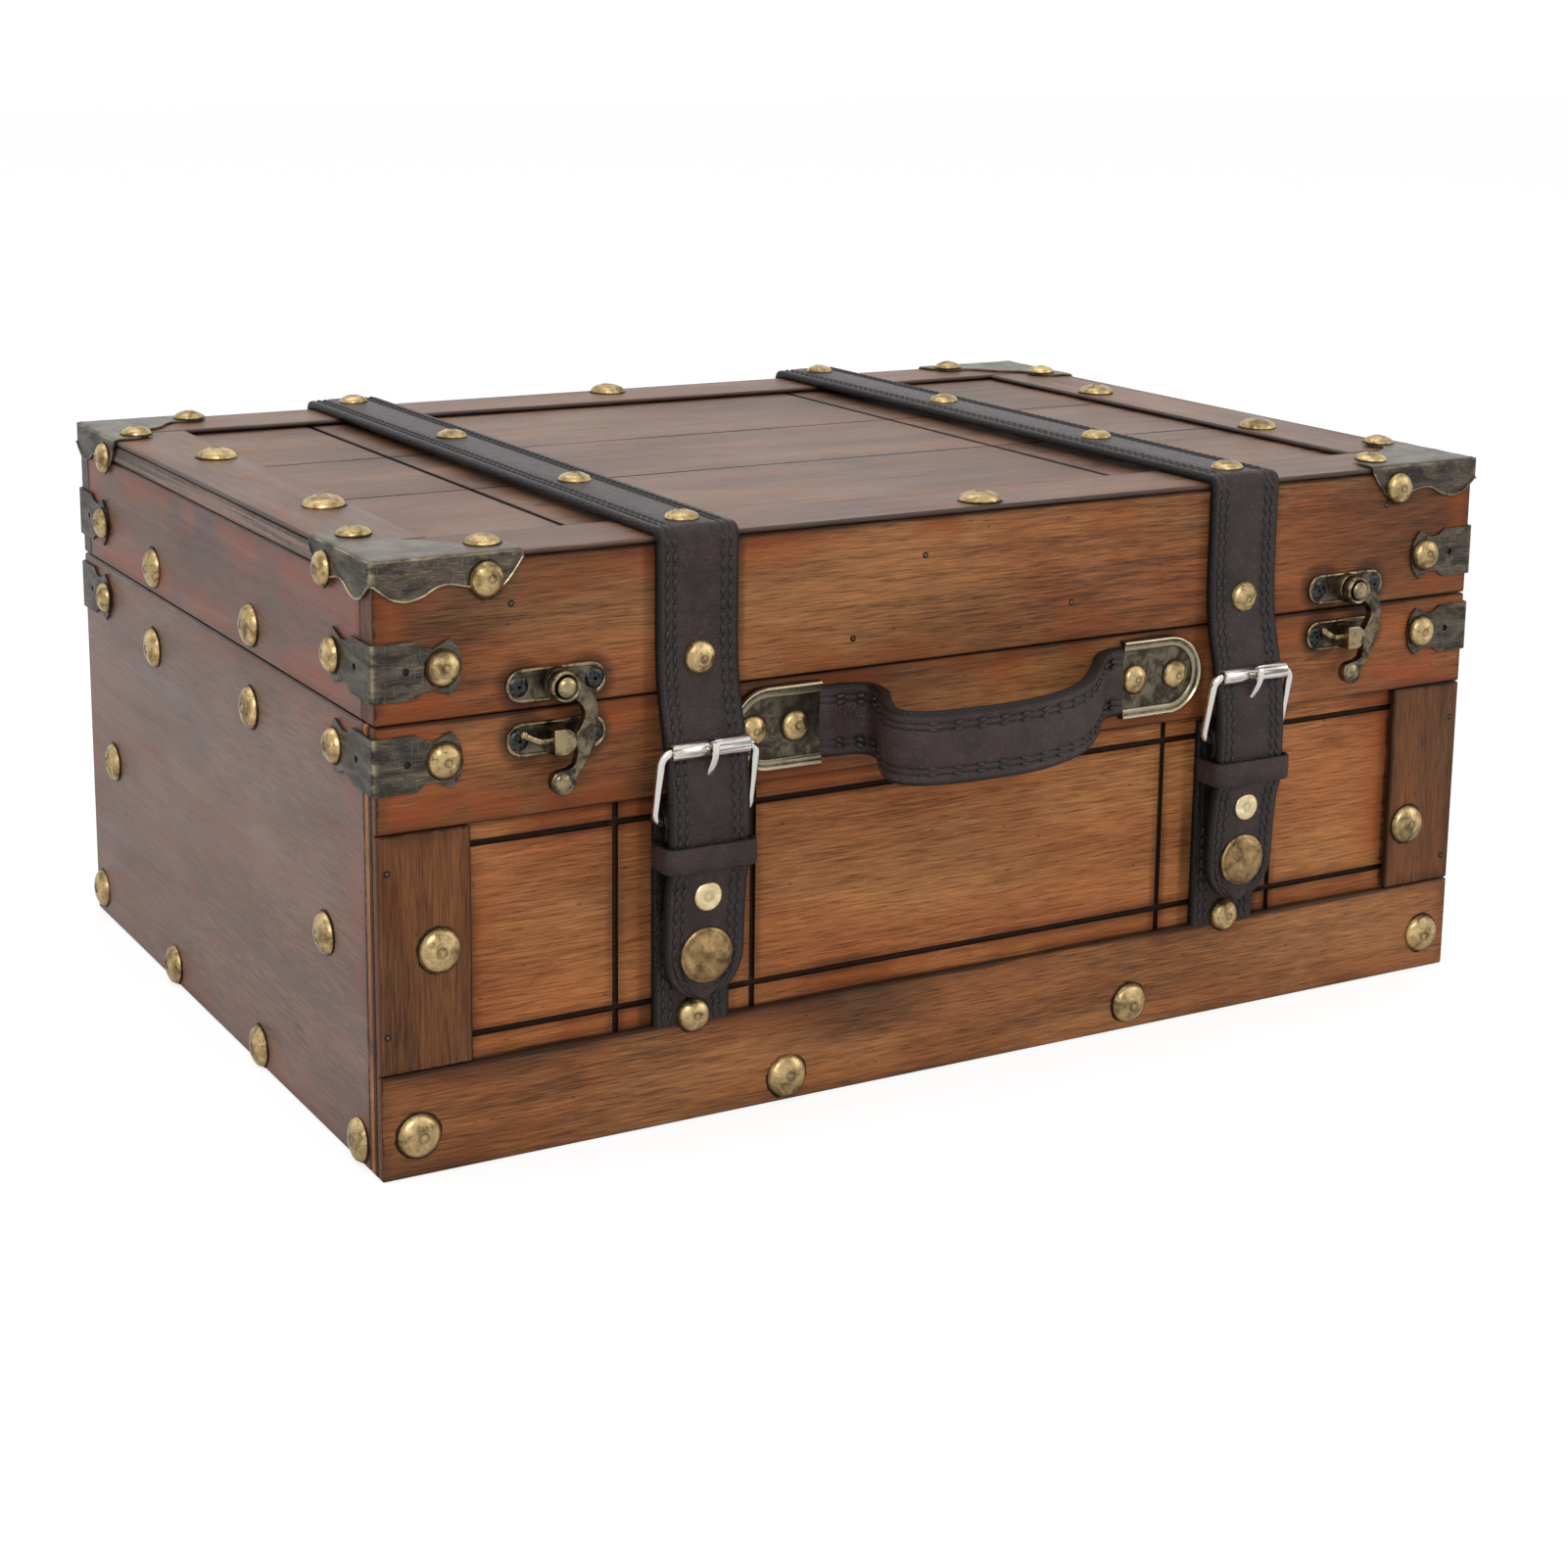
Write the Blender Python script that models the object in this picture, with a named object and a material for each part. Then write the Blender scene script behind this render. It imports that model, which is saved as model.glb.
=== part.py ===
"""Wooden storage trunk with two leather straps, two hook latches and a strap handle.

The trunk stands on the XY plane, with its origin under the middle of the base.
X runs to the right of someone who faces the front, Y runs to the back, Z runs up.
Heights on the front are measured from the floor, and "out" is the distance
that something stands proud of a face of the box.
"""

import math

import bmesh
import bpy
from mathutils import Matrix, Vector

# Box
TRUNK_WIDTH = 0.350
TRUNK_DEPTH = 0.245
BASE_HEIGHT = 0.1171
LID_HEIGHT = 0.0403
SEAM_GAP = 0.0004

# Clearances and build allowances
SEAT_GAP = 0.0003
SINK = 0.0005
OVERRUN = 0.002
WELD = 0.000001
SMOOTH_ANGLE = math.radians(35)

# Boards of the base
FRONT_PANEL_THICKNESS = 0.0048
RAIL_THICKNESS = 0.0025
BACK_BOARD_THICKNESS = 0.0065
SIDE_BOARD_THICKNESS = 0.0065
BOTTOM_BOARD_THICKNESS = 0.0045
TOP_RAIL_WIDTH = 0.0271
BOTTOM_RAIL_WIDTH = 0.0275
STILE_WIDTH = 0.0250
BOARD_EDGE = 0.0005

# Boards of the lid
LID_WALL_THICKNESS = 0.0076
LID_BOARD_THICKNESS = 0.0050
STRIP_THICKNESS = 0.0014
STRIP_WIDTH = 0.0255

# Grooves, in the front panel and in the top board
GROOVE_WIDTH = 0.0018
GROOVE_DEPTH = 0.0015
LOW_GROOVE_GAP = 0.0065
HIGH_GROOVE_GAP = 0.0060
FRONT_GROOVE_SHARES = (0.189, 0.3045, 0.687, 0.803)
TOP_GROOVE_SHARES = (0.189, 0.3045, 0.687, 0.803)
PLANK_LINE_WIDTH = 0.0009
PLANK_LINE_DEPTH = 0.0007
PLANK_LINE_SHARES = (0.380, 0.6265)

# Dome tacks
TACK_RADIUS = 0.0057
SMALL_TACK_RADIUS = 0.0045
TACK_HEIGHT = 0.0026
TACK_RIM = 0.0003
TACK_STEPS = 10
DOME_RINGS = 2
SIDE_TACK_SHARES = ((0.367, 0.873), (0.713, 0.862), (0.147, 0.467), (0.898, 0.467))
SIDE_FOOT_TACK_SHARES = (0.060, 0.364, 0.671, 0.970)
SIDE_FOOT_TACK_HEIGHTS = (0.0064, 0.0059, 0.0059, 0.0086)
LID_SIDE_TACK_SHARES = (0.359, 0.705)
LID_SIDE_TACK_HEIGHT = 0.0078
RAIL_TACK_SHARES = (0.028, 0.331, 0.656, 0.972)
RAIL_TACK_HEIGHTS = (0.0110, 0.0072, 0.0080, 0.0114)
STILE_TACK_SHARES = (0.50, 0.315)
STILE_TACK_INSETS = (0.0162, 0.0181)
STRIP_TACK_INSETS = (0.0074, 0.0061)
STRIP_TACK_SHARES = (0.510, 0.516)
STRIP_END_TACK_INSET = 0.0178
STRIP_END_TACK_SHARES = (0.321, 0.676)

# Corner brackets, folded round the upright corners on both sides of the seam
BRACKET_SHEET = 0.0006
BRACKET_HEIGHT = 0.0144
BRACKET_FRONT_ARM = 0.0236
BRACKET_SIDE_ARM = 0.0290
BRACKET_OUTLINE_SHARES = ((0.47, 1.0), (0.56, 0.76), (0.68, 0.70), (0.865, 1.0), (0.965, 0.58))
BRACKET_HOLE_RADIUS = 0.0010
BRACKET_HOLE_SHARE = 0.37
BRACKET_FRONT_TACK_SHARE = 0.75
BRACKET_SIDE_TACK_SHARE = 0.86
LID_BRACKET_RISE = 0.0132
BASE_BRACKET_DROP = 0.0097
HOLE_STEPS = 8

# Corner guards, pressed over the three faces of each top corner
GUARD_SHEET = 0.0006
GUARD_ARM = 0.0394
GUARD_DROP = 0.0098
GUARD_EDGE_SHARES = ((0.0, 0.55), (0.05, 0.73), (0.12, 0.92), (0.215, 1.0), (0.32, 0.91), (0.42, 0.71),
                     (0.50, 0.665), (0.60, 0.74), (0.75, 0.88), (0.86, 0.80), (0.95, 0.40), (1.0, 0.08))
GUARD_TOP_SHARES = ((1.0, 0.0), (0.98, 0.16), (0.85, 0.30), (0.69, 0.29), (0.60, 0.36))
GUARD_TOP_MIDDLE_SHARE = 0.505
GUARD_TACK_INSET = 0.0295
GUARD_TACK_DROP = 0.0062
GUARD_TOP_TACK_INSET = 0.0325
GUARD_TOP_TACK_SETBACK = 0.0082

# Leather straps
STRAP_OFFSET_SHARE = 0.2507
STRAP_WIDTH = 0.0234
STRAP_THICKNESS = 0.0024
STRAP_INNER_BEND = 0.0006
STRAP_BACK_DROP = 0.0290
STRAP_SEAM_GAP = 0.0010
STRAP_BEND_STEPS = 4
STRAP_TOP_TACK_SHARES = (0.0286, 0.286, 0.633, 0.963)
STRAP_FRONT_TACK_RISES = (0.0089, 0.0075)
STRAP_BACK_TACK_RISE = 0.0180
BASE_STRAP_WIDTH = 0.0224
BASE_STRAP_LOW_GAP = 0.0004
BASE_STRAP_HIGH_GAP = 0.0015
BASE_STRAP_TACK_RISE = 0.0020
BASE_STRAP_TACK_NECK = 0.0015
BASE_STRAP_TACK_SHOULDER_SHARES = (0.707, 0.70)

# Strap tail, which hangs from the lid and snaps to the base strap. Its height shares are of the base's height
TAIL_WIDTH = 0.0232
TAIL_TIP_SHARE = 0.3074
TAIL_HOLE_WIDTH = 0.0028
TAIL_HOLE_SHARES = (0.770, 0.8505)
TAIL_KNEE_SHARE = 0.953
TAIL_KNEE_OUT = 0.0042
TAIL_KEEPER_OUT = 0.0088
TAIL_BEND_SHARE = 0.581
TAIL_BEND_OUT = 0.0073
TAIL_LOW_SHARE = 0.495
TAIL_LOW_OUT = 0.0062
TAIL_TIP_OUT = 0.0056
TAIL_TIP_STEPS = 12
CHAPE_THICKNESS = 0.0012
CHAPE_LOW_SHARE = 0.508
CHAPE_FRONT_LOW_SHARE = 0.683
CHAPE_BEND_STEPS = 6
CHAPE_TUCK_RISE = 0.0024
TAIL_HEEL_GAP = 0.0006
CHAPE_SLOT_WIDTH = 0.0034
CHAPE_SLOT_REACH_SHARE = 0.042
RIVET_SHARE = 0.549
RIVET_RADIUS = 0.0040
RIVET_PROUD = 0.0007
RIVET_SHANK_RADIUS = 0.0020
RIVET_STEPS = 16

# Snap cap and its stud
SNAP_SHARE = 0.4116
SNAP_RADIUS = 0.0075
SNAP_DOME = 0.0020
SNAP_RIM = 0.0006
SNAP_STEPS = 24
SNAP_PROFILE_SHARES = ((1.0, 0.0), (0.82, 0.57), (0.45, 0.89), (0.0, 1.0))
STUD_RADIUS = 0.0045
STUD_STEPS = 12

# Roller buckle
BUCKLE_WIRE = 0.0024
BUCKLE_SPAN = 0.0272
BUCKLE_CORNER = 0.0026
BUCKLE_SIDES = 2
BUCKLE_CORNER_STEPS = 3
HEEL_SHARE = 0.7216
HEEL_OUT = 0.0046
ROLLER_SHARE = 0.8864
ROLLER_OUT = 0.0087
ROLLER_RADIUS = 0.0023
ROLLER_BORE = 0.0015
ROLLER_LENGTH = 0.0224
ROLLER_STEPS = 16
PRONG_WIRE = 0.0018
PRONG_EYE_RADIUS = 0.0028
PRONG_EYE_WIDTH = 0.0020
PRONG_START_SHARE = 0.75
PRONG_HOLE_SHARE = 0.57
PRONG_HOLE_OUT = 0.0060
PRONG_WRAP_SHARES = (0.84, 0.62)
PRONG_TIP_RISE = 0.0018
PRONG_TIP_DROP = 0.00045
PRONG_STEPS = 12
PRONG_ROUTE_STEPS = 3
KEEPER_SHARES = (0.6149, 0.6746)
KEEPER_THICKNESS = 0.0014
KEEPER_SIDE_GAP = 0.0005
KEEPER_CORNER = 0.0008
KEEPER_CORNER_STEPS = 3

# Hook latches
LATCH_OFFSET_SHARES = (-0.3626, 0.3637)
LATCH_PLATE_LENGTH = 0.0276
LATCH_PLATE_HEIGHT = 0.0088
LATCH_PLATE_SHEET = 0.0009
LATCH_PLATE_RISE = 0.0062
CATCH_PLATE_DROP = 0.0072
LATCH_SCREW_SPACING = 0.0208
LATCH_SCREW_RADIUS = 0.0025
LATCH_SCREW_HEIGHT = 0.0005
LATCH_BOSS_RADIUS = 0.0043
LATCH_POST_RADIUS = 0.0016
LATCH_HEAD_RADIUS = 0.0026
LATCH_HEAD_HEIGHT = 0.0008
LATCH_HEAD_SHARES = (0.8, 0.8)
LATCH_STEPS = 16
LATCH_END_STEPS = 6
HOOK_OUT = 0.0042
HOOK_THICKNESS = 0.0028
HOOK_EYE_RADIUS = 0.0041
HOOK_EYE_START = 288
HOOK_EYE_END = 62
HOOK_EYE_STEPS = 9
HOOK_BORE_RADIUS = 0.0019
HOOK_ROUTE_STEPS = 2
HOOK_REACH = 0.0243
HOOK_BALL_RADIUS = 0.0034
HOOK_BALL_FLATNESS_SHARE = 0.80
HOOK_BALL_SIDE_SHARE = -0.033
HOOK_BALL_RINGS = 8
HOOK_OUTER_SHARES = ((0.12, 0.12), (0.243, -0.02), (0.329, -0.144), (0.362, -0.28), (0.358, -0.416),
                     (0.321, -0.568), (0.255, -0.741), (0.193, -0.856), (0.10, -0.96))
HOOK_INNER_SHARES = ((-0.04, -0.93), (0.095, -0.83), (0.125, -0.71), (0.108, -0.60), (0.105, -0.51),
                     (0.165, -0.43), (0.212, -0.315), (0.177, -0.215), (0.095, -0.13))
CATCH_BLOCK_WIDTH = 0.0052
CATCH_BLOCK_HEIGHT = 0.0068
CATCH_BLOCK_OUT = 0.0078
CATCH_BLOCK_SIDE = 0.0010
CATCH_NOSE_SHARE = 0.8
CATCH_NOSE_ANGLES = (-63, -34, 0, 34, 63)
CATCH_ROD_WIRE = 0.0018
CATCH_ROD_REACH = 0.0072
CATCH_ROD_RISE = 0.0022
CATCH_ROD_OUT = 0.0046
CATCH_ROD_SHARES = ((0.4, 0.2), (0.8, 0.7), (1.0, 1.0))
CATCH_ROD_STEPS = 2

# Handle. Each cap's round end lies this far beside its strap's edge, or under it
CAP_STRAP_GAPS = (-0.0020, 0.0022)
CAP_LENGTH = 0.0270
CAP_HEIGHT = 0.0224
CAP_DROP = 0.0124
CAP_PROUD = 0.0030
CAP_RIM_WIDTH = 0.0021
CAP_RIM_STEP = 0.0006
CAP_WALL = 0.0010
CAP_SHEET = 0.0006
CAP_ROUND_STEPS = 12
CAP_RIVET_RADIUS = 0.0040
CAP_RIVET_DOME = 0.0020
CAP_RIVET_INSETS = ((0.0078, 0.0204), (0.0040, 0.0180))
GRIP_WIDTH = 0.0195
GRIP_THICKNESS = 0.0034
GRIP_TONGUE_THICKNESS = 0.0013
GRIP_BOW = 0.0376
GRIP_TONGUE_LENGTH = 0.0170
GRIP_STEP_LENGTH = 0.0008
GRIP_ROUTE_SHARES = ((0.0, 0.0), (0.075, 0.015), (0.125, 0.09), (0.122, 0.27), (0.066, 0.55),
                     (0.038, 0.78), (0.095, 0.945), (0.27, 1.0), (0.46, 0.965), (0.645, 0.76),
                     (0.79, 0.42), (0.885, 0.14), (0.945, 0.02), (1.0, 0.0))
GRIP_STEPS = 3

# Hinges on the back
HINGE_OFFSET_SHARE = 0.363
HINGE_WIDTH = 0.0280
HINGE_LEAF = 0.0130
HINGE_SHEET = 0.0008
HINGE_BARREL_RADIUS = 0.0022
HINGE_BORE_RADIUS = 0.0013
HINGE_PIN_RADIUS = 0.0010
HINGE_KNUCKLE_SHARE = 0.34
HINGE_GAP = 0.0004
HINGE_SCREW_SHARE = 0.30
HINGE_SCREW_REACH_SHARE = 0.62
HINGE_SCREW_STEPS = 8
HINGE_SCREW_RADIUS = 0.0022
HINGE_SCREW_HEIGHT = 0.0007
HINGE_STEPS = 16

# Colours, roughness and metallic value of each finish
FINISHES = {
    "front_wood": ((0.300, 0.105, 0.030), 0.42, 0.0),
    "side_wood": ((0.125, 0.052, 0.035), 0.40, 0.0),
    "top_wood": ((0.210, 0.110, 0.065), 0.45, 0.0),
    "inner_wood": ((0.330, 0.190, 0.095), 0.60, 0.0),
    "dark_steel": ((0.085, 0.078, 0.068), 0.38, 0.9),
    "aged_brass": ((0.300, 0.220, 0.095), 0.33, 1.0),
    "latch_bronze": ((0.160, 0.140, 0.100), 0.34, 1.0),
    "bright_nickel": ((0.620, 0.600, 0.570), 0.16, 1.0),
    "strap_leather": ((0.026, 0.017, 0.014), 0.46, 0.0),
    "grip_leather": ((0.032, 0.021, 0.018), 0.50, 0.0),
}

# Places that follow from the sizes above
HALF_WIDTH = TRUNK_WIDTH / 2
HALF_DEPTH = TRUNK_DEPTH / 2
PANEL_FACE_Y = RAIL_THICKNESS + SEAT_GAP - HALF_DEPTH
PANEL_BACK_Y = PANEL_FACE_Y + FRONT_PANEL_THICKNESS
BACK_BOARD_Y = HALF_DEPTH - BACK_BOARD_THICKNESS
RAIL_TOP_LOW = BASE_HEIGHT - TOP_RAIL_WIDTH
LID_LOW = BASE_HEIGHT + SEAM_GAP
TRUNK_TOP = LID_LOW + LID_HEIGHT
STRIP_LOW = TRUNK_TOP - STRIP_THICKNESS
LID_BOARD_HIGH = STRIP_LOW - SEAT_GAP
LID_BOARD_LOW = LID_BOARD_HIGH - LID_BOARD_THICKNESS
SEAM_HEIGHT = BASE_HEIGHT + SEAM_GAP / 2
STRAP_OUT = SEAT_GAP + STRAP_THICKNESS / 2
PANEL_OUT = -(RAIL_THICKNESS + SEAT_GAP)
BASE_STRAP_OUT = PANEL_OUT + SEAT_GAP + STRAP_THICKNESS / 2
HINGE_AXIS_OUT = SEAT_GAP + HINGE_BARREL_RADIUS
LATCH_HEIGHT = LID_LOW + LATCH_PLATE_RISE
CATCH_HEIGHT = BASE_HEIGHT - CATCH_PLATE_DROP
LOW_GROOVE_HEIGHT = BOTTOM_RAIL_WIDTH + LOW_GROOVE_GAP
HIGH_GROOVE_HEIGHT = RAIL_TOP_LOW - HIGH_GROOVE_GAP
STRAP_OFFSET = STRAP_OFFSET_SHARE * TRUNK_WIDTH
HINGE_OFFSET = HINGE_OFFSET_SHARE * TRUNK_WIDTH
BASE_STRAP_LOW = BOTTOM_RAIL_WIDTH + BASE_STRAP_LOW_GAP
BASE_STRAP_HIGH = RAIL_TOP_LOW - BASE_STRAP_HIGH_GAP
BASE_STRAP_TACK_HEIGHT = BOTTOM_RAIL_WIDTH + BASE_STRAP_TACK_RISE
TAIL_TIP_HEIGHT = TAIL_TIP_SHARE * BASE_HEIGHT
TAIL_KNEE_HEIGHT = TAIL_KNEE_SHARE * BASE_HEIGHT
TAIL_BEND_HEIGHT = TAIL_BEND_SHARE * BASE_HEIGHT
TAIL_LOW_HEIGHT = TAIL_LOW_SHARE * BASE_HEIGHT
TAIL_HOLE_LOW = TAIL_HOLE_SHARES[0] * BASE_HEIGHT
TAIL_HOLE_HIGH = TAIL_HOLE_SHARES[1] * BASE_HEIGHT
CHAPE_LOW = CHAPE_LOW_SHARE * BASE_HEIGHT
CHAPE_FRONT_LOW = CHAPE_FRONT_LOW_SHARE * BASE_HEIGHT
CHAPE_SLOT_REACH = CHAPE_SLOT_REACH_SHARE * BASE_HEIGHT
CHAPE_BEND = BUCKLE_WIRE / 2 + SEAT_GAP + CHAPE_THICKNESS / 2
RIVET_HEIGHT = RIVET_SHARE * BASE_HEIGHT
SNAP_HEIGHT = SNAP_SHARE * BASE_HEIGHT
HEEL_HEIGHT = HEEL_SHARE * BASE_HEIGHT
ROLLER_HEIGHT = ROLLER_SHARE * BASE_HEIGHT
PRONG_HOLE_RISE = PRONG_HOLE_SHARE * (ROLLER_HEIGHT - HEEL_HEIGHT)
KEEPER_LOW = KEEPER_SHARES[0] * BASE_HEIGHT
KEEPER_HIGH = KEEPER_SHARES[1] * BASE_HEIGHT
CAP_MIDDLE_HEIGHT = BASE_HEIGHT - CAP_DROP
CAP_OUTER_OFFSETS = (TAIL_WIDTH / 2 + CAP_STRAP_GAPS[0] - STRAP_OFFSET,
                     STRAP_OFFSET - TAIL_WIDTH / 2 - CAP_STRAP_GAPS[1])
CAP_INNER_OFFSETS = (CAP_OUTER_OFFSETS[0] + CAP_LENGTH, CAP_OUTER_OFFSETS[1] - CAP_LENGTH)

RIGHT = Vector((1, 0, 0))
BACK = Vector((0, 1, 0))
UP = Vector((0, 0, 1))

main_parts = None
cutting_tools = None


def clear_scene():
    """Remove every object of the open file."""
    for old in list(bpy.data.objects):
        bpy.data.objects.remove(old, do_unlink=True)


def new_collection(name):
    collection = bpy.data.collections.new(name)
    bpy.context.scene.collection.children.link(collection)
    return collection


def add_finish(piece, finish):
    """Give a piece its own material, from the table of finishes."""
    colour, roughness, metallic = FINISHES[finish]
    material = bpy.data.materials.new(piece.name + "_" + finish)
    material.use_nodes = True
    shader = material.node_tree.nodes["Principled BSDF"]
    shader.inputs["Base Color"].default_value = (*colour, 1)
    shader.inputs["Roughness"].default_value = roughness
    shader.inputs["Metallic"].default_value = metallic
    piece.data.materials.append(material)


def add_object(name, shape, collection):
    """Turn a bmesh into an object, shaded smooth across its shallow edges."""
    mesh = bpy.data.meshes.new(name)
    shape.to_mesh(mesh)
    shape.free()
    mesh.shade_smooth()
    mesh.set_sharp_from_angle(angle=SMOOTH_ANGLE)
    new = bpy.data.objects.new(name, mesh)
    collection.objects.link(new)
    return new


def add_part(name, shape, finish):
    piece = add_object(name, shape, main_parts)
    add_finish(piece, finish)
    return piece


def add_tool(name, shape):
    tool = add_object(name, shape, cutting_tools)
    tool.hide_render = True
    tool.display_type = "WIRE"
    return tool


def combine(piece, shape, operation, label):
    """Fuse a shape to a piece, or cut or keep with it, by a Boolean modifier."""
    tool = add_tool(piece.name + "_" + label, shape)
    modifier = piece.modifiers.new(label, "BOOLEAN")
    modifier.operation = operation
    modifier.solver = "EXACT"
    modifier.object = tool


def fuse(piece, shape, label):
    combine(piece, shape, "UNION", label)


def cut(piece, shape, label):
    combine(piece, shape, "DIFFERENCE", label)


def keep(piece, shape, label):
    combine(piece, shape, "INTERSECT", label)


def gather(shapes):
    """Put several separate shapes into one bmesh."""
    whole = bmesh.new()
    for shape in shapes:
        carrier = bpy.data.meshes.new("carrier")
        shape.to_mesh(carrier)
        shape.free()
        whole.from_mesh(carrier)
        bpy.data.meshes.remove(carrier)
    return whole


def facing(origin, along, up):
    """A matrix whose local X, Y and Z run along, up and square to both."""
    across = along.cross(up)
    turn = Matrix((along, up, across)).transposed().to_4x4()
    return Matrix.Translation(origin) @ turn


def box(low, high, edge=0):
    """A block between two corners, with its edges chamfered."""
    low = Vector(low)
    high = Vector(high)
    shape = bmesh.new()
    bmesh.ops.create_cube(shape, size=1)
    bmesh.ops.scale(shape, vec=high - low, verts=shape.verts)
    bmesh.ops.translate(shape, vec=(low + high) / 2, verts=shape.verts)
    if edge:
        bmesh.ops.bevel(shape, geom=shape.edges[:], offset=edge, segments=1, profile=0.5,
                        affect="EDGES", material=-1)
    return shape


def turned(profile, matrix, steps):
    """Spin a profile of radius and height pairs round the local Z axis."""
    shape = bmesh.new()
    points = [shape.verts.new((radius, 0, height)) for radius, height in profile]
    sides = [shape.edges.new(pair) for pair in zip(points, points[1:])]
    bmesh.ops.spin(shape, geom=points + sides, cent=(0, 0, 0), axis=(0, 0, 1), dvec=(0, 0, 0),
                   angle=math.tau, steps=steps, use_merge=True)
    bmesh.ops.remove_doubles(shape, verts=shape.verts, dist=WELD)
    bmesh.ops.recalc_face_normals(shape, faces=shape.faces)
    bmesh.ops.transform(shape, matrix=matrix, verts=shape.verts)
    return shape


def dome(radius, rise, rim, matrix, steps, rings=DOME_RINGS):
    """A shallow domed head with a short upright rim, sunk into its seat."""
    profile = [(0, -SINK), (radius, -SINK), (radius, rim)]
    for ring in range(1, rings):
        angle = math.pi / 2 * ring / rings
        profile.append((radius * math.cos(angle), rim + (rise - rim) * math.sin(angle)))
    profile.append((0, rise))
    return turned(profile, matrix, steps)


def curve_shape(curve, matrix):
    """The closed mesh of a curve, with its caps welded."""
    holder = bpy.data.objects.new(curve.name, curve)
    holder.matrix_world = matrix
    cutting_tools.objects.link(holder)
    graph = bpy.context.evaluated_depsgraph_get()
    graph.update()
    mesh = bpy.data.meshes.new_from_object(holder.evaluated_get(graph))
    shape = bmesh.new()
    shape.from_mesh(mesh)
    bmesh.ops.remove_doubles(shape, verts=shape.verts, dist=WELD)
    bmesh.ops.recalc_face_normals(shape, faces=shape.faces)
    bmesh.ops.transform(shape, matrix=matrix, verts=shape.verts)
    bpy.data.meshes.remove(mesh)
    bpy.data.objects.remove(holder)
    bpy.data.curves.remove(curve)
    return shape


def add_spline(curve, points, closed):
    spline = curve.splines.new("POLY")
    spline.points.add(len(points) - 1)
    for place, point in zip(spline.points, points):
        place.co = (*point, 1)
    spline.use_cyclic_u = closed


def plate(outlines, thickness, matrix):
    """A flat outline with its holes, made solid half to each side of the local XY plane."""
    curve = bpy.data.curves.new("plate", "CURVE")
    curve.dimensions = "2D"
    curve.fill_mode = "BOTH"
    curve.extrude = thickness / 2
    for outline in outlines:
        add_spline(curve, [(across, along, 0) for across, along in outline], True)
    return curve_shape(curve, matrix)


def tube(route, wire, closed=False, sides=BUCKLE_SIDES):
    """A round wire along a route of points."""
    curve = bpy.data.curves.new("tube", "CURVE")
    curve.dimensions = "3D"
    curve.bevel_depth = wire / 2
    curve.bevel_resolution = sides
    curve.use_fill_caps = True
    add_spline(curve, [tuple(point) for point in route], closed)
    return curve_shape(curve, Matrix.Identity(4))


def arc(centre, radius, start, end, steps):
    """Points on an arc, from one angle in degrees to another."""
    points = []
    for step in range(steps + 1):
        angle = math.radians(start + (end - start) * step / steps)
        points.append((centre[0] + radius * math.cos(angle), centre[1] + radius * math.sin(angle)))
    return points


def ribbon(route, thicknesses):
    """The outline of a band that follows a route, half of its thickness to each side."""
    near_side = []
    far_side = []
    for index, (across, along) in enumerate(route):
        before = Vector(route[max(index - 1, 0)])
        after = Vector(route[min(index + 1, len(route) - 1)])
        way = (after - before).normalized()
        half = thicknesses[index] / 2
        near_side.append((across - way.y * half, along + way.x * half))
        far_side.append((across + way.y * half, along - way.x * half))
    return near_side + far_side[::-1]


def smooth_route(points, steps):
    """A Catmull-Rom curve through the points, which keeps its first and last point."""
    ends = [points[0]] + list(points) + [points[-1]]
    route = []
    for index in range(1, len(ends) - 2):
        before, start, end, after = (Vector(point) for point in ends[index - 1:index + 3])
        for step in range(steps):
            share = step / steps
            route.append(tuple(0.5 * (2 * start + (end - before) * share
                                      + (2 * before - 5 * start + 4 * end - after) * share ** 2
                                      + (3 * start - before - 3 * end + after) * share ** 3)))
    route.append(tuple(points[-1]))
    return route


def across_trunk(outline, middle, width):
    """Extrude an outline of Y and Z points along X, evenly about its middle."""
    return plate([outline], width, facing(Vector((middle, 0, 0)), BACK, UP))


def front_place(across, height, out=0):
    return Vector((across, -HALF_DEPTH - out, height))


def tack_on(origin, outward, radius=TACK_RADIUS):
    """A brass dome tack whose head rests on a face with this outward normal."""
    along = UP.cross(outward) if abs(outward.z) < 0.5 else RIGHT
    matrix = facing(origin, along, outward.cross(along))
    return dome(radius, TACK_HEIGHT, TACK_RIM, matrix, TACK_STEPS)


def front_tack(across, height, out=0, radius=TACK_RADIUS):
    return tack_on(front_place(across, height, out), -BACK, radius)


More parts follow.
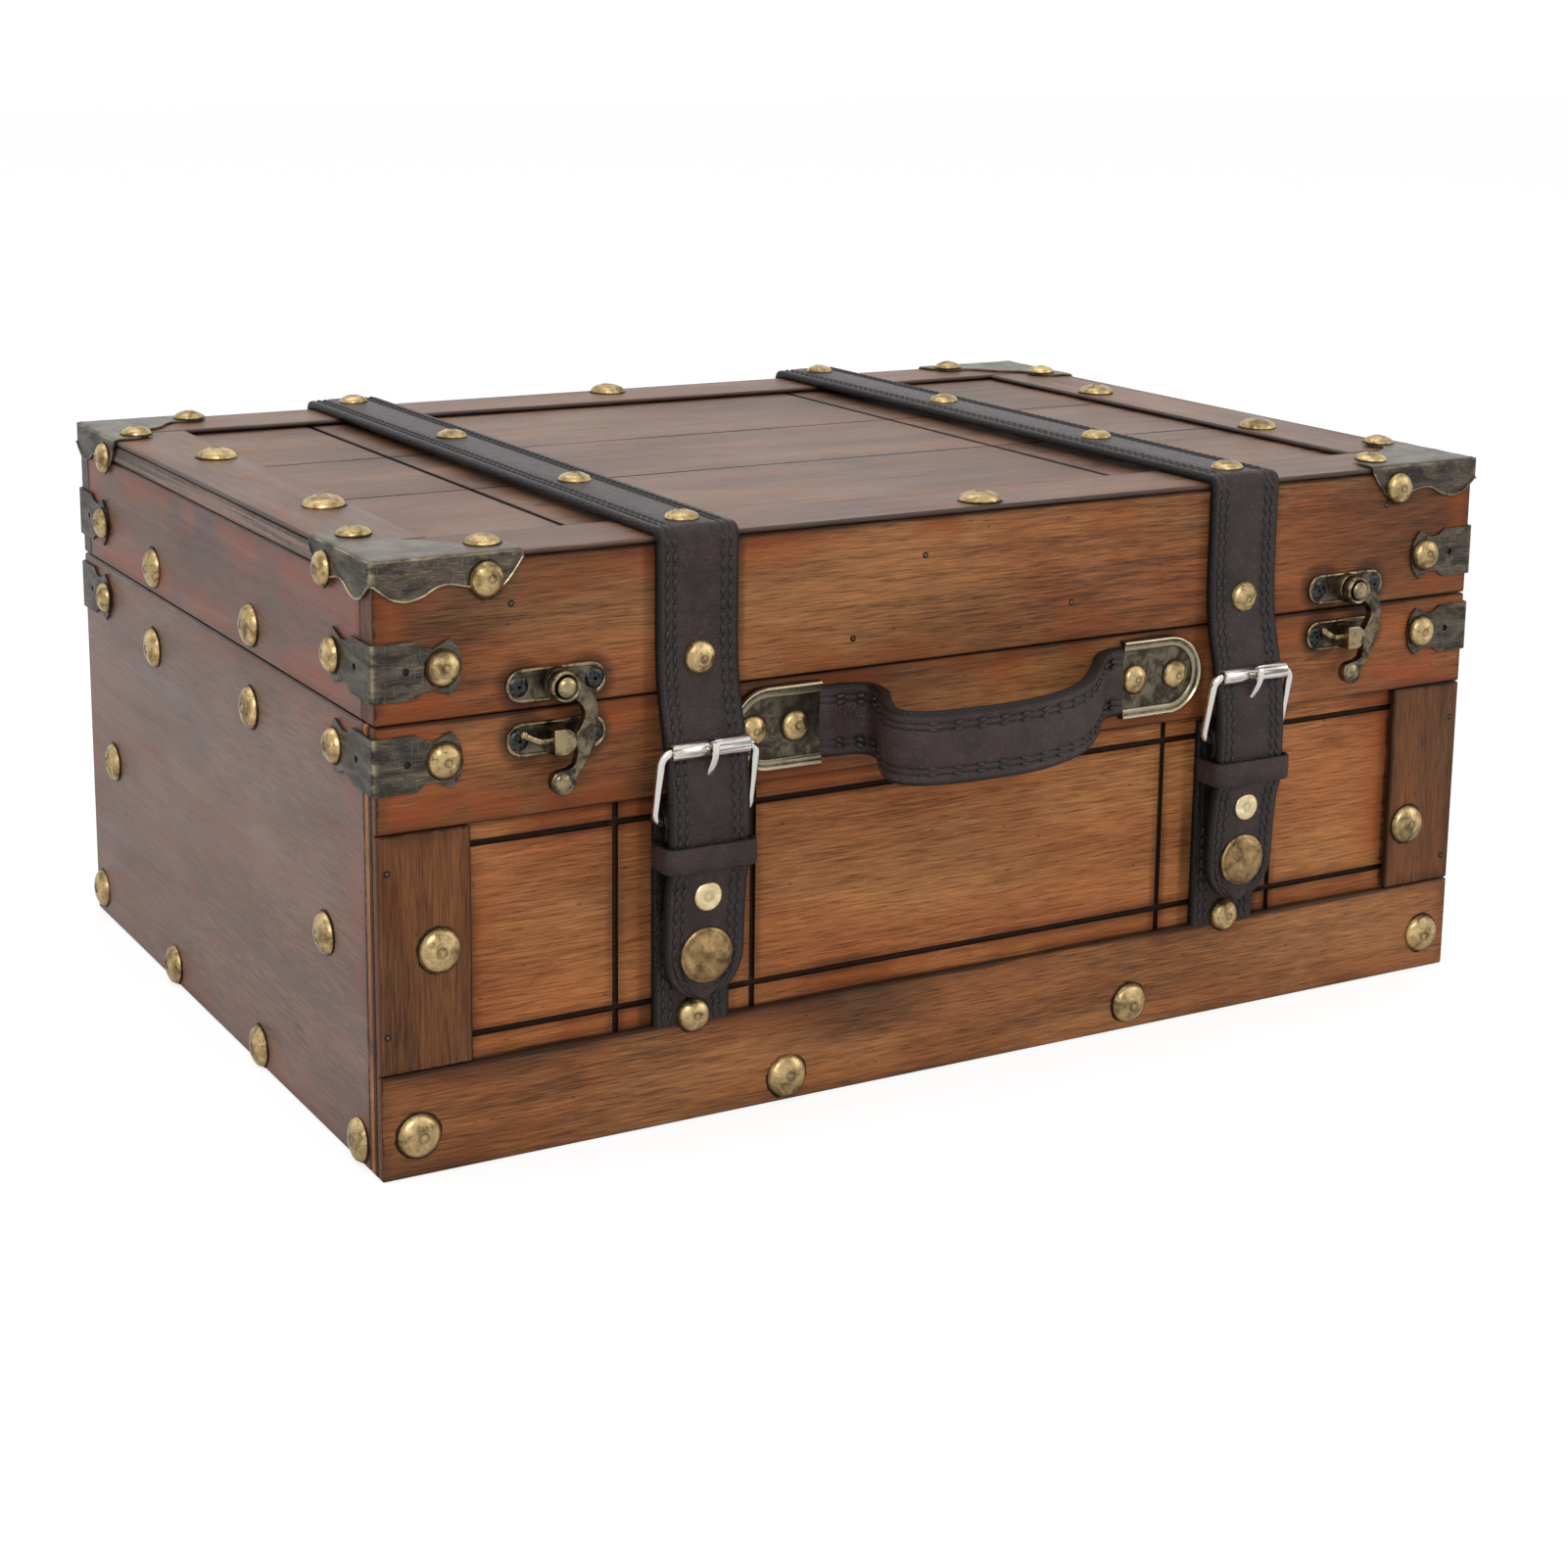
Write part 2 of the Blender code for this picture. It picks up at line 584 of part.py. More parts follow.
def add_base_boards():
    """Bottom, back and front boards of the base, with the grooved front panel."""
    inner_half = HALF_WIDTH - SIDE_BOARD_THICKNESS - SEAT_GAP
    front_in = PANEL_BACK_Y + SEAT_GAP
    back_in = BACK_BOARD_Y - SEAT_GAP
    bottom = box((-inner_half, front_in, 0), (inner_half, back_in, BOTTOM_BOARD_THICKNESS), BOARD_EDGE)
    add_part("base_bottom_board", bottom, "inner_wood")
    back = box((-inner_half, BACK_BOARD_Y, 0), (inner_half, HALF_DEPTH, BASE_HEIGHT), BOARD_EDGE)
    add_part("base_back_board", back, "side_wood")
    panel = box((-HALF_WIDTH, PANEL_FACE_Y, 0), (HALF_WIDTH, PANEL_BACK_Y, BASE_HEIGHT), BOARD_EDGE)
    front = add_part("base_front_panel", panel, "front_wood")
    groove_floor = PANEL_FACE_Y + GROOVE_DEPTH
    uprights = []
    for share in FRONT_GROOVE_SHARES:
        middle = TRUNK_WIDTH * share - HALF_WIDTH
        low = (middle - GROOVE_WIDTH / 2, PANEL_FACE_Y - OVERRUN, BOTTOM_RAIL_WIDTH / 2)
        high = (middle + GROOVE_WIDTH / 2, groove_floor, BASE_HEIGHT - TOP_RAIL_WIDTH / 2)
        uprights.append(box(low, high))
    cut(front, gather(uprights), "upright_grooves")
    levels = []
    groove_half = HALF_WIDTH - STILE_WIDTH / 2
    for height in (LOW_GROOVE_HEIGHT, HIGH_GROOVE_HEIGHT):
        low = (-groove_half, PANEL_FACE_Y - OVERRUN, height - GROOVE_WIDTH / 2)
        levels.append(box(low, (groove_half, groove_floor, height + GROOVE_WIDTH / 2)))
    cut(front, gather(levels), "level_grooves")


def add_base_sides():
    """Side boards of the base, with their rows of tacks."""
    low_y = PANEL_BACK_Y + SEAT_GAP
    for side, label in ((-1, "left"), (1, "right")):
        inner = side * (HALF_WIDTH - SIDE_BOARD_THICKNESS)
        outer = side * HALF_WIDTH
        board = box((min(inner, outer), low_y, 0), (max(inner, outer), HALF_DEPTH, BASE_HEIGHT),
                    BOARD_EDGE)
        piece = add_part("base_" + label + "_side", board, "side_wood")
        places = [(depth * TRUNK_DEPTH, rise * BASE_HEIGHT) for depth, rise in SIDE_TACK_SHARES]
        places += [(depth * TRUNK_DEPTH, height)
                   for depth, height in zip(SIDE_FOOT_TACK_SHARES, SIDE_FOOT_TACK_HEIGHTS)]
        tacks = [tack_on(Vector((outer, depth - HALF_DEPTH, height)), side * RIGHT)
                 for depth, height in places]
        fuse(piece, gather(tacks), "tacks")


def add_front_frame():
    """Two rails and two stiles, laid on the front panel."""
    back_y = RAIL_THICKNESS - HALF_DEPTH
    top = box((-HALF_WIDTH, -HALF_DEPTH, RAIL_TOP_LOW), (HALF_WIDTH, back_y, BASE_HEIGHT), BOARD_EDGE)
    add_part("base_top_rail", top, "front_wood")
    bottom = box((-HALF_WIDTH, -HALF_DEPTH, 0), (HALF_WIDTH, back_y, BOTTOM_RAIL_WIDTH), BOARD_EDGE)
    rail = add_part("base_bottom_rail", bottom, "front_wood")
    tacks = [front_tack(share * TRUNK_WIDTH - HALF_WIDTH, height)
             for share, height in zip(RAIL_TACK_SHARES, RAIL_TACK_HEIGHTS)]
    fuse(rail, gather(tacks), "tacks")
    low_z = BOTTOM_RAIL_WIDTH + SEAT_GAP
    high_z = RAIL_TOP_LOW - SEAT_GAP
    for side, label, share, inset in zip((-1, 1), ("left", "right"), STILE_TACK_SHARES, STILE_TACK_INSETS):
        inner = side * (HALF_WIDTH - STILE_WIDTH)
        outer = side * HALF_WIDTH
        stile = box((min(inner, outer), -HALF_DEPTH, low_z), (max(inner, outer), back_y, high_z),
                    BOARD_EDGE)
        piece = add_part("base_" + label + "_stile", stile, "front_wood")
        height = low_z + (high_z - low_z) * share
        fuse(piece, front_tack(side * (HALF_WIDTH - inset), height), "tack")


def add_lid_walls():
    """Four walls of the lid. The side walls stand between the front and the back."""
    pieces = []
    for side, label, finish in ((-1, "front", "front_wood"), (1, "back", "side_wood")):
        inner = side * (HALF_DEPTH - LID_WALL_THICKNESS)
        outer = side * HALF_DEPTH
        wall = box((-HALF_WIDTH, min(inner, outer), LID_LOW),
                   (HALF_WIDTH, max(inner, outer), LID_BOARD_HIGH), BOARD_EDGE)
        pieces.append(add_part("lid_" + label + "_wall", wall, finish))
    reach = HALF_DEPTH - LID_WALL_THICKNESS - SEAT_GAP
    high_z = LID_BOARD_LOW - SEAT_GAP
    for side, label in ((-1, "left"), (1, "right")):
        inner = side * (HALF_WIDTH - SIDE_BOARD_THICKNESS)
        outer = side * HALF_WIDTH
        wall = box((min(inner, outer), -reach, LID_LOW), (max(inner, outer), reach, high_z),
                   BOARD_EDGE)
        piece = add_part("lid_" + label + "_wall", wall, "side_wood")
        tacks = [tack_on(Vector((outer, share * TRUNK_DEPTH - HALF_DEPTH, LID_LOW + LID_SIDE_TACK_HEIGHT)),
                         side * RIGHT) for share in LID_SIDE_TACK_SHARES]
        fuse(piece, gather(tacks), "tacks")
        pieces.append(piece)
    return pieces


def add_lid_top():
    """Top board with its grooves and plank lines, and the four strips that frame it."""
    reach = HALF_DEPTH - LID_WALL_THICKNESS - SEAT_GAP
    board = box((-HALF_WIDTH, -reach, LID_BOARD_LOW), (HALF_WIDTH, reach, LID_BOARD_HIGH), BOARD_EDGE)
    top = add_part("lid_top_board", board, "top_wood")
    pieces = [top]
    field = HALF_DEPTH - STRIP_WIDTH / 2
    grooves = []
    for share in TOP_GROOVE_SHARES:
        middle = TRUNK_WIDTH * share - HALF_WIDTH
        grooves.append(box((middle - GROOVE_WIDTH / 2, -field, LID_BOARD_HIGH - GROOVE_DEPTH),
                           (middle + GROOVE_WIDTH / 2, field, LID_BOARD_HIGH + OVERRUN)))
    cut(top, gather(grooves), "grooves")
    lines = []
    field = HALF_WIDTH - STRIP_WIDTH / 2
    for share in PLANK_LINE_SHARES:
        middle = TRUNK_DEPTH * share - HALF_DEPTH
        lines.append(box((-field, middle - PLANK_LINE_WIDTH / 2, LID_BOARD_HIGH - PLANK_LINE_DEPTH),
                         (field, middle + PLANK_LINE_WIDTH / 2, LID_BOARD_HIGH + OVERRUN)))
    cut(top, gather(lines), "plank_lines")
    for side, label, share, inset in zip((-1, 1), ("front", "back"), STRIP_TACK_SHARES, STRIP_TACK_INSETS):
        inner = side * (HALF_DEPTH - STRIP_WIDTH)
        outer = side * HALF_DEPTH
        strip = box((-HALF_WIDTH, min(inner, outer), STRIP_LOW),
                    (HALF_WIDTH, max(inner, outer), TRUNK_TOP), BOARD_EDGE)
        piece = add_part("lid_" + label + "_strip", strip, "top_wood")
        spot = Vector((share * TRUNK_WIDTH - HALF_WIDTH, side * (HALF_DEPTH - inset), TRUNK_TOP))
        fuse(piece, tack_on(spot, UP), "tack")
        pieces.append(piece)
    reach = HALF_DEPTH - STRIP_WIDTH - SEAT_GAP
    for side, label in ((-1, "left"), (1, "right")):
        inner = side * (HALF_WIDTH - STRIP_WIDTH)
        outer = side * HALF_WIDTH
        strip = box((min(inner, outer), -reach, STRIP_LOW), (max(inner, outer), reach, TRUNK_TOP),
                    BOARD_EDGE)
        piece = add_part("lid_" + label + "_strip", strip, "top_wood")
        tacks = [tack_on(Vector((side * (HALF_WIDTH - STRIP_END_TACK_INSET),
                                 share * TRUNK_DEPTH - HALF_DEPTH, TRUNK_TOP)), UP)
                 for share in STRIP_END_TACK_SHARES]
        fuse(piece, gather(tacks), "tacks")
        pieces.append(piece)
    return pieces


def bracket_outline(arm, lap):
    """Half of a bracket seen flat: straight at the fold, waisted, with a fishtail end."""
    half = BRACKET_HEIGHT / 2
    upper = [(arm * along, half * rise) for along, rise in BRACKET_OUTLINE_SHARES]
    lower = [(along, -rise) for along, rise in reversed(upper)]
    return [(-lap, -half), (-lap, half)] + upper + [(arm, 0)] + lower


def add_bracket(name, side, end, height):
    """A bracket folded round one upright corner, with a tack at the end of each arm."""
    lap = SEAT_GAP + BRACKET_SHEET
    out = SEAT_GAP + BRACKET_SHEET / 2
    corner = Vector((side * HALF_WIDTH, end * HALF_DEPTH, height))
    holes = [arc((arm * BRACKET_HOLE_SHARE, 0), BRACKET_HOLE_RADIUS, 0, 360, HOLE_STEPS)[:-1]
             for arm in (BRACKET_FRONT_ARM, BRACKET_SIDE_ARM)]
    flat = plate([bracket_outline(BRACKET_FRONT_ARM, lap), holes[0]], BRACKET_SHEET,
                 facing(corner + end * out * BACK, -side * RIGHT, UP))
    piece = add_part(name, flat, "dark_steel")
    fold = plate([bracket_outline(BRACKET_SIDE_ARM, lap), holes[1]], BRACKET_SHEET,
                 facing(corner + side * out * RIGHT, -end * BACK, UP))
    fuse(piece, fold, "side_arm")
    front_spot = corner - side * BRACKET_FRONT_ARM * BRACKET_FRONT_TACK_SHARE * RIGHT + end * lap * BACK
    side_spot = corner - end * BRACKET_SIDE_ARM * BRACKET_SIDE_TACK_SHARE * BACK + side * lap * RIGHT
    tacks = [tack_on(front_spot, end * BACK, SMALL_TACK_RADIUS),
             tack_on(side_spot, side * RIGHT, SMALL_TACK_RADIUS)]
    fuse(piece, gather(tacks), "tacks")
    return piece


def add_brackets(prefix, height):
    pieces = []
    for end, end_label in ((-1, "front"), (1, "back")):
        for side, label in ((-1, "left"), (1, "right")):
            name = prefix + "_bracket_" + end_label + "_" + label
            pieces.append(add_bracket(name, side, end, height))
    return pieces


def guard_arm_outline(lap):
    """A guard's hanging edge, from the corner along one arm, seen square to the face."""
    edge = [(GUARD_ARM * along, -GUARD_DROP * drop) for along, drop in GUARD_EDGE_SHARES]
    return [(-lap, lap), (-lap, edge[0][1])] + edge + [(GUARD_ARM, lap)]


def guard_top_outline(lap):
    """A guard's flat top: a pointed lobe along each edge, and a cusp between them."""
    first = [(GUARD_ARM * along, GUARD_ARM * across) for along, across in GUARD_TOP_SHARES]
    middle = GUARD_ARM * GUARD_TOP_MIDDLE_SHARE
    second = [(across, along) for along, across in reversed(first)]
    return [(-lap, -lap), (GUARD_ARM, -lap)] + first + [(middle, middle)] + second + [(-lap, GUARD_ARM)]


def add_guards():
    """Pressed corner guards on the four top corners, each with four tacks."""
    lap = SEAT_GAP + GUARD_SHEET
    out = SEAT_GAP + GUARD_SHEET / 2
    pieces = []
    for end, end_label in ((-1, "front"), (1, "back")):
        for side, label in ((-1, "left"), (1, "right")):
            corner = Vector((side * HALF_WIDTH, end * HALF_DEPTH, TRUNK_TOP))
            inward_x = -side * RIGHT
            inward_y = -end * BACK
            top = plate([guard_top_outline(lap)], GUARD_SHEET, facing(corner + out * UP, inward_x, inward_y))
            piece = add_part("corner_guard_" + end_label + "_" + label, top, "dark_steel")
            outline = guard_arm_outline(lap)
            fuse(piece, plate([outline], GUARD_SHEET, facing(corner - out * inward_y, inward_x, UP)), "face")
            fuse(piece, plate([outline], GUARD_SHEET, facing(corner - out * inward_x, inward_y, UP)), "flank")
            drop = GUARD_TACK_DROP * UP
            face_spot = corner + GUARD_TACK_INSET * inward_x - lap * inward_y - drop
            flank_spot = corner + GUARD_TACK_INSET * inward_y - lap * inward_x - drop
            top_spots = [corner + GUARD_TOP_TACK_INSET * along + GUARD_TOP_TACK_SETBACK * across + lap * UP
                         for along, across in ((inward_x, inward_y), (inward_y, inward_x))]
            tacks = [tack_on(face_spot, -inward_y, SMALL_TACK_RADIUS),
                     tack_on(flank_spot, -inward_x, SMALL_TACK_RADIUS)]
            tacks += [tack_on(spot, UP, SMALL_TACK_RADIUS) for spot in top_spots]
            fuse(piece, gather(tacks), "tacks")
            pieces.append(piece)
    return pieces


def lid_strap_route():
    """The middle of the leather, from low on the lid's back over the top to the seam."""
    bend = STRAP_INNER_BEND + STRAP_THICKNESS / 2
    back = HALF_DEPTH + STRAP_OUT
    top = TRUNK_TOP + STRAP_OUT
    back_bend = arc((back - bend, top - bend), bend, 0, 90, STRAP_BEND_STEPS)
    front_bend = arc((bend - back, top - bend), bend, 90, 180, STRAP_BEND_STEPS)
    low = SEAM_HEIGHT + STRAP_THICKNESS / 2 + STRAP_SEAM_GAP
    return [(back, TRUNK_TOP - STRAP_BACK_DROP)] + back_bend + front_bend + [(-back, low)]


def add_lid_strap(label, middle, front_rise):
    """A strap tacked over the lid."""
    route = lid_strap_route()
    outline = ribbon(route, [STRAP_THICKNESS] * len(route))
    piece = add_part(label + "_lid_strap", across_trunk(outline, middle, STRAP_WIDTH), "strap_leather")
    skin = SEAT_GAP + STRAP_THICKNESS
    top_spots = [Vector((middle, share * TRUNK_DEPTH - HALF_DEPTH, TRUNK_TOP + skin))
                 for share in STRAP_TOP_TACK_SHARES]
    tacks = [tack_on(spot, UP, SMALL_TACK_RADIUS) for spot in top_spots]
    tacks.append(front_tack(middle, LID_LOW + front_rise, skin, SMALL_TACK_RADIUS))
    back_spot = Vector((middle, HALF_DEPTH + skin, LID_LOW + STRAP_BACK_TACK_RISE))
    tacks.append(tack_on(back_spot, BACK, SMALL_TACK_RADIUS))
    fuse(piece, gather(tacks), "tacks")
    return piece


def add_base_strap(label, middle):
    """The lower strap on the panel, with its tack and the stud that the tail snaps to."""
    face = BASE_STRAP_OUT + STRAP_THICKNESS / 2
    back = BASE_STRAP_OUT - STRAP_THICKNESS / 2
    half = BASE_STRAP_WIDTH / 2
    leather = box((middle - half, -HALF_DEPTH - face, BASE_STRAP_LOW),
                  (middle + half, -HALF_DEPTH - back, BASE_STRAP_HIGH))
    piece = add_part(label + "_base_strap", leather, "strap_leather")
    head_out = SEAT_GAP
    head = front_place(middle, BASE_STRAP_TACK_HEIGHT, head_out)
    neck_low = face - head_out - SINK
    inward, upward = BASE_STRAP_TACK_SHOULDER_SHARES
    radius = SMALL_TACK_RADIUS
    profile = [(0, neck_low), (BASE_STRAP_TACK_NECK, neck_low), (BASE_STRAP_TACK_NECK, 0), (radius, 0),
               (radius, TACK_RIM), (radius * inward, TACK_RIM + (TACK_HEIGHT - TACK_RIM) * upward),
               (0, TACK_HEIGHT)]
    fuse(piece, turned(profile, facing(head, RIGHT, UP), TACK_STEPS), "tack")
    stud_top = tail_out(SNAP_HEIGHT) - STRAP_THICKNESS / 2 - SEAT_GAP
    matrix = facing(front_place(middle, SNAP_HEIGHT), RIGHT, UP)
    profile = [(0, face - SINK), (STUD_RADIUS, face - SINK), (STUD_RADIUS, stud_top), (0, stud_top)]
    fuse(piece, turned(profile, matrix, STUD_STEPS), "stud")
    return piece


def tail_points():
    """Height and stand-off of the tail's middle, from the seam to its tip."""
    over_heel = HEEL_OUT + CHAPE_BEND + CHAPE_THICKNESS / 2 + TAIL_HEEL_GAP + STRAP_THICKNESS / 2
    under_roller = ROLLER_OUT - ROLLER_RADIUS - SEAT_GAP - STRAP_THICKNESS / 2
    return [
        (SEAM_HEIGHT, STRAP_OUT),
        (TAIL_KNEE_HEIGHT, TAIL_KNEE_OUT),
        (ROLLER_HEIGHT, under_roller),
        (HEEL_HEIGHT, over_heel),
        (KEEPER_HIGH, over_heel),
        (KEEPER_LOW, TAIL_KEEPER_OUT),
        (TAIL_BEND_HEIGHT, TAIL_BEND_OUT),
        (TAIL_LOW_HEIGHT, TAIL_LOW_OUT),
        (TAIL_TIP_HEIGHT, TAIL_TIP_OUT),
    ]


def tail_out(height):
    """How far the tail's middle stands off the face at a height."""
    points = tail_points()
    for (high, high_out), (low, low_out) in zip(points, points[1:]):
        if low <= height <= high:
            return low_out + (high_out - low_out) * (height - low) / (high - low)
    return points[-1][1]


def tail_outline():
    """The tail from the side, with a round end at the seam that it turns about."""
    route = [(-HALF_DEPTH - out, height) for height, out in tail_points()]
    band = ribbon(route, [STRAP_THICKNESS] * len(route))
    up = Vector(route[0]) - Vector(route[1])
    top = math.degrees(math.atan2(up.y, up.x))
    round_end = arc(route[0], STRAP_THICKNESS / 2, top + 90, top - 90, CHAPE_BEND_STEPS)
    return band[1:-1] + round_end


def chape_outline():
    """The short leather that folds round the buckle's heel bar, from the side."""
    middle = (-HALF_DEPTH - HEEL_OUT, HEEL_HEIGHT)
    back = middle[0] + CHAPE_BEND
    front = middle[0] - CHAPE_BEND
    tuck = -HALF_DEPTH - tail_out(CHAPE_FRONT_LOW)
    bend = arc(middle, CHAPE_BEND, 0, 180, CHAPE_BEND_STEPS)
    route = [(back, CHAPE_LOW)] + bend + [(front, CHAPE_FRONT_LOW + CHAPE_TUCK_RISE), (tuck, CHAPE_FRONT_LOW)]
    return ribbon(route, [CHAPE_THICKNESS] * len(route))


def add_tail(label, middle):
    """The strap's free end: tail leather, the chape that carries the buckle, and their rivet."""
    piece = add_part(label + "_strap_tail", across_trunk(tail_outline(), middle, TAIL_WIDTH), "strap_leather")
    half = TAIL_WIDTH / 2
    tip = arc((middle, TAIL_TIP_HEIGHT + half), half, 180, 360, TAIL_TIP_STEPS)
    reach = half + OVERRUN
    stencil = tip + [(middle + reach, TAIL_TIP_HEIGHT + half), (middle + reach, TRUNK_TOP),
                     (middle - reach, TRUNK_TOP), (middle - reach, TAIL_TIP_HEIGHT + half)]
    keep(piece, plate([stencil], TRUNK_DEPTH, facing(front_place(0, 0), RIGHT, UP)), "tip")
    chape = add_object("chape", across_trunk(chape_outline(), middle, TAIL_WIDTH), cutting_tools)
    chape.name = piece.name + "_chape"
    chape.hide_render = True
    chape.display_type = "WIRE"
    chape_front = HEEL_OUT + CHAPE_BEND + CHAPE_THICKNESS / 2 + SEAT_GAP
    slot = box((middle - CHAPE_SLOT_WIDTH / 2, -HALF_DEPTH - chape_front, HEEL_HEIGHT - CHAPE_SLOT_REACH),
               (middle + CHAPE_SLOT_WIDTH / 2, -HALF_DEPTH, HEEL_HEIGHT + CHAPE_SLOT_REACH))
    cut(chape, slot, "slot")
    join = piece.modifiers.new("chape", "BOOLEAN")
    join.operation = "UNION"
    join.solver = "EXACT"
    join.object = chape
    hole = box((middle - TAIL_HOLE_WIDTH / 2, -HALF_DEPTH - ROLLER_OUT - ROLLER_RADIUS, TAIL_HOLE_LOW),
               (middle + TAIL_HOLE_WIDTH / 2, -HALF_DEPTH, TAIL_HOLE_HIGH))
    cut(piece, hole, "prong_hole")
    chape_back = HEEL_OUT - CHAPE_BEND - CHAPE_THICKNESS / 2
    skin = tail_out(RIVET_HEIGHT) + STRAP_THICKNESS / 2
    profile = [(0, chape_back), (RIVET_SHANK_RADIUS, chape_back), (RIVET_SHANK_RADIUS, skin - SINK),
               (RIVET_RADIUS, skin - SINK), (RIVET_RADIUS, skin + RIVET_PROUD), (0, skin + RIVET_PROUD)]
    fuse(piece, turned(profile, facing(front_place(middle, RIVET_HEIGHT), RIGHT, UP), RIVET_STEPS), "rivet")
    return piece


def add_snap_cap(label, middle):
    """The large brass cap of the snap, on the tail's face."""
    skin = tail_out(SNAP_HEIGHT) + STRAP_THICKNESS / 2 + SEAT_GAP
    profile = [(0, 0), (SNAP_RADIUS, 0)]
    profile += [(SNAP_RADIUS * across, SNAP_RIM + (SNAP_DOME - SNAP_RIM) * rise)
                for across, rise in SNAP_PROFILE_SHARES]
    cap = turned(profile, facing(front_place(middle, SNAP_HEIGHT, skin), RIGHT, UP), SNAP_STEPS)
    return add_part(label + "_snap_cap", cap, "aged_brass")


def add_buckle_frame(label, middle):
    """A wire loop: roller bar above, heel bar below, and two arms."""
    low = Vector((0, -HALF_DEPTH - HEEL_OUT, HEEL_HEIGHT))
    high = Vector((0, -HALF_DEPTH - ROLLER_OUT, ROLLER_HEIGHT))
    rise = (high - low).normalized()
    length = (high - low).length
    half = BUCKLE_SPAN / 2 - BUCKLE_CORNER
    corners = [((half, BUCKLE_CORNER), 270, 360), ((half, length - BUCKLE_CORNER), 0, 90),
               ((-half, length - BUCKLE_CORNER), 90, 180), ((-half, BUCKLE_CORNER), 180, 270)]
    route = []
    for centre, start, end in corners:
        for across, along in arc(centre, BUCKLE_CORNER, start, end, BUCKLE_CORNER_STEPS):
            route.append(Vector((middle + across, 0, 0)) + low + rise * along)
    return add_part(label + "_buckle_frame", tube(route, BUCKLE_WIRE, closed=True), "bright_nickel")


def add_roller(label, middle):
    """A loose sleeve on the buckle's upper bar."""
    half = ROLLER_LENGTH / 2
    profile = [(ROLLER_BORE, -half), (ROLLER_RADIUS, -half), (ROLLER_RADIUS, half), (ROLLER_BORE, half),
               (ROLLER_BORE, -half)]
    matrix = facing(Vector((middle, -HALF_DEPTH - ROLLER_OUT, ROLLER_HEIGHT)), BACK, UP)
    return add_part(label + "_buckle_roller", turned(profile, matrix, ROLLER_STEPS), "bright_nickel")


def add_prong(label, middle):
    """The prong: an eye on the heel bar, a bend through the strap, a tip on the roller."""
    half = PRONG_EYE_WIDTH / 2
    bore = ROLLER_BORE
    profile = [(bore, -half), (PRONG_EYE_RADIUS, -half), (PRONG_EYE_RADIUS, half), (bore, half),
               (bore, -half)]
    axis = Vector((middle, -HALF_DEPTH - HEEL_OUT, HEEL_HEIGHT))
    piece = add_part(label + "_buckle_prong", turned(profile, facing(axis, BACK, UP), PRONG_STEPS),
                     "bright_nickel")
    rest_out = ROLLER_OUT + ROLLER_RADIUS + SEAT_GAP + PRONG_WIRE / 2
    start = PRONG_EYE_RADIUS * PRONG_START_SHARE
    clear = rest_out - ROLLER_OUT
    points = [
        (HEEL_OUT, HEEL_HEIGHT + start),
        (PRONG_HOLE_OUT, HEEL_HEIGHT + PRONG_HOLE_RISE),
        (ROLLER_OUT + clear * PRONG_WRAP_SHARES[0], ROLLER_HEIGHT - clear * PRONG_WRAP_SHARES[1]),
        (rest_out, ROLLER_HEIGHT),
        (rest_out - PRONG_TIP_DROP, ROLLER_HEIGHT + PRONG_TIP_RISE),
    ]
    route = [front_place(middle, height, out) for out, height in smooth_route(points, PRONG_ROUTE_STEPS)]
    fuse(piece, tube(route, PRONG_WIRE), "tongue")
    return piece


def add_keeper(label, middle):
    """A plain leather loop that holds the tail and the chape together."""
    chape_back = HEEL_OUT - CHAPE_BEND - CHAPE_THICKNESS / 2 - SEAT_GAP
    skin = tail_out(KEEPER_HIGH) + STRAP_THICKNESS / 2 + SEAT_GAP
    half = TAIL_WIDTH / 2 + KEEPER_SIDE_GAP

    def loop(grow, corner):
        low_y = -HALF_DEPTH - skin - grow
        high_y = -HALF_DEPTH - chape_back + grow
        left = middle - half - grow
        right = middle + half + grow
        turns = [((right - corner, low_y + corner), 270, 360), ((right - corner, high_y - corner), 0, 90),
                 ((left + corner, high_y - corner), 90, 180), ((left + corner, low_y + corner), 180, 270)]
        points = []
        for centre, start, end in turns:
            points += arc(centre, corner, start, end, KEEPER_CORNER_STEPS)
        return points

    rise = (KEEPER_LOW + KEEPER_HIGH) / 2
    band = plate([loop(KEEPER_THICKNESS, KEEPER_CORNER + KEEPER_THICKNESS), loop(0, KEEPER_CORNER)],
                 KEEPER_HIGH - KEEPER_LOW, facing(Vector((0, 0, rise)), RIGHT, BACK))
    return add_part(label + "_strap_keeper", band, "strap_leather")


def obround(length, height, steps=LATCH_END_STEPS):
    """A plate outline with straight long sides and half-round ends."""
    radius = height / 2
    shift = length / 2 - radius
    return arc((shift, 0), radius, -90, 90, steps) + arc((-shift, 0), radius, 90, 270, steps)


def latch_screws(place):
    """Two flat screw heads on an obround plate."""
    heads = []
    for side in (-1, 1):
        spot = place + side * LATCH_SCREW_SPACING / 2 * RIGHT
        profile = [(0, -SINK), (LATCH_SCREW_RADIUS, -SINK), (LATCH_SCREW_RADIUS, LATCH_SCREW_HEIGHT),
                   (0, LATCH_SCREW_HEIGHT)]
        heads.append(turned(profile, facing(spot, RIGHT, UP), TACK_STEPS))
    return gather(heads)


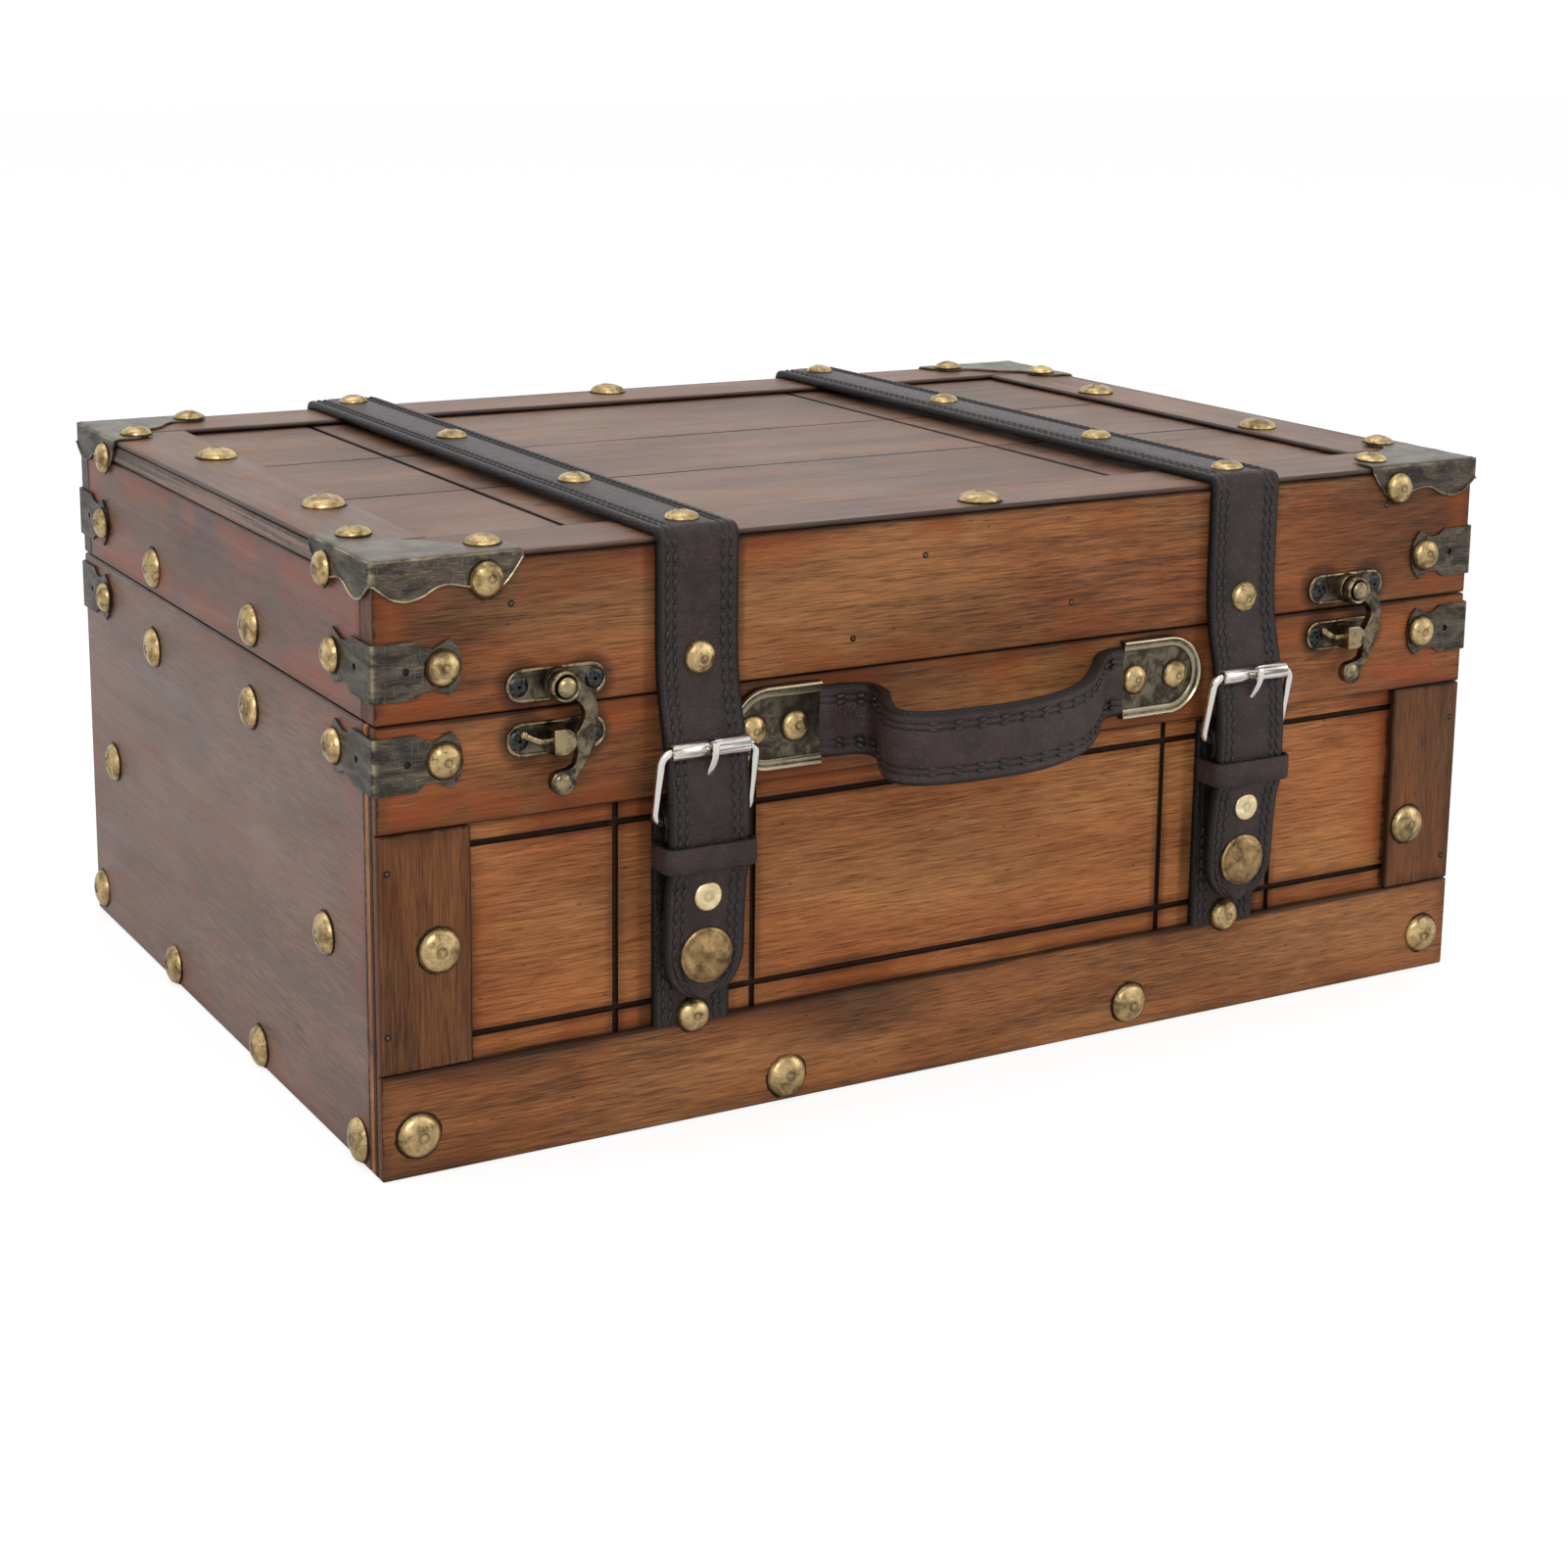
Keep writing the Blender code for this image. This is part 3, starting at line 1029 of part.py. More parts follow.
def add_latch_plate(label, across):
    """The plate on the lid, with a boss and the post that the hook turns on."""
    middle = front_place(across, LATCH_HEIGHT, SEAT_GAP + LATCH_PLATE_SHEET / 2)
    outline = obround(LATCH_PLATE_LENGTH, LATCH_PLATE_HEIGHT)
    flat = plate([outline], LATCH_PLATE_SHEET, facing(middle, RIGHT, UP))
    piece = add_part(label + "_latch_plate", flat, "latch_bronze")
    face = SEAT_GAP + LATCH_PLATE_SHEET
    fuse(piece, latch_screws(front_place(across, LATCH_HEIGHT, face)), "screws")
    boss_top = HOOK_OUT - SEAT_GAP
    head_low = HOOK_OUT + HOOK_THICKNESS + SEAT_GAP
    inward, upward = LATCH_HEAD_SHARES
    profile = [(0, face - SINK), (LATCH_BOSS_RADIUS, face - SINK), (LATCH_BOSS_RADIUS, boss_top),
               (LATCH_POST_RADIUS, boss_top), (LATCH_POST_RADIUS, head_low), (LATCH_HEAD_RADIUS, head_low),
               (LATCH_HEAD_RADIUS * inward, head_low + LATCH_HEAD_HEIGHT * upward),
               (0, head_low + LATCH_HEAD_HEIGHT)]
    fuse(piece, turned(profile, facing(front_place(across, LATCH_HEIGHT), RIGHT, UP), LATCH_STEPS), "post")
    return piece


def add_catch_plate(label, across):
    """The plate on the base, with the block that the hook grips and its curved rod."""
    middle = front_place(across, CATCH_HEIGHT, SEAT_GAP + LATCH_PLATE_SHEET / 2)
    outline = obround(LATCH_PLATE_LENGTH, LATCH_PLATE_HEIGHT)
    flat = plate([outline], LATCH_PLATE_SHEET, facing(middle, RIGHT, UP))
    piece = add_part(label + "_catch_plate", flat, "latch_bronze")
    face = SEAT_GAP + LATCH_PLATE_SHEET
    fuse(piece, latch_screws(front_place(across, CATCH_HEIGHT, face)), "screws")
    half_height = CATCH_BLOCK_HEIGHT / 2
    half_width = CATCH_BLOCK_WIDTH / 2
    nose = half_width * CATCH_NOSE_SHARE
    block = [(-half_width, -half_height), (half_width - nose, -half_height)]
    for angle in CATCH_NOSE_ANGLES:
        turn = math.radians(angle)
        block.append((half_width - nose + nose * math.cos(turn), half_height * math.sin(turn)))
    block += [(half_width - nose, half_height), (-half_width, half_height)]
    length = CATCH_BLOCK_OUT - face + SINK
    centre = front_place(across - CATCH_BLOCK_SIDE, CATCH_HEIGHT, CATCH_BLOCK_OUT - length / 2)
    fuse(piece, plate([block], length, facing(centre, RIGHT, UP)), "block")
    start = across - CATCH_BLOCK_SIDE
    points = [(start, CATCH_HEIGHT, CATCH_ROD_OUT)]
    end = start - half_width
    points += [(end - CATCH_ROD_REACH * reach, CATCH_HEIGHT + CATCH_ROD_RISE * rise, CATCH_ROD_OUT)
               for reach, rise in CATCH_ROD_SHARES]
    route = [front_place(*point) for point in smooth_route(points, CATCH_ROD_STEPS)]
    fuse(piece, tube(route, CATCH_ROD_WIRE), "rod")
    return piece


def add_hook(label, across):
    """A cast hook: an eye on the post, a swan neck round the block, and a flattened ball."""
    outer = [(x * HOOK_REACH, z * HOOK_REACH) for x, z in HOOK_OUTER_SHARES]
    inner = [(x * HOOK_REACH, z * HOOK_REACH) for x, z in HOOK_INNER_SHARES]
    eye = arc((0, 0), HOOK_EYE_RADIUS, HOOK_EYE_START, HOOK_EYE_END, HOOK_EYE_STEPS)
    outline = eye + smooth_route(outer, HOOK_ROUTE_STEPS) + smooth_route(inner, HOOK_ROUTE_STEPS)
    bore = arc((0, 0), HOOK_BORE_RADIUS, 0, 360, TACK_STEPS)[:-1]
    middle = front_place(across, LATCH_HEIGHT, HOOK_OUT + HOOK_THICKNESS / 2)
    neck = plate([outline, bore], HOOK_THICKNESS, facing(middle, RIGHT, UP))
    piece = add_part(label + "_latch_hook", neck, "latch_bronze")
    flat = HOOK_BALL_RADIUS * HOOK_BALL_FLATNESS_SHARE
    place = front_place(across + HOOK_REACH * HOOK_BALL_SIDE_SHARE, LATCH_HEIGHT - HOOK_REACH,
                        HOOK_OUT + HOOK_THICKNESS / 2)
    ball = bmesh.new()
    bmesh.ops.create_uvsphere(ball, u_segments=TACK_STEPS, v_segments=HOOK_BALL_RINGS, radius=1)
    bmesh.ops.scale(ball, vec=(HOOK_BALL_RADIUS, flat, HOOK_BALL_RADIUS), verts=ball.verts)
    bmesh.ops.translate(ball, vec=place, verts=ball.verts)
    fuse(piece, ball, "ball")
    return piece


def cap_outline(inset, open_side=0):
    """A handle cap from the front: a half-round outer end at the left, cut off at the right."""
    radius = CAP_HEIGHT / 2 - inset
    centre = CAP_HEIGHT / 2 - CAP_LENGTH
    return arc((centre, 0), radius, 90, 270, CAP_ROUND_STEPS) + [(open_side, -radius), (open_side, radius)]


def add_handle_cap(label, side, across, rivet_insets):
    """A pressed D-shaped cap over one end of the grip, with a rolled rim and two rivets."""
    span = -side * RIGHT
    place = front_place(across, CAP_MIDDLE_HEIGHT)

    def layer(inset, low, high, open_side=0):
        centre = place + (low + high) / 2 * -BACK
        return plate([cap_outline(inset, open_side)], high - low, facing(centre, span, UP))

    piece = add_part(label + "_handle_cap", layer(0, SEAT_GAP, CAP_PROUD), "latch_bronze")
    floor = CAP_PROUD - CAP_RIM_STEP
    cut(piece, layer(CAP_RIM_WIDTH, floor, CAP_PROUD + OVERRUN, OVERRUN), "dished_face")
    cut(piece, layer(CAP_WALL, SEAT_GAP - OVERRUN, floor - CAP_SHEET, OVERRUN), "hollow")
    rivets = []
    for inset in rivet_insets:
        spot = place - inset * span + floor * -BACK
        rivets.append(dome(CAP_RIVET_RADIUS, CAP_RIVET_DOME, TACK_RIM, facing(spot, RIGHT, UP), TACK_STEPS))
    fuse(piece, gather(rivets), "rivets")
    return piece


def add_grip():
    """The leather grip: two thin tongues under the caps, and a bowed, thicker middle."""
    left_cap = CAP_INNER_OFFSETS[0] + SEAT_GAP
    right_cap = CAP_INNER_OFFSETS[1] - SEAT_GAP
    start = left_cap + GRIP_STEP_LENGTH
    span = right_cap - GRIP_STEP_LENGTH - start
    base_out = SEAT_GAP + GRIP_THICKNESS / 2
    tongue_out = SEAT_GAP + GRIP_TONGUE_THICKNESS / 2
    points = [(start + span * along, -HALF_DEPTH - base_out - GRIP_BOW * bow)
              for along, bow in GRIP_ROUTE_SHARES]
    bow = smooth_route(points, GRIP_STEPS)
    tongue_y = -HALF_DEPTH - tongue_out
    left = [(left_cap - GRIP_TONGUE_LENGTH, tongue_y), (left_cap, tongue_y)]
    right = [(right_cap, tongue_y), (right_cap + GRIP_TONGUE_LENGTH, tongue_y)]
    route = left + bow + right
    tongues = [GRIP_TONGUE_THICKNESS] * 2
    outline = ribbon(route, tongues + [GRIP_THICKNESS] * len(bow) + tongues)
    band = plate([outline], GRIP_WIDTH, facing(Vector((0, 0, CAP_MIDDLE_HEIGHT)), RIGHT, BACK))
    return add_part("handle_grip", band, "grip_leather")


def leaf_block(middle, rise, span, reach):
    """A flat block of hinge sheet, given by its stretch of X and its stretch up or down."""
    left, right = span
    near, far = reach
    back_y = HALF_DEPTH + SEAT_GAP
    heights = sorted((middle.z + rise * near, middle.z + rise * far))
    return box((middle.x + left, back_y, heights[0]), (middle.x + right, back_y + HINGE_SHEET, heights[1]))


def knuckle(middle, low, high, radius):
    """A solid cylinder on the hinge axis, between two places along it."""
    profile = [(0, low), (radius, low), (radius, high), (0, high)]
    return turned(profile, facing(middle, BACK, UP), HINGE_STEPS)


def hinge_screws(middle, rise):
    heads = []
    for side in (-1, 1):
        reach = HINGE_LEAF * HINGE_SCREW_REACH_SHARE
        spot = middle + Vector((side * HINGE_WIDTH * HINGE_SCREW_SHARE, 0, rise * reach))
        spot.y = HALF_DEPTH + SEAT_GAP + HINGE_SHEET
        heads.append(dome(HINGE_SCREW_RADIUS, HINGE_SCREW_HEIGHT, TACK_RIM, facing(spot, -RIGHT, UP),
                          HINGE_SCREW_STEPS))
    return gather(heads)


def add_hinges():
    """Two butt hinges on the back. The base leaf carries the pin."""
    lid_pieces = []
    half = HINGE_WIDTH / 2
    inner = HINGE_WIDTH * HINGE_KNUCKLE_SHARE / 2
    for side, label in ((-1, "left"), (1, "right")):
        middle = Vector((side * HINGE_OFFSET, HALF_DEPTH + HINGE_AXIS_OUT, SEAM_HEIGHT))
        sheet_span = (HINGE_GAP - half, half - HINGE_GAP)
        sheet_reach = (HINGE_BARREL_RADIUS + HINGE_GAP, HINGE_LEAF)
        tab_reach = (HINGE_GAP, sheet_reach[0] + SINK)
        sheet = leaf_block(middle, -1, sheet_span, sheet_reach)
        base = add_part(label + "_hinge_base_leaf", sheet, "aged_brass")
        tabs = [leaf_block(middle, -1, (sheet_span[0] + HINGE_GAP, -inner - HINGE_GAP), tab_reach),
                leaf_block(middle, -1, (inner + HINGE_GAP, sheet_span[1] - HINGE_GAP), tab_reach)]
        fuse(base, gather(tabs), "tabs")
        ends = [knuckle(middle, -half, -inner - HINGE_GAP / 2, HINGE_BARREL_RADIUS),
                knuckle(middle, inner + HINGE_GAP / 2, half, HINGE_BARREL_RADIUS)]
        fuse(base, gather(ends), "knuckles")
        fuse(base, knuckle(middle, SINK - half, half - SINK, HINGE_PIN_RADIUS), "pin")
        fuse(base, hinge_screws(middle, -1), "screws")
        sheet = leaf_block(middle, 1, sheet_span, sheet_reach)
        lid = add_part(label + "_hinge_lid_leaf", sheet, "aged_brass")
        fuse(lid, leaf_block(middle, 1, (HINGE_GAP - inner, inner - HINGE_GAP), tab_reach), "tab")
        reach = inner - HINGE_GAP / 2
        fuse(lid, knuckle(middle, -reach, reach, HINGE_BARREL_RADIUS), "knuckle")
        cut(lid, knuckle(middle, -half, half, HINGE_BORE_RADIUS), "bore")
        fuse(lid, hinge_screws(middle, 1), "screws")
        lid_pieces.append(lid)
    return lid_pieces


def axis_place(axis):
    """Where an axis stands in the trunk's own frame."""
    place = axis.location.copy()
    if axis.parent:
        place += axis_place(axis.parent)
    return place


def add_axis(name, place, parent=None):
    """An empty on a joint's axis, which carries the pieces that turn about it."""
    axis = bpy.data.objects.new(name, None)
    axis.empty_display_size = TACK_RADIUS
    axis.location = place
    if parent:
        axis.parent = parent
        axis.location = place - axis_place(parent)
    main_parts.objects.link(axis)
    return axis


def carry(axis, pieces):
    """Hang pieces on an axis, and leave them where they are."""
    for piece in pieces:
        piece.parent = axis
        piece.matrix_parent_inverse = Matrix.Translation(-axis_place(axis))


def add_base():
    """The fixed half of the trunk."""
    add_base_boards()
    add_base_sides()
    add_front_frame()
    add_brackets("base", BASE_HEIGHT - BASE_BRACKET_DROP)
    add_grip()
    add_handle_cap("left", -1, CAP_INNER_OFFSETS[0], CAP_RIVET_INSETS[0])
    add_handle_cap("right", 1, CAP_INNER_OFFSETS[1], CAP_RIVET_INSETS[1])


def add_strap(side, label, front_rise, lid_axis):
    """One strap with its buckle: fixed to the base, fixed to the lid, and hanging between."""
    middle = side * STRAP_OFFSET
    add_base_strap(label, middle)
    carry(lid_axis, [add_lid_strap(label, middle, front_rise)])
    tail_axis = add_axis(label + "_strap_axis", front_place(middle, SEAM_HEIGHT, STRAP_OUT), lid_axis)
    carry(tail_axis, [add_tail(label, middle), add_snap_cap(label, middle), add_buckle_frame(label, middle),
                      add_keeper(label, middle)])
    roller_place = front_place(middle, ROLLER_HEIGHT, ROLLER_OUT)
    carry(add_axis(label + "_roller_axis", roller_place, tail_axis), [add_roller(label, middle)])
    prong_place = front_place(middle, HEEL_HEIGHT, HEEL_OUT)
    carry(add_axis(label + "_prong_axis", prong_place, tail_axis), [add_prong(label, middle)])


def add_latch(label, across, lid_axis):
    """One hook latch: a plate on each side of the seam, and the hook that joins them."""
    add_catch_plate(label, across)
    carry(lid_axis, [add_latch_plate(label, across)])
    hook_place = front_place(across, LATCH_HEIGHT, HOOK_OUT + HOOK_THICKNESS / 2)
    carry(add_axis(label + "_hook_axis", hook_place, lid_axis), [add_hook(label, across)])


def build():
    """Make the trunk, with every moving piece hung on the axis of its joint."""
    global main_parts, cutting_tools
    clear_scene()
    main_parts = new_collection("storage_trunk")
    cutting_tools = new_collection("storage_trunk_cutters")
    add_base()
    lid_axis = add_axis("lid_axis", Vector((0, HALF_DEPTH + HINGE_AXIS_OUT, SEAM_HEIGHT)))
    carry(lid_axis, add_lid_walls() + add_lid_top() + add_guards())
    carry(lid_axis, add_brackets("lid", LID_LOW + LID_BRACKET_RISE) + add_hinges())
    for side, label, front_rise in zip((-1, 1), ("left", "right"), STRAP_FRONT_TACK_RISES):
        add_strap(side, label, front_rise, lid_axis)
    for label, share in zip(("left", "right"), LATCH_OFFSET_SHARES):
        add_latch(label, share * TRUNK_WIDTH, lid_axis)


build()
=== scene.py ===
"""Looks of a wooden storage trunk with two buckled straps, two hook latches and a strap handle.

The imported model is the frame. Its boards and hinges keep their solids and get worked
finishes, while leather, tacks and metal fittings are modelled over them or instead of them.
Lengths are in metres. X runs to the right along the front, Y to the back and Z up.
"""

import math
import random
from contextlib import contextmanager

import bmesh
import bpy
from bpy.props import FloatProperty, FloatVectorProperty, IntProperty, PointerProperty
from mathutils import Matrix, Vector, noise
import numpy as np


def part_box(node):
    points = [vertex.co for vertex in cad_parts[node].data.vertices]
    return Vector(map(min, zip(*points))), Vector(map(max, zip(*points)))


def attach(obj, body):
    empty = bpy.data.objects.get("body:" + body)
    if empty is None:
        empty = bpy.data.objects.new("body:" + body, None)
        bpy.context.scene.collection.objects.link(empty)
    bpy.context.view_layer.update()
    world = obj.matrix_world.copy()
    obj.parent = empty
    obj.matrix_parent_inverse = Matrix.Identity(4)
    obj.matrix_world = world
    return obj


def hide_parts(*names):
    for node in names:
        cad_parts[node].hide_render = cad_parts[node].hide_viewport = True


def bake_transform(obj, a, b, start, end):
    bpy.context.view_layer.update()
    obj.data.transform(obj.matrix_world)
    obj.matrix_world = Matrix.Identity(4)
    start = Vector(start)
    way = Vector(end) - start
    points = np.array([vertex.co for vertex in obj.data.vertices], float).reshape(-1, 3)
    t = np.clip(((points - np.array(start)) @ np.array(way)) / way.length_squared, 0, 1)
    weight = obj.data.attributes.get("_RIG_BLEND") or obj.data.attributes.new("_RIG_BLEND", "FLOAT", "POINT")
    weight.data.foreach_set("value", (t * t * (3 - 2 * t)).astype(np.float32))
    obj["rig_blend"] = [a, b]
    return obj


bl_info = {
    "name": "Wooden Storage Trunk",
    "version": (1, 0, 0),
    "blender": (4, 5, 0),
    "location": "View3D > Sidebar > Trunk",
    "description": "Adds the finishes, the leather and the metal fittings of a strapped trunk",
    "category": "Object",
}

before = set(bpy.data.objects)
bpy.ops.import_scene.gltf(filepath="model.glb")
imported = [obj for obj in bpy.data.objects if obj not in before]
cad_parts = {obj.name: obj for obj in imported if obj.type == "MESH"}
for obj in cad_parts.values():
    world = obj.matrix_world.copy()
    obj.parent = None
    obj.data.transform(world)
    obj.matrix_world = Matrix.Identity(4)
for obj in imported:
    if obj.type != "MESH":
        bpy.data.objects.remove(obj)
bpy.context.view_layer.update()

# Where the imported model's faces are. BOARD_TOP is the top board's, and TOP that of the strips round it
HALF_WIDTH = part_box("base_top_rail")[1].x
HALF_DEPTH = -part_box("base_top_rail")[0].y
RAIL_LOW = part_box("base_top_rail")[0].z
BASE_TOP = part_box("base_top_rail")[1].z
SEAM = BASE_TOP + 0.0002
BOARD_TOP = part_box("lid_front_wall")[1].z
TOP = BOARD_TOP + 0.0017
PANEL_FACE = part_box("base_front_panel")[0].y
STRAP_MIDDLES = tuple(sum(corner.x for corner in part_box(side + "_strap_tail")) / 2
                      for side in ("left", "right"))

# Corner metal and straps: how far they stand off, the sheet's thickness, and the rows of stitches.
# The lift is a share of the leather's thickness, and the thread is the second finish of its piece
SHEET_OUT = 0.0009
SHEET_THICKNESS = 0.0006
STRAP_OUT = 0.0027
STITCH_INSETS = (0.0027, 0.0048)
STITCH_RADIUS = 0.00062
STITCH_LIFT = 0.93
THREAD_SLOT = 1

# The corners: side, end and name
CORNERS = tuple((side, end, end_name + "_" + side_name)
                for end, end_name in ((-1, "front"), (1, "back"))
                for side, side_name in ((-1, "left"), (1, "right")))

# Grooves, measured along the front from the middle, and up from the floor
UPRIGHT_GROOVES = (-0.10885, -0.068425, 0.06545, 0.10605)
LEVEL_GROOVES = (0.0340, 0.0840)
PLANK_LINES = (-0.0294, 0.03099)

# Joints between the boards, from the middle of the trunk
PANEL_END = 0.150
TOP_END = 0.1495
TOP_SIDE = 0.0970

# Darker rings round the latches and the handle's caps, and lines beside the straps
LATCH_STAINS = (-0.1355, -0.1183, 0.1187, 0.1359)
CAP_STAINS = (-0.067, -0.058, 0.055, 0.064)
STRAP_STAIN = 0.0125

# Where the stain fades to raw wood inside the trunk, and to plies at the rim of the top board
INSIDE_WIDTH = (0.1690, 0.1696)
INSIDE_TOP = (0.1512, 0.1516)
INSIDE_FRONT = (-0.1156, -0.1150)
INSIDE_BACK = (0.1161, 0.1167)
PLY_WIDTH = (0.165, 0.170)
PLY_DEPTH = (0.108, 0.112)

# Fittings on the front: places from the middle, heights, and bars as stand-off and height
LATCH_MIDDLES = (-0.12691, 0.127295)
LATCH_HEIGHT = 0.1237
CATCH_HEIGHT = 0.1099
HANDLE_HEIGHT = 0.1047
HEEL_BAR = (0.0046, 0.0845)
UPPER_BAR = (0.0087, 0.1038)
TAIL_SEAM = 0.1175
RIVET_HEIGHT = 0.0643
STUD_HEIGHT = 0.0482

# Tacks. Rows hold the two places on a face, and the face is named by where the row is used
RAIL_TACKS = ((-0.1652, 0.0110), (-0.05915, 0.0072), (0.0546, 0.0080), (0.1652, 0.0114))
STILE_TACKS = ((-0.1588, 0.05875), (0.1569, 0.0473))
SIDE_TACKS = ((-0.0326, 0.1022), (0.0522, 0.1009), (-0.0865, 0.0547), (0.0975, 0.0547),
              (-0.1078, 0.0064), (-0.0333, 0.0059), (0.0419, 0.0059), (0.1152, 0.0086))
LID_SIDE_TACKS = ((-0.0345, 0.1253), (0.0502, 0.1253))
BRACKET_FRONT_TACK = 0.1573
BRACKET_SIDE_TACK = 0.0976
BRACKET_HEIGHTS = (0.1074, 0.1307)
GUARD_TACK = 0.0295
GUARD_TACK_DROP = 0.0062
GUARD_TOP_TACK = (0.0325, 0.0082)
STRIP_TACKS = ((0.0035, -0.1151), (0.0056, 0.1164), (-0.1572, -0.0439), (-0.1572, 0.0431),
               (0.1572, -0.0439), (0.1572, 0.0431))
STRAP_TOP_TACKS = (-0.1155, -0.0524, 0.0326, 0.1134)
STRAP_FRONT_TACKS = (0.1264, 0.1250)
STRAP_BACK_TACK = 0.1355
BASE_STRAP_TACK = 0.0295
TOP_TACK_HEIGHT = 0.0024

# Brad nails, whose small heads show on the front
BASE_NAILS = ((-0.1724, 0.0803), (-0.1729, 0.0381), (0.1722, 0.0790), (0.1718, 0.0352))
LID_NAILS = ((-0.1386, 0.1447), (-0.0182, 0.1460), (-0.0403, 0.1256), (0.0299, 0.1285), (0.1422, 0.1466))

RIGHT = Vector((1, 0, 0))
BACK = Vector((0, 1, 0))
UP = Vector((0, 0, 1))


def colour_setting(name, description, default):
    """A setting that holds a colour."""
    return FloatVectorProperty(name=name, description=description, subtype="COLOR", size=3, min=0, max=1,
                               default=default)


def length_setting(name, description, default, least, most):
    """A setting that holds a length in metres."""
    return FloatProperty(name=name, description=description, unit="LENGTH", default=default, min=least,
                         max=most)


def angle_setting(name, description, degrees):
    """A setting that holds an angle."""
    return FloatProperty(name=name, description=description, subtype="ANGLE", default=math.radians(degrees))


def power_setting(name, description, default):
    """A setting that holds the power of a lamp in watts."""
    return FloatProperty(name=name, description=description, unit="POWER", default=default, min=0)


class TrunkColours(bpy.types.PropertyGroup):
    """Colours of the wood, the leather and the metals."""

    front_pale: colour_setting("Front Pale", "Lighter stain of the front boards", (0.395, 0.168, 0.060))
    front_dark: colour_setting("Front Dark", "Darker clouds in the front boards", (0.112, 0.047, 0.020))
    front_red: colour_setting("Front Red", "Reddish stain near the seams", (0.270, 0.056, 0.012))
    panel_pale: colour_setting("Panel Pale", "Lighter stain of the recessed panel", (0.555, 0.238, 0.082))
    panel_dark: colour_setting("Panel Dark", "Darker stain of the recessed panel", (0.185, 0.066, 0.021))
    side_pale: colour_setting("Side Pale", "Lighter stain of the side boards", (0.215, 0.120, 0.084))
    side_dark: colour_setting("Side Dark", "Darker stain of the side boards", (0.100, 0.050, 0.036))
    top_pale: colour_setting("Top Pale", "Lighter stain of the top", (0.235, 0.122, 0.064))
    top_dark: colour_setting("Top Dark", "Darker stain of the top", (0.080, 0.038, 0.020))
    raw_wood: colour_setting("Raw Wood", "Unstained wood inside the trunk", (0.420, 0.250, 0.130))
    stain_edge: colour_setting("Stain Edge", "Dark stain along edges and in grooves", (0.016, 0.008, 0.005))
    leather: colour_setting("Leather", "Dark brown of the straps and the grip", (0.036, 0.0225, 0.0212))
    leather_edge: colour_setting("Leather Edge", "Painted edges of the leather", (0.0050, 0.0042, 0.0045))
    brass: colour_setting("Brass", "Bright places on the antique brass", (0.500, 0.360, 0.175))
    brass_dark: colour_setting("Brass Dark", "Tarnish on the antique brass", (0.075, 0.046, 0.020))
    steel: colour_setting("Steel", "Blackened steel of guards and brackets", (0.100, 0.087, 0.073))
    bronze: colour_setting("Bronze", "Dark bronze of the latches and caps", (0.150, 0.125, 0.090))
    nickel: colour_setting("Nickel", "Bright plating of the buckles", (0.450, 0.425, 0.395))


class TrunkSizes(bpy.types.PropertyGroup):
    """Sizes of the fittings that the scene models."""

    tack_radius: length_setting("Tack Radius", "Radius of a dome tack's head on the boards",
                                0.00585, 0.003, 0.01)
    small_tack_radius: length_setting("Small Tack Radius", "Radius of a tack on leather or metal",
                                      0.0046, 0.003, 0.01)
    tack_height: length_setting("Tack Height", "Height of a dome tack's head", 0.0029, 0.001, 0.006)
    tack_steps: IntProperty(name="Tack Steps", description="Sides of a dome tack", default=28, min=8, max=64)
    strap_width: length_setting("Strap Width", "Width of the leather straps", 0.0234, 0.01, 0.05)
    strap_thickness: length_setting("Strap Thickness", "Thickness of the leather straps",
                                    0.0024, 0.001, 0.005)
    stitch_pitch: length_setting("Stitch Pitch", "Distance from one stitch to the next",
                                 0.0033, 0.001, 0.01)
    wire: length_setting("Buckle Wire", "Thickness of the buckle's wire", 0.0024, 0.001, 0.005)


class TrunkStage(bpy.types.PropertyGroup):
    """Camera and lamps."""

    lens: FloatProperty(name="Lens", description="Focal length of the camera", unit="CAMERA",
                        default=64.405, min=10, max=300)
    place: FloatVectorProperty(name="Camera Place", description="Where the camera stands",
                               subtype="TRANSLATION", unit="LENGTH", size=3,
                               default=(-0.415493, -0.737863, 0.291973))
    azimuth: angle_setting("Azimuth", "How far the camera stands round to the left", 29.56)
    elevation: angle_setting("Elevation", "How far the camera looks down", 11.945)
    roll: angle_setting("Roll", "How far the camera leans", 0.5925)
    shift_x: FloatProperty(name="Shift X", description="Sideways framing of the view", default=0.01075)
    shift_y: FloatProperty(name="Shift Y", description="Upward framing of the view", default=-0.1265)
    key_power: power_setting("Key Power", "Power of the large lamp at the front", 13.0)
    fill_power: power_setting("Fill Power", "Power of the lamp at the right", 5.0)
    top_power: power_setting("Top Power", "Power of the lamp above", 7.0)


class TrunkSettings(bpy.types.PropertyGroup):
    """All settings of the trunk."""

    colours: PointerProperty(type=TrunkColours, name="Colours", description="Colours of the finishes")
    sizes: PointerProperty(type=TrunkSizes, name="Sizes", description="Sizes of the fittings")
    stage: PointerProperty(type=TrunkStage, name="Stage", description="Camera and lamps")


def settings():
    """The settings that the pieces and finishes read."""
    return bpy.context.scene.storage_trunk


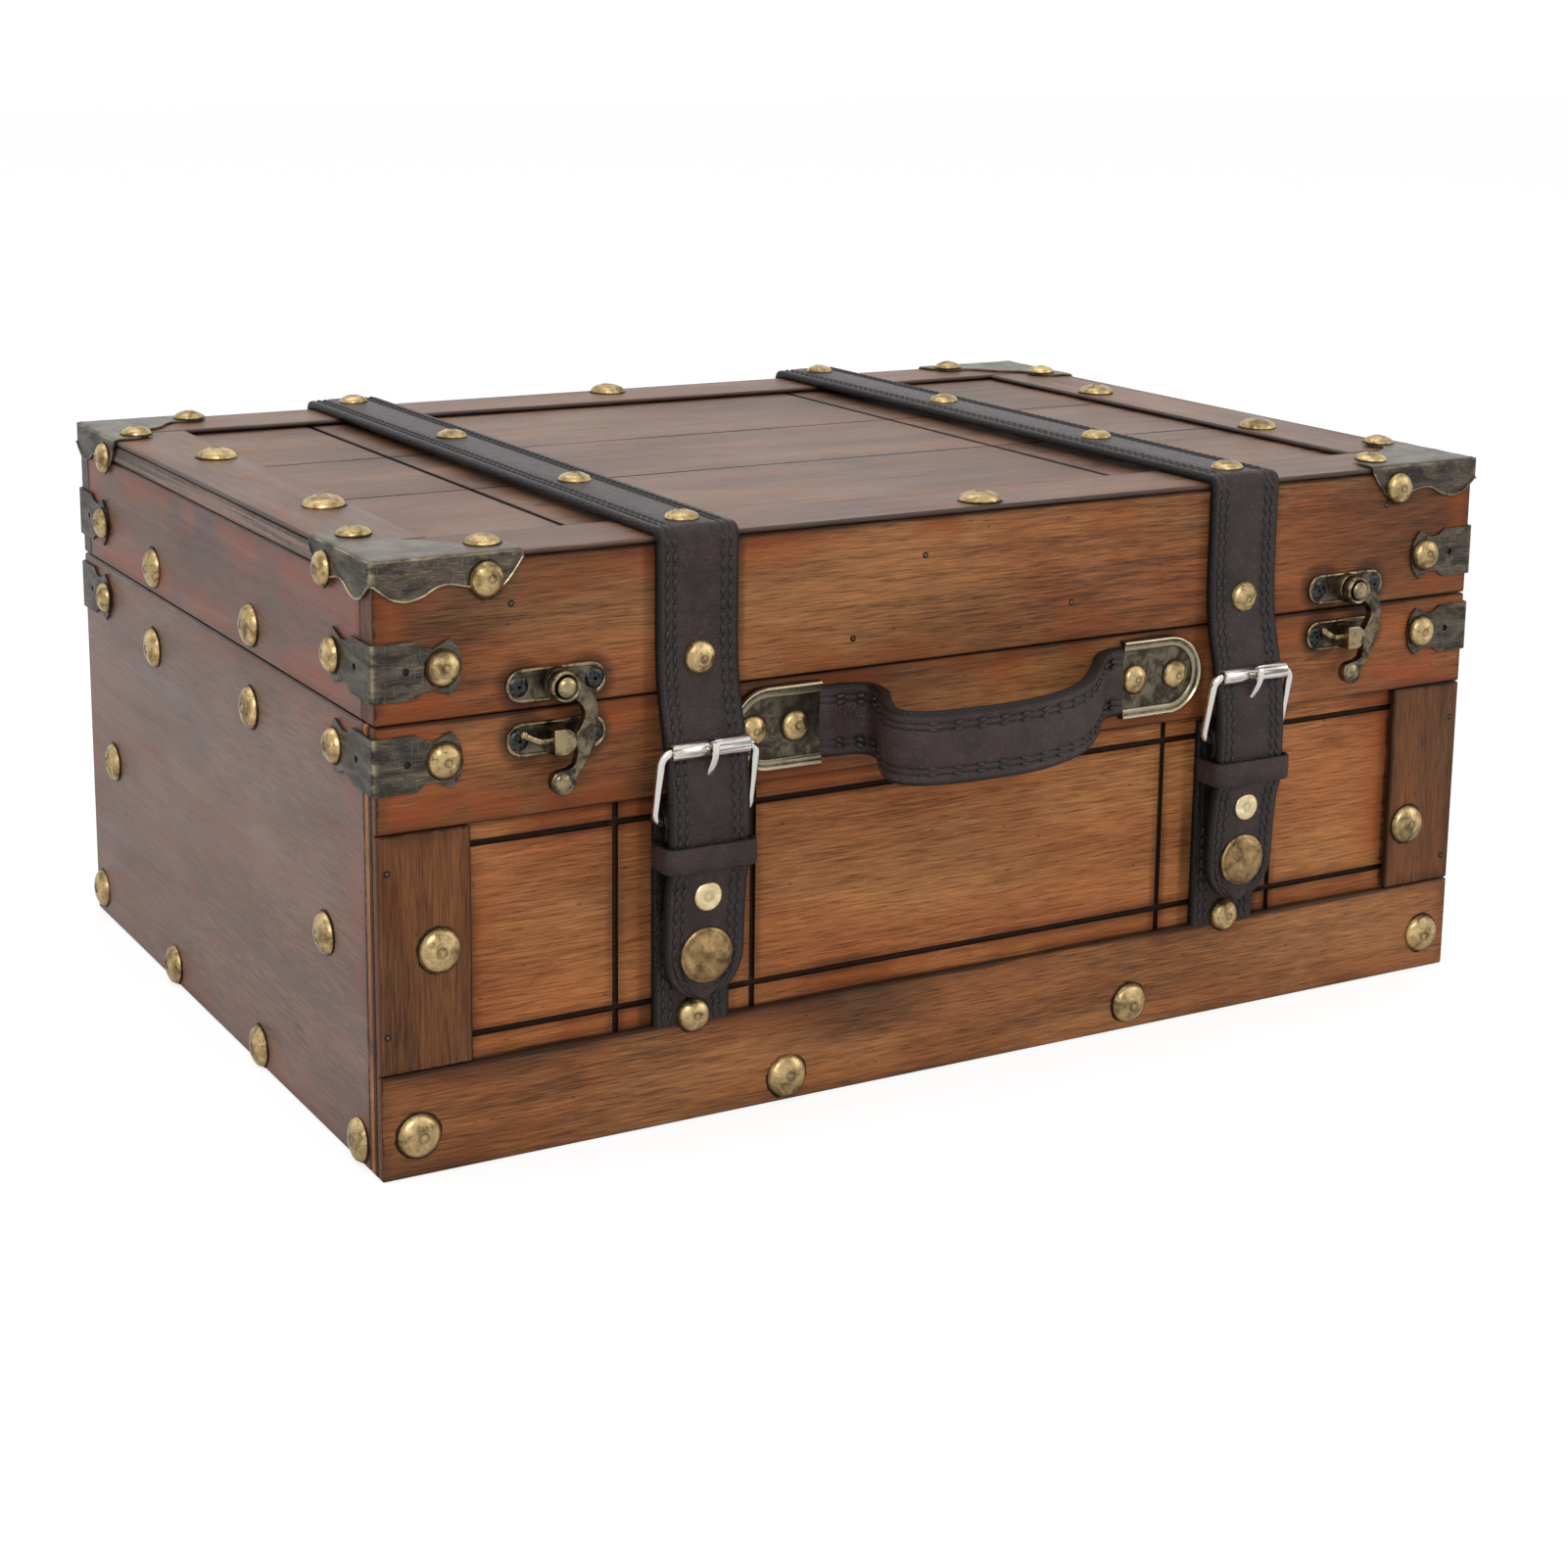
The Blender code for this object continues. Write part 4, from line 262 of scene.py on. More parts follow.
class Signal:
    """A value that changes over a surface, with the sums that can be done on it."""

    def __init__(self, nodes, socket):
        self.nodes = nodes
        self.socket = socket

    def maths(self, operation, first, second=0.0):
        """One sum on one or two values."""
        return self.nodes.node("Math", {"operation": operation}, {0: first, 1: second})

    def __add__(self, other):
        return self.maths("ADD", self, other)

    def __radd__(self, other):
        return self.maths("ADD", other, self)

    def __sub__(self, other):
        return self.maths("SUBTRACT", self, other)

    def __rsub__(self, other):
        return self.maths("SUBTRACT", other, self)

    def __mul__(self, other):
        return self.maths("MULTIPLY", self, other)

    def __rmul__(self, other):
        return self.maths("MULTIPLY", other, self)

    def __abs__(self):
        return self.maths("ABSOLUTE", self)

    def least(self, other):
        """The smaller of two values."""
        return self.maths("MINIMUM", self, other)

    def most(self, other):
        """The larger of two values."""
        return self.maths("MAXIMUM", self, other)

    def rise(self, low, high):
        """Goes smoothly from 0 at the low value to 1 at the high one."""
        return self.nodes.node("MapRange", {"interpolation_type": "SMOOTHSTEP"},
                               {"Value": self, "From Min": low, "From Max": high})

    def fall(self, low, high):
        """Goes smoothly from 1 at the low value to 0 at the high one."""
        return 1 - self.rise(low, high)


class Nodes:
    """The nodes of a material or of the world."""

    def __init__(self, tree):
        self.tree = tree

    def give(self, socket, value):
        """Link a signal to a socket, or set the socket's own value."""
        if isinstance(value, Signal):
            self.tree.links.new(value.socket, socket)
        elif socket.type == "RGBA" and len(value) == 3:
            socket.default_value = (*value, 1)
        else:
            socket.default_value = value

    def node(self, kind, options=None, inputs=None, outlet=0):
        """Any other node: its kind, its options, and the values or links of its sockets."""
        made = self.tree.nodes.new("ShaderNode" + kind)
        for name, value in (options or {}).items():
            setattr(made, name, value)
        for name, value in (inputs or {}).items():
            self.give(made.inputs[name], value)
        return Signal(self, made.outputs[outlet])


class Look(Nodes):
    """A Principled material in the making."""

    def __init__(self, name, roughness=0.5, metallic=0.0):
        self.material = bpy.data.materials.new(name)
        self.material.use_nodes = True
        super().__init__(self.material.node_tree)
        self.shader = self.tree.nodes["Principled BSDF"]
        self.give(self.shader.inputs["Roughness"], roughness)
        self.give(self.shader.inputs["Metallic"], metallic)

    def place(self):
        """The place on the trunk, as a vector."""
        return self.node("TexCoord", outlet="Object")

    def axes(self):
        """The place on the trunk, as three numbers."""
        place = self.place()
        return [self.node("SeparateXYZ", inputs={0: place}, outlet=index) for index in range(3)]

    def painted(self, name):
        """A value that the mesh carries at its points."""
        return self.node("Attribute", {"attribute_name": name}, outlet="Fac")

    def grain(self, scales, shift=0.0, detail=3.0, roughness=0.55, twist=0.0):
        """Noise with its own scale along each axis, per metre."""
        spot = self.node("Mapping", {}, {"Vector": self.place(), "Scale": scales,
                                         "Location": (shift, shift * 1.7, shift * 0.6)})
        return self.node("TexNoise", {"noise_dimensions": "3D"},
                         {"Vector": spot, "Scale": 1.0, "Detail": detail, "Roughness": roughness,
                          "Distortion": twist})

    def cells(self, scales, shift=0.0):
        """Distance to the nearest of many scattered points."""
        spot = self.node("Mapping", {}, {"Vector": self.place(), "Location": (shift, shift, shift),
                                         "Scale": scales})
        return self.node("TexVoronoi", {"feature": "F1"}, {"Vector": spot, "Scale": 1.0})

    def mix(self, first, second, share, blend="MIX"):
        """A colour between two others, or the first one tinted by the second."""
        return self.node("Mix", {"data_type": "RGBA", "blend_type": blend},
                         {0: share, 6: first, 7: second}, outlet=2)

    def finish(self, colour, roughness=None, height=None, depth=0.0002, strength=0.5):
        """Connect the worked colour, roughness and relief to the shader."""
        self.give(self.shader.inputs["Base Color"], colour)
        if roughness is not None:
            self.give(self.shader.inputs["Roughness"], roughness)
        if height is not None:
            bump = self.node("Bump", {}, {"Strength": strength, "Distance": depth, "Height": height})
            self.give(self.shader.inputs["Normal"], bump)
        return self.material


def ready(name):
    """A finish that has been made already, or None."""
    return bpy.data.materials.get(name)


def stained_wood(name, pale, dark, grain_axis, seed, edges=(), red=0.0, lines=(), sunk=None,
                 ribs=0.0, contrast=1.0, spots=(), sheen=0.42, gloss=0.15, olive=0.8, warm=0.7,
                 layers=False, ends=False):
    """Stained boards: clouds, streaks and fibres along the grain, darker edges and grooves."""
    colours = settings().colours
    look = Look(name, roughness=sheen)
    look.give(look.shader.inputs["Specular IOR Level"], gloss)
    axes = look.axes()

    def stretched(along, across):
        """Scales along the grain and across it."""
        scales = [across, across, across]
        scales[grain_axis] = along
        return scales

    clouds = look.grain(stretched(9, 34), seed, 4.0, 0.58, 0.5)
    streaks = look.grain(stretched(14, 330), seed + 3.1, 4.0, 0.62, 0.2)
    fibres = look.grain(stretched(115 - ribs * 20, 2500), seed + 5.7, 3.0, 0.66, ribs * 0.5)
    shades = look.grain(stretched(5, 16), seed + 9.2, 3.0, 0.5, 0.3)
    patches = look.grain((30, 30, 30), seed + 11.0, 2.0, 0.5)
    tone = (clouds - 0.5) * (1.4 - ribs * 0.5) + (streaks - 0.5) * (1.1 - ribs * 0.6) + (fibres - 0.5) * 2.2
    colour = look.mix(dark, pale, tone * contrast + 0.48)
    deep = [value * 0.30 for value in dark]
    colour = look.mix(colour, deep, fibres.fall(0.30, 0.42) * 0.3)
    zones = look.grain(stretched(8, 22), seed + 13.7, 3.0, 0.55, 0.6)
    colour = look.mix(colour, (0.74, 0.48, 0.40), zones.rise(0.42, 0.60) * warm, "MULTIPLY")
    colour = look.mix(colour, (0.40, 0.46, 0.56), shades.rise(0.50, 0.68) * olive, "MULTIPLY")
    pores = look.cells(stretched(90, 260), seed)
    colour = look.mix(colour, colours.stain_edge, pores.fall(0.03, 0.085) * 0.7)
    edge = None
    for axis, low, high in edges:
        distance = (axes[axis] - low).least(high - axes[axis])
        edge = distance if edge is None else edge.least(distance)
    if edge is not None:
        edge = abs(edge) + (streaks - 0.5) * 0.003
        if red:
            glow = edge.fall(0.001, 0.016) * patches.rise(0.40, 0.60) * red
            colour = look.mix(colour, colours.front_red, glow)
        colour = look.mix(colour, deep, edge.fall(0.0, 0.0050) * patches.rise(0.25, 0.7) * 0.6)
        colour = look.mix(colour, colours.stain_edge, edge.fall(0.0, 0.0009) * 0.8)
    for axis, middle, reach in lines:
        halo = abs(axes[axis] - middle).fall(reach * 0.35, reach)
        colour = look.mix(colour, colours.stain_edge, halo * patches.rise(0.2, 0.8) * 0.6)
    for spot, reach, weight in spots:
        gap = look.node("VectorMath", {"operation": "DISTANCE"}, {0: look.place(), 1: spot}, outlet="Value")
        stain = (gap + (patches - 0.5) * (reach * 0.7)).fall(reach * 0.65, reach)
        colour = look.mix(colour, colours.stain_edge, stain * weight)
    if layers:
        plies = look.grain((14, 14, 1500), seed + 4.4, 3.0, 0.6)
        flank = abs(axes[0]).rise(*PLY_WIDTH).most(abs(axes[1]).rise(*PLY_DEPTH))
        laid = look.mix(colours.side_pale, colours.stain_edge, plies.rise(0.42, 0.58) * 0.85)
        colour = look.mix(colour, laid, flank)
    if ends:
        cut = abs(axes[0]).rise(HALF_WIDTH - 0.0003, HALF_WIDTH - 0.00005)
        colour = look.mix(colour, look.mix((0.170, 0.075, 0.048), (0.060, 0.026, 0.018), streaks), cut * 0.9)
    if sunk is not None:
        axis, start, end = sunk
        depth = axes[axis].rise(start, start + (end - start) * 0.25)
        depth = depth * axes[axis].fall(start + (end - start) * 4, start + (end - start) * 5)
        if layers:
            depth = depth * (1 - flank)
        colour = look.mix(colour, colours.stain_edge, depth * 0.93)
    raw = [value * 0.68 for value in colours.raw_wood]
    raw = look.mix(colours.raw_wood, raw, (streaks * 0.5 + fibres * 0.5).rise(0.40, 0.60))
    raw = look.mix(raw, (0.80, 0.66, 0.55), shades.rise(0.45, 0.70) * 0.8, "MULTIPLY")
    within = abs(axes[0]).fall(*INSIDE_WIDTH) * axes[2].fall(*INSIDE_TOP)
    within = within * axes[1].rise(*INSIDE_FRONT) * axes[1].fall(*INSIDE_BACK)
    colour = look.mix(colour, raw, within)
    smear = (streaks - 0.5) * 0.5 + (fibres - 0.5) * 0.35 + patches * 0.10
    relief = fibres * (0.6 + ribs) + streaks * 0.6
    return look.finish(colour, smear + (sheen - 0.02), relief, 0.00042 + ribs * 0.00020, 0.7)


def aged_metal(name, bright, dark, tarnish=0.75, polish=0.16):
    """Cast or pressed metal whose bright colour is lost in clouds and specks, and which is painted nearly
    black along its foot as painted shade.
    """
    if ready(name):
        return ready(name)
    look = Look(name, metallic=1.0)
    clouds = look.grain((230, 230, 230), 1.3, 4.0, 0.6, 0.5)
    specks = look.grain((1300, 1300, 1300), 4.1, 3.0, 0.65)
    rim = look.painted("rim")
    colour = look.mix(bright, dark, clouds.rise(0.44, 0.70) * tarnish)
    colour = look.mix(colour, [min(value * 1.7, 1) for value in bright], clouds.fall(0.34, 0.46) * 0.6)
    colour = look.mix(colour, dark, specks.rise(0.58, 0.68) * 0.75)
    # Painted shade: nearly black where the painted value rim is set, mostly round the foot of heads, for the
    # shadow where they meet the surface beneath
    colour = look.mix(colour, (0.014, 0.010, 0.007), rim * 0.95)
    rough = clouds * 0.26 + specks * 0.08 + rim * 0.25 + polish
    return look.finish(colour, rough, clouds * 0.6 + specks * 0.4, 0.0003, 0.6)


def antique_brass():
    """Gold-coloured heads of the tacks and the hinges."""
    colours = settings().colours
    return aged_metal("antique_brass", tuple(colours.brass), tuple(colours.brass_dark), 0.8)


def bronzed_brass():
    """Mottled brown gold of the snap caps."""
    return aged_metal("bronzed_brass", (0.330, 0.215, 0.098), (0.085, 0.050, 0.024), 0.9, 0.20)


def pale_brass():
    """Light gold of the flat rivets."""
    return aged_metal("pale_brass", (0.780, 0.630, 0.370), (0.380, 0.280, 0.140), 0.5, 0.14)


def blackened_steel():
    """Dark sheet with brassy scuffs, scratches and worn bright edges. The guards' top face is painted lighter
    as a reflection, and their bend carries a painted highlight with the wear.
    """
    if ready("blackened_steel"):
        return ready("blackened_steel")
    colours = settings().colours
    look = Look("blackened_steel", metallic=1.0)
    clouds = look.grain((90, 90, 260), 2.3, 4.0, 0.66, 0.5)
    level = look.grain((260, 260, 4200), 6.1, 2.0, 0.5)
    upright = look.grain((3600, 3600, 240), 3.4, 2.0, 0.5)
    worn = look.painted("worn")
    deep = [value * 0.32 for value in colours.steel]
    colour = look.mix(colours.steel, deep, (clouds * 0.6 + level * 0.4).rise(0.38, 0.62) * 0.9)
    scuffs = clouds.fall(0.40, 0.56) * level.rise(0.50, 0.66)
    colour = look.mix(colour, (0.290, 0.205, 0.115), scuffs * 0.65)
    colour = look.mix(colour, (0.200, 0.175, 0.145), upright.rise(0.60, 0.72) * 0.5)
    # Painted reflection: the top face of the guards is lighter, less so where the clouds are
    crown = look.axes()[2].rise(TOP + 0.0004, TOP + 0.0007)
    colour = look.mix(colour, (0.250, 0.222, 0.185), crown * (0.95 - clouds * 0.75))
    # Brassy where the painted value worn is set: wear, and on the guards' bend also a painted highlight
    colour = look.mix(colour, (0.520, 0.420, 0.250), worn * clouds.fall(0.36, 0.66))
    rough = 0.26 + clouds * 0.22 + level * 0.12 - worn * 0.10
    return look.finish(colour, rough, level * 0.35 + upright * 0.25 + clouds * 0.5, 0.00018, 0.5)


def dark_bronze(name="dark_bronze", light=1.0, rub=(0.370, 0.285, 0.160), reach=0.64):
    """Cast and pressed fittings: dark in the hollows, brassy where hands have rubbed them."""
    if ready(name):
        return ready(name)
    base = [value * light for value in settings().colours.bronze]
    look = Look(name, metallic=1.0)
    clouds = look.grain((260, 260, 260), 7.3, 4.0, 0.62, 0.6)
    specks = look.grain((1900, 1900, 1900), 2.7, 2.0, 0.6)
    worn = look.painted("worn")
    colour = look.mix(base, [value * 0.28 for value in base], clouds.rise(0.34, 0.62))
    colour = look.mix(colour, rub, worn * clouds.fall(reach - 0.24, reach) * 0.95)
    colour = look.mix(colour, (0.030, 0.024, 0.018), specks.rise(0.60, 0.72) * 0.5)
    rough = 0.20 + clouds * 0.24 + specks * 0.06 - worn * 0.08
    return look.finish(colour, rough, clouds * 0.6 + specks * 0.4, 0.0002, 0.5)


def bright_nickel(name="bright_nickel", streak_axis=2):
    """Plated wire with painted reflections: dark and bright streaks that run along one axis."""
    if ready(name):
        return ready(name)
    colours = settings().colours
    look = Look(name, metallic=1.0)
    scales = [2300, 2300, 2300]
    scales[streak_axis] = 60
    lines = look.grain(scales, 3.7, 3.0, 0.6)
    clouds = look.grain((420, 420, 420), 6.2, 3.0, 0.6)
    pits = look.cells((900, 900, 900), 1.9)
    # Painted reflections: the streaks go from bright, for the white surround, to dim, for dark things beside
    # the wire
    tone = lines.rise(0.46, 0.60) * 0.85
    bright, middle, dim = ([value * share for value in colours.nickel] for share in (1.75, 0.6, 0.22))
    colour = look.mix(bright, dim, tone)
    colour = look.mix(colour, middle, clouds.rise(0.45, 0.75) * 0.4)
    colour = look.mix(colour, (0.11, 0.09, 0.07), pits.fall(0.05, 0.16) * 0.8)
    # Nearly black where the painted value rim is set, which is in the roller's shallow groove
    colour = look.mix(colour, (0.02, 0.016, 0.012), look.painted("rim"))
    return look.finish(colour, 0.07 + clouds * 0.14, lines, 0.0001, 0.3)


def screw_black():
    """Black finish of the screws."""
    if ready("screw_black"):
        return ready("screw_black")
    look = Look("screw_black", metallic=1.0)
    clouds = look.grain((700, 700, 700), 5.3, 3.0, 0.6)
    colour = look.mix((0.060, 0.058, 0.058), (0.018, 0.018, 0.019), clouds.rise(0.42, 0.62))
    return look.finish(colour, 0.22 + clouds * 0.2, clouds, 0.0001, 0.4)


def slot_dark():
    """Near-black painted shade for the slots of the screws and the holes of the brackets."""
    if ready("slot_dark"):
        return ready("slot_dark")
    look = Look("slot_dark", roughness=0.7)
    clouds = look.grain((900, 900, 900), 2.2, 2.0, 0.5)
    return look.finish(look.mix((0.006, 0.006, 0.006), (0.014, 0.013, 0.012), clouds), 0.6 + clouds * 0.2)


def dark_leather(name, tint=1.0, shine=0.42):
    """Dressed leather: fine pebbles, shallow creases, and painted edges."""
    if ready(name):
        return ready(name)
    colours = settings().colours
    look = Look(name, roughness=shine)
    look.give(look.shader.inputs["Specular IOR Level"], 0.22)
    pebbles = look.cells((1900, 1900, 1900), 0.7)
    creases = look.grain((420, 420, 420), 2.1, 4.0, 0.65, 1.2)
    clouds = look.grain((110, 110, 110), 8.8, 3.0, 0.6)
    edge = look.painted("edge")
    base = [value * tint for value in colours.leather]
    colour = look.mix(base, [value * 0.45 for value in base], clouds.rise(0.35, 0.65) * 0.6)
    colour = look.mix(colour, [value * 2.1 for value in base], creases.rise(0.52, 0.70) * 0.42)
    colour = look.mix(colour, [value * 0.4 for value in base], pebbles.fall(0.10, 0.35) * 0.6)
    colour = look.mix(colour, colours.leather_edge, edge)
    rough = shine - 0.12 + (creases - 0.5) * 0.35 + pebbles * 0.12 + edge * 0.05
    return look.finish(colour, rough, pebbles * 0.6 + creases * 1.0, 0.00036, 0.85)


def waxed_thread():
    """Black thread of the seams."""
    if ready("waxed_thread"):
        return ready("waxed_thread")
    look = Look("waxed_thread")
    twist = look.grain((2600, 2600, 2600), 1.0, 2.0, 0.5)
    colour = look.mix((0.0030, 0.0025, 0.0025), (0.012, 0.010, 0.010), twist.rise(0.4, 0.7))
    return look.finish(colour, 0.5 + twist * 0.2, twist, 0.0001, 0.5)


def new_shape():
    """An empty shape whose points carry the values that the finishes read."""
    shape = bmesh.new()
    for name in ("rim", "worn", "edge"):
        shape.verts.layers.float.new(name)
    return shape


def join(shape, other):
    """Move everything from one shape into another."""
    carrier = bpy.data.meshes.new("carrier")
    other.to_mesh(carrier)
    other.free()
    shape.from_mesh(carrier)
    bpy.data.meshes.remove(carrier)


@contextmanager
def adding_to(shape):
    """A fresh shape, which is joined to another one when it is finished."""
    part = new_shape()
    yield part
    join(shape, part)


def add_object(name, data):
    """Put an object into the scene."""
    made = bpy.data.objects.new(name, data)
    bpy.context.scene.collection.objects.link(made)
    return made


def refinish(node, material):
    """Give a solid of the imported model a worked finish."""
    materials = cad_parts[node].data.materials
    materials.clear()
    materials.append(material)


def add_piece(name, shape, body, materials, replaced=(), smooth=40):
    """Turn a shape into an object that rides on a body and stands for the nodes it replaces."""
    bmesh.ops.recalc_face_normals(shape, faces=shape.faces)
    mesh = bpy.data.meshes.new(name)
    shape.to_mesh(mesh)
    shape.free()
    mesh.shade_smooth()
    mesh.set_sharp_from_angle(angle=math.radians(smooth))
    piece = add_object(name, mesh)
    for material in materials:
        mesh.materials.append(material)
    if body:
        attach(piece, body)
    if replaced:
        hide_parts(*replaced)
    return piece


def facing(origin, along, up):
    """A matrix whose local X, Y and Z run along, up and square to both."""
    turn = Matrix((along, up, along.cross(up))).transposed().to_4x4()
    return Matrix.Translation(origin) @ turn


def on_front(across, height, out=0.0):
    """A matrix on the front face: X to the right, Y up and Z out of the face."""
    return facing(Vector((across, -HALF_DEPTH - out, height)), RIGHT, UP)


def outward_place(origin, outward):
    """A matrix whose Z runs outward from a face."""
    along = UP.cross(outward) if abs(outward.z) < 0.5 else RIGHT
    return facing(origin, along, outward.cross(along))


def turned(shape, profile, steps, matrix, material=0):
    """Spin rows of radius, height and a painted value round the local Z axis."""
    with adding_to(shape) as part:
        layers = [part.verts.layers.float[name] for name in ("rim", "worn", "edge")]
        points = []
        for radius, height, value in profile:
            point = part.verts.new((radius, 0, height))
            for layer in layers:
                point[layer] = value
            points.append(point)
        sides = [part.edges.new(pair) for pair in zip(points, points[1:])]
        bmesh.ops.spin(part, geom=points + sides, cent=(0, 0, 0), axis=(0, 0, 1), dvec=(0, 0, 0),
                       angle=math.tau, steps=steps, use_merge=True)
        bmesh.ops.remove_doubles(part, verts=part.verts, dist=1e-7)
        bmesh.ops.recalc_face_normals(part, faces=part.faces)
        for face in part.faces:
            face.material_index = material
        bmesh.ops.transform(part, matrix=matrix, verts=part.verts)


def loft(shape, section, stations, closed=False, values=None, names=("edge",)):
    """Extrude a closed section from station to station. Each station is a matrix."""
    with adding_to(shape) as part:
        layers = [part.verts.layers.float[name] for name in names]
        ring = []
        for index, (across, out) in enumerate(section):
            point = part.verts.new(stations[0] @ Vector((across, out, 0)))
            for layer in layers:
                point[layer] = values[index] if values else 0.0
            ring.append(point)
        edges = [part.edges.new(pair) for pair in zip(ring, ring[1:] + ring[:1])]
        first = edges
        for before, after in zip(stations, stations[1:]):
            made = bmesh.ops.extrude_edge_only(part, edges=edges)["geom"]
            verts = [item for item in made if isinstance(item, bmesh.types.BMVert)]
            moved = set(verts)
            edges = [item for item in made if isinstance(item, bmesh.types.BMEdge)
                     and item.verts[0] in moved and item.verts[1] in moved]
            bmesh.ops.transform(part, matrix=after @ before.inverted(), verts=verts)
        if closed:
            bmesh.ops.bridge_loops(part, edges=first + edges)
        else:
            bmesh.ops.edgeloop_fill(part, edges=first)
            bmesh.ops.edgeloop_fill(part, edges=edges)
        bmesh.ops.recalc_face_normals(part, faces=part.faces)


def circle_section(radius, sides):
    """A round section for a wire or a rim."""
    angles = [math.tau * index / sides for index in range(sides)]
    return [(radius * math.cos(angle), radius * math.sin(angle)) for angle in angles]


def smooth_route(points, steps):
    """A curve through the points, with this many steps from one to the next."""
    points = [Vector(point) for point in points]
    route = []
    for index, (start, end) in enumerate(zip(points, points[1:])):
        before = points[index - 1] if index else start
        after = points[index + 2] if index + 2 < len(points) else end
        for step in range(steps):
            share = step / steps
            route.append(0.5 * (2 * start + (end - before) * share
                                + (2 * before - 5 * start + 4 * end - after) * share ** 2
                                + (3 * start - before - 3 * end + after) * share ** 3))
    route.append(points[-1])
    return route


def smooth_pairs(pairs):
    """A row of pairs with a smooth curve of more pairs between them."""
    return [(point.x, point.y) for point in smooth_route([(*pair, 0) for pair in pairs], 8)]


def evenly(route, step):
    """The same route with its points a fixed distance apart."""
    total = sum((after - before).length for before, after in zip(route, route[1:]))
    count = max(int(round(total / step)), 1)
    spacing = total / count
    made = [route[0].copy()]
    travelled = 0.0
    for before, after in zip(route, route[1:]):
        length = (after - before).length
        while length > 0 and len(made) < count and travelled + length >= spacing * len(made) - 1e-12:
            made.append(before.lerp(after, (spacing * len(made) - travelled) / length))
        travelled += length
    made.append(route[-1].copy())
    return made


def stations_along(route, across, closed=False, widths=None, heights=None):
    """Matrices along a route: X across it, Y out of its face and Z along it."""
    made = []
    count = len(route)
    for index, point in enumerate(route):
        if closed:
            way = route[(index + 1) % count] - route[index - 1]
        else:
            way = route[min(index + 1, count - 1)] - route[max(index - 1, 0)]
        way = way.normalized()
        out = way.cross(across).normalized()
        width = widths[index] if widths else 1.0
        height = heights[index] if heights else 1.0
        turn = Matrix((across * width, out * height, way)).transposed().to_4x4()
        made.append(Matrix.Translation(point) @ turn)
    return made


def arc(centre, radius, start, end, steps):
    """Points on an arc, from one angle in degrees to another."""
    points = []
    for step in range(steps + 1):
        angle = math.radians(start + (end - start) * step / steps)
        points.append((centre[0] + radius * math.cos(angle), centre[1] + radius * math.sin(angle)))
    return points


def filled(shape, outline, matrix, thickness, bevel=0.0, segments=2, worn=None):
    """Fill an outline, give it thickness along the local Z axis and round its edges."""
    with adding_to(shape) as part:
        verts = [part.verts.new((across, up, 0)) for across, up in outline]
        edges = [part.edges.new(pair) for pair in zip(verts, verts[1:] + verts[:1])]
        face = bmesh.ops.edgeloop_fill(part, edges=edges)["faces"]
        made = bmesh.ops.extrude_face_region(part, geom=face)["geom"]
        top = [item for item in made if isinstance(item, bmesh.types.BMVert)]
        bmesh.ops.translate(part, vec=(0, 0, thickness), verts=top)
        bmesh.ops.recalc_face_normals(part, faces=part.faces)
        if bevel:
            rims = [edge for edge in part.edges
                    if edge.is_manifold and edge.calc_face_angle(0) > math.radians(50)]
            bmesh.ops.bevel(part, geom=rims, offset=bevel, segments=segments, profile=0.5, affect="EDGES",
                            material=-1, clamp_overlap=True)
        layer = part.verts.layers.float["worn"]
        for vert in part.verts:
            vert[layer] = worn(vert.co) if worn else 0.0
        bmesh.ops.transform(part, matrix=matrix, verts=part.verts)


def add_ball(shape, matrix, sides, value):
    """A round lump: a unit ball put in place and shape by a matrix."""
    with adding_to(shape) as part:
        bmesh.ops.create_uvsphere(part, u_segments=sides, v_segments=sides * 2 // 3, radius=1, matrix=matrix)
        layer = part.verts.layers.float["worn"]
        for vert in part.verts:
            vert[layer] = value


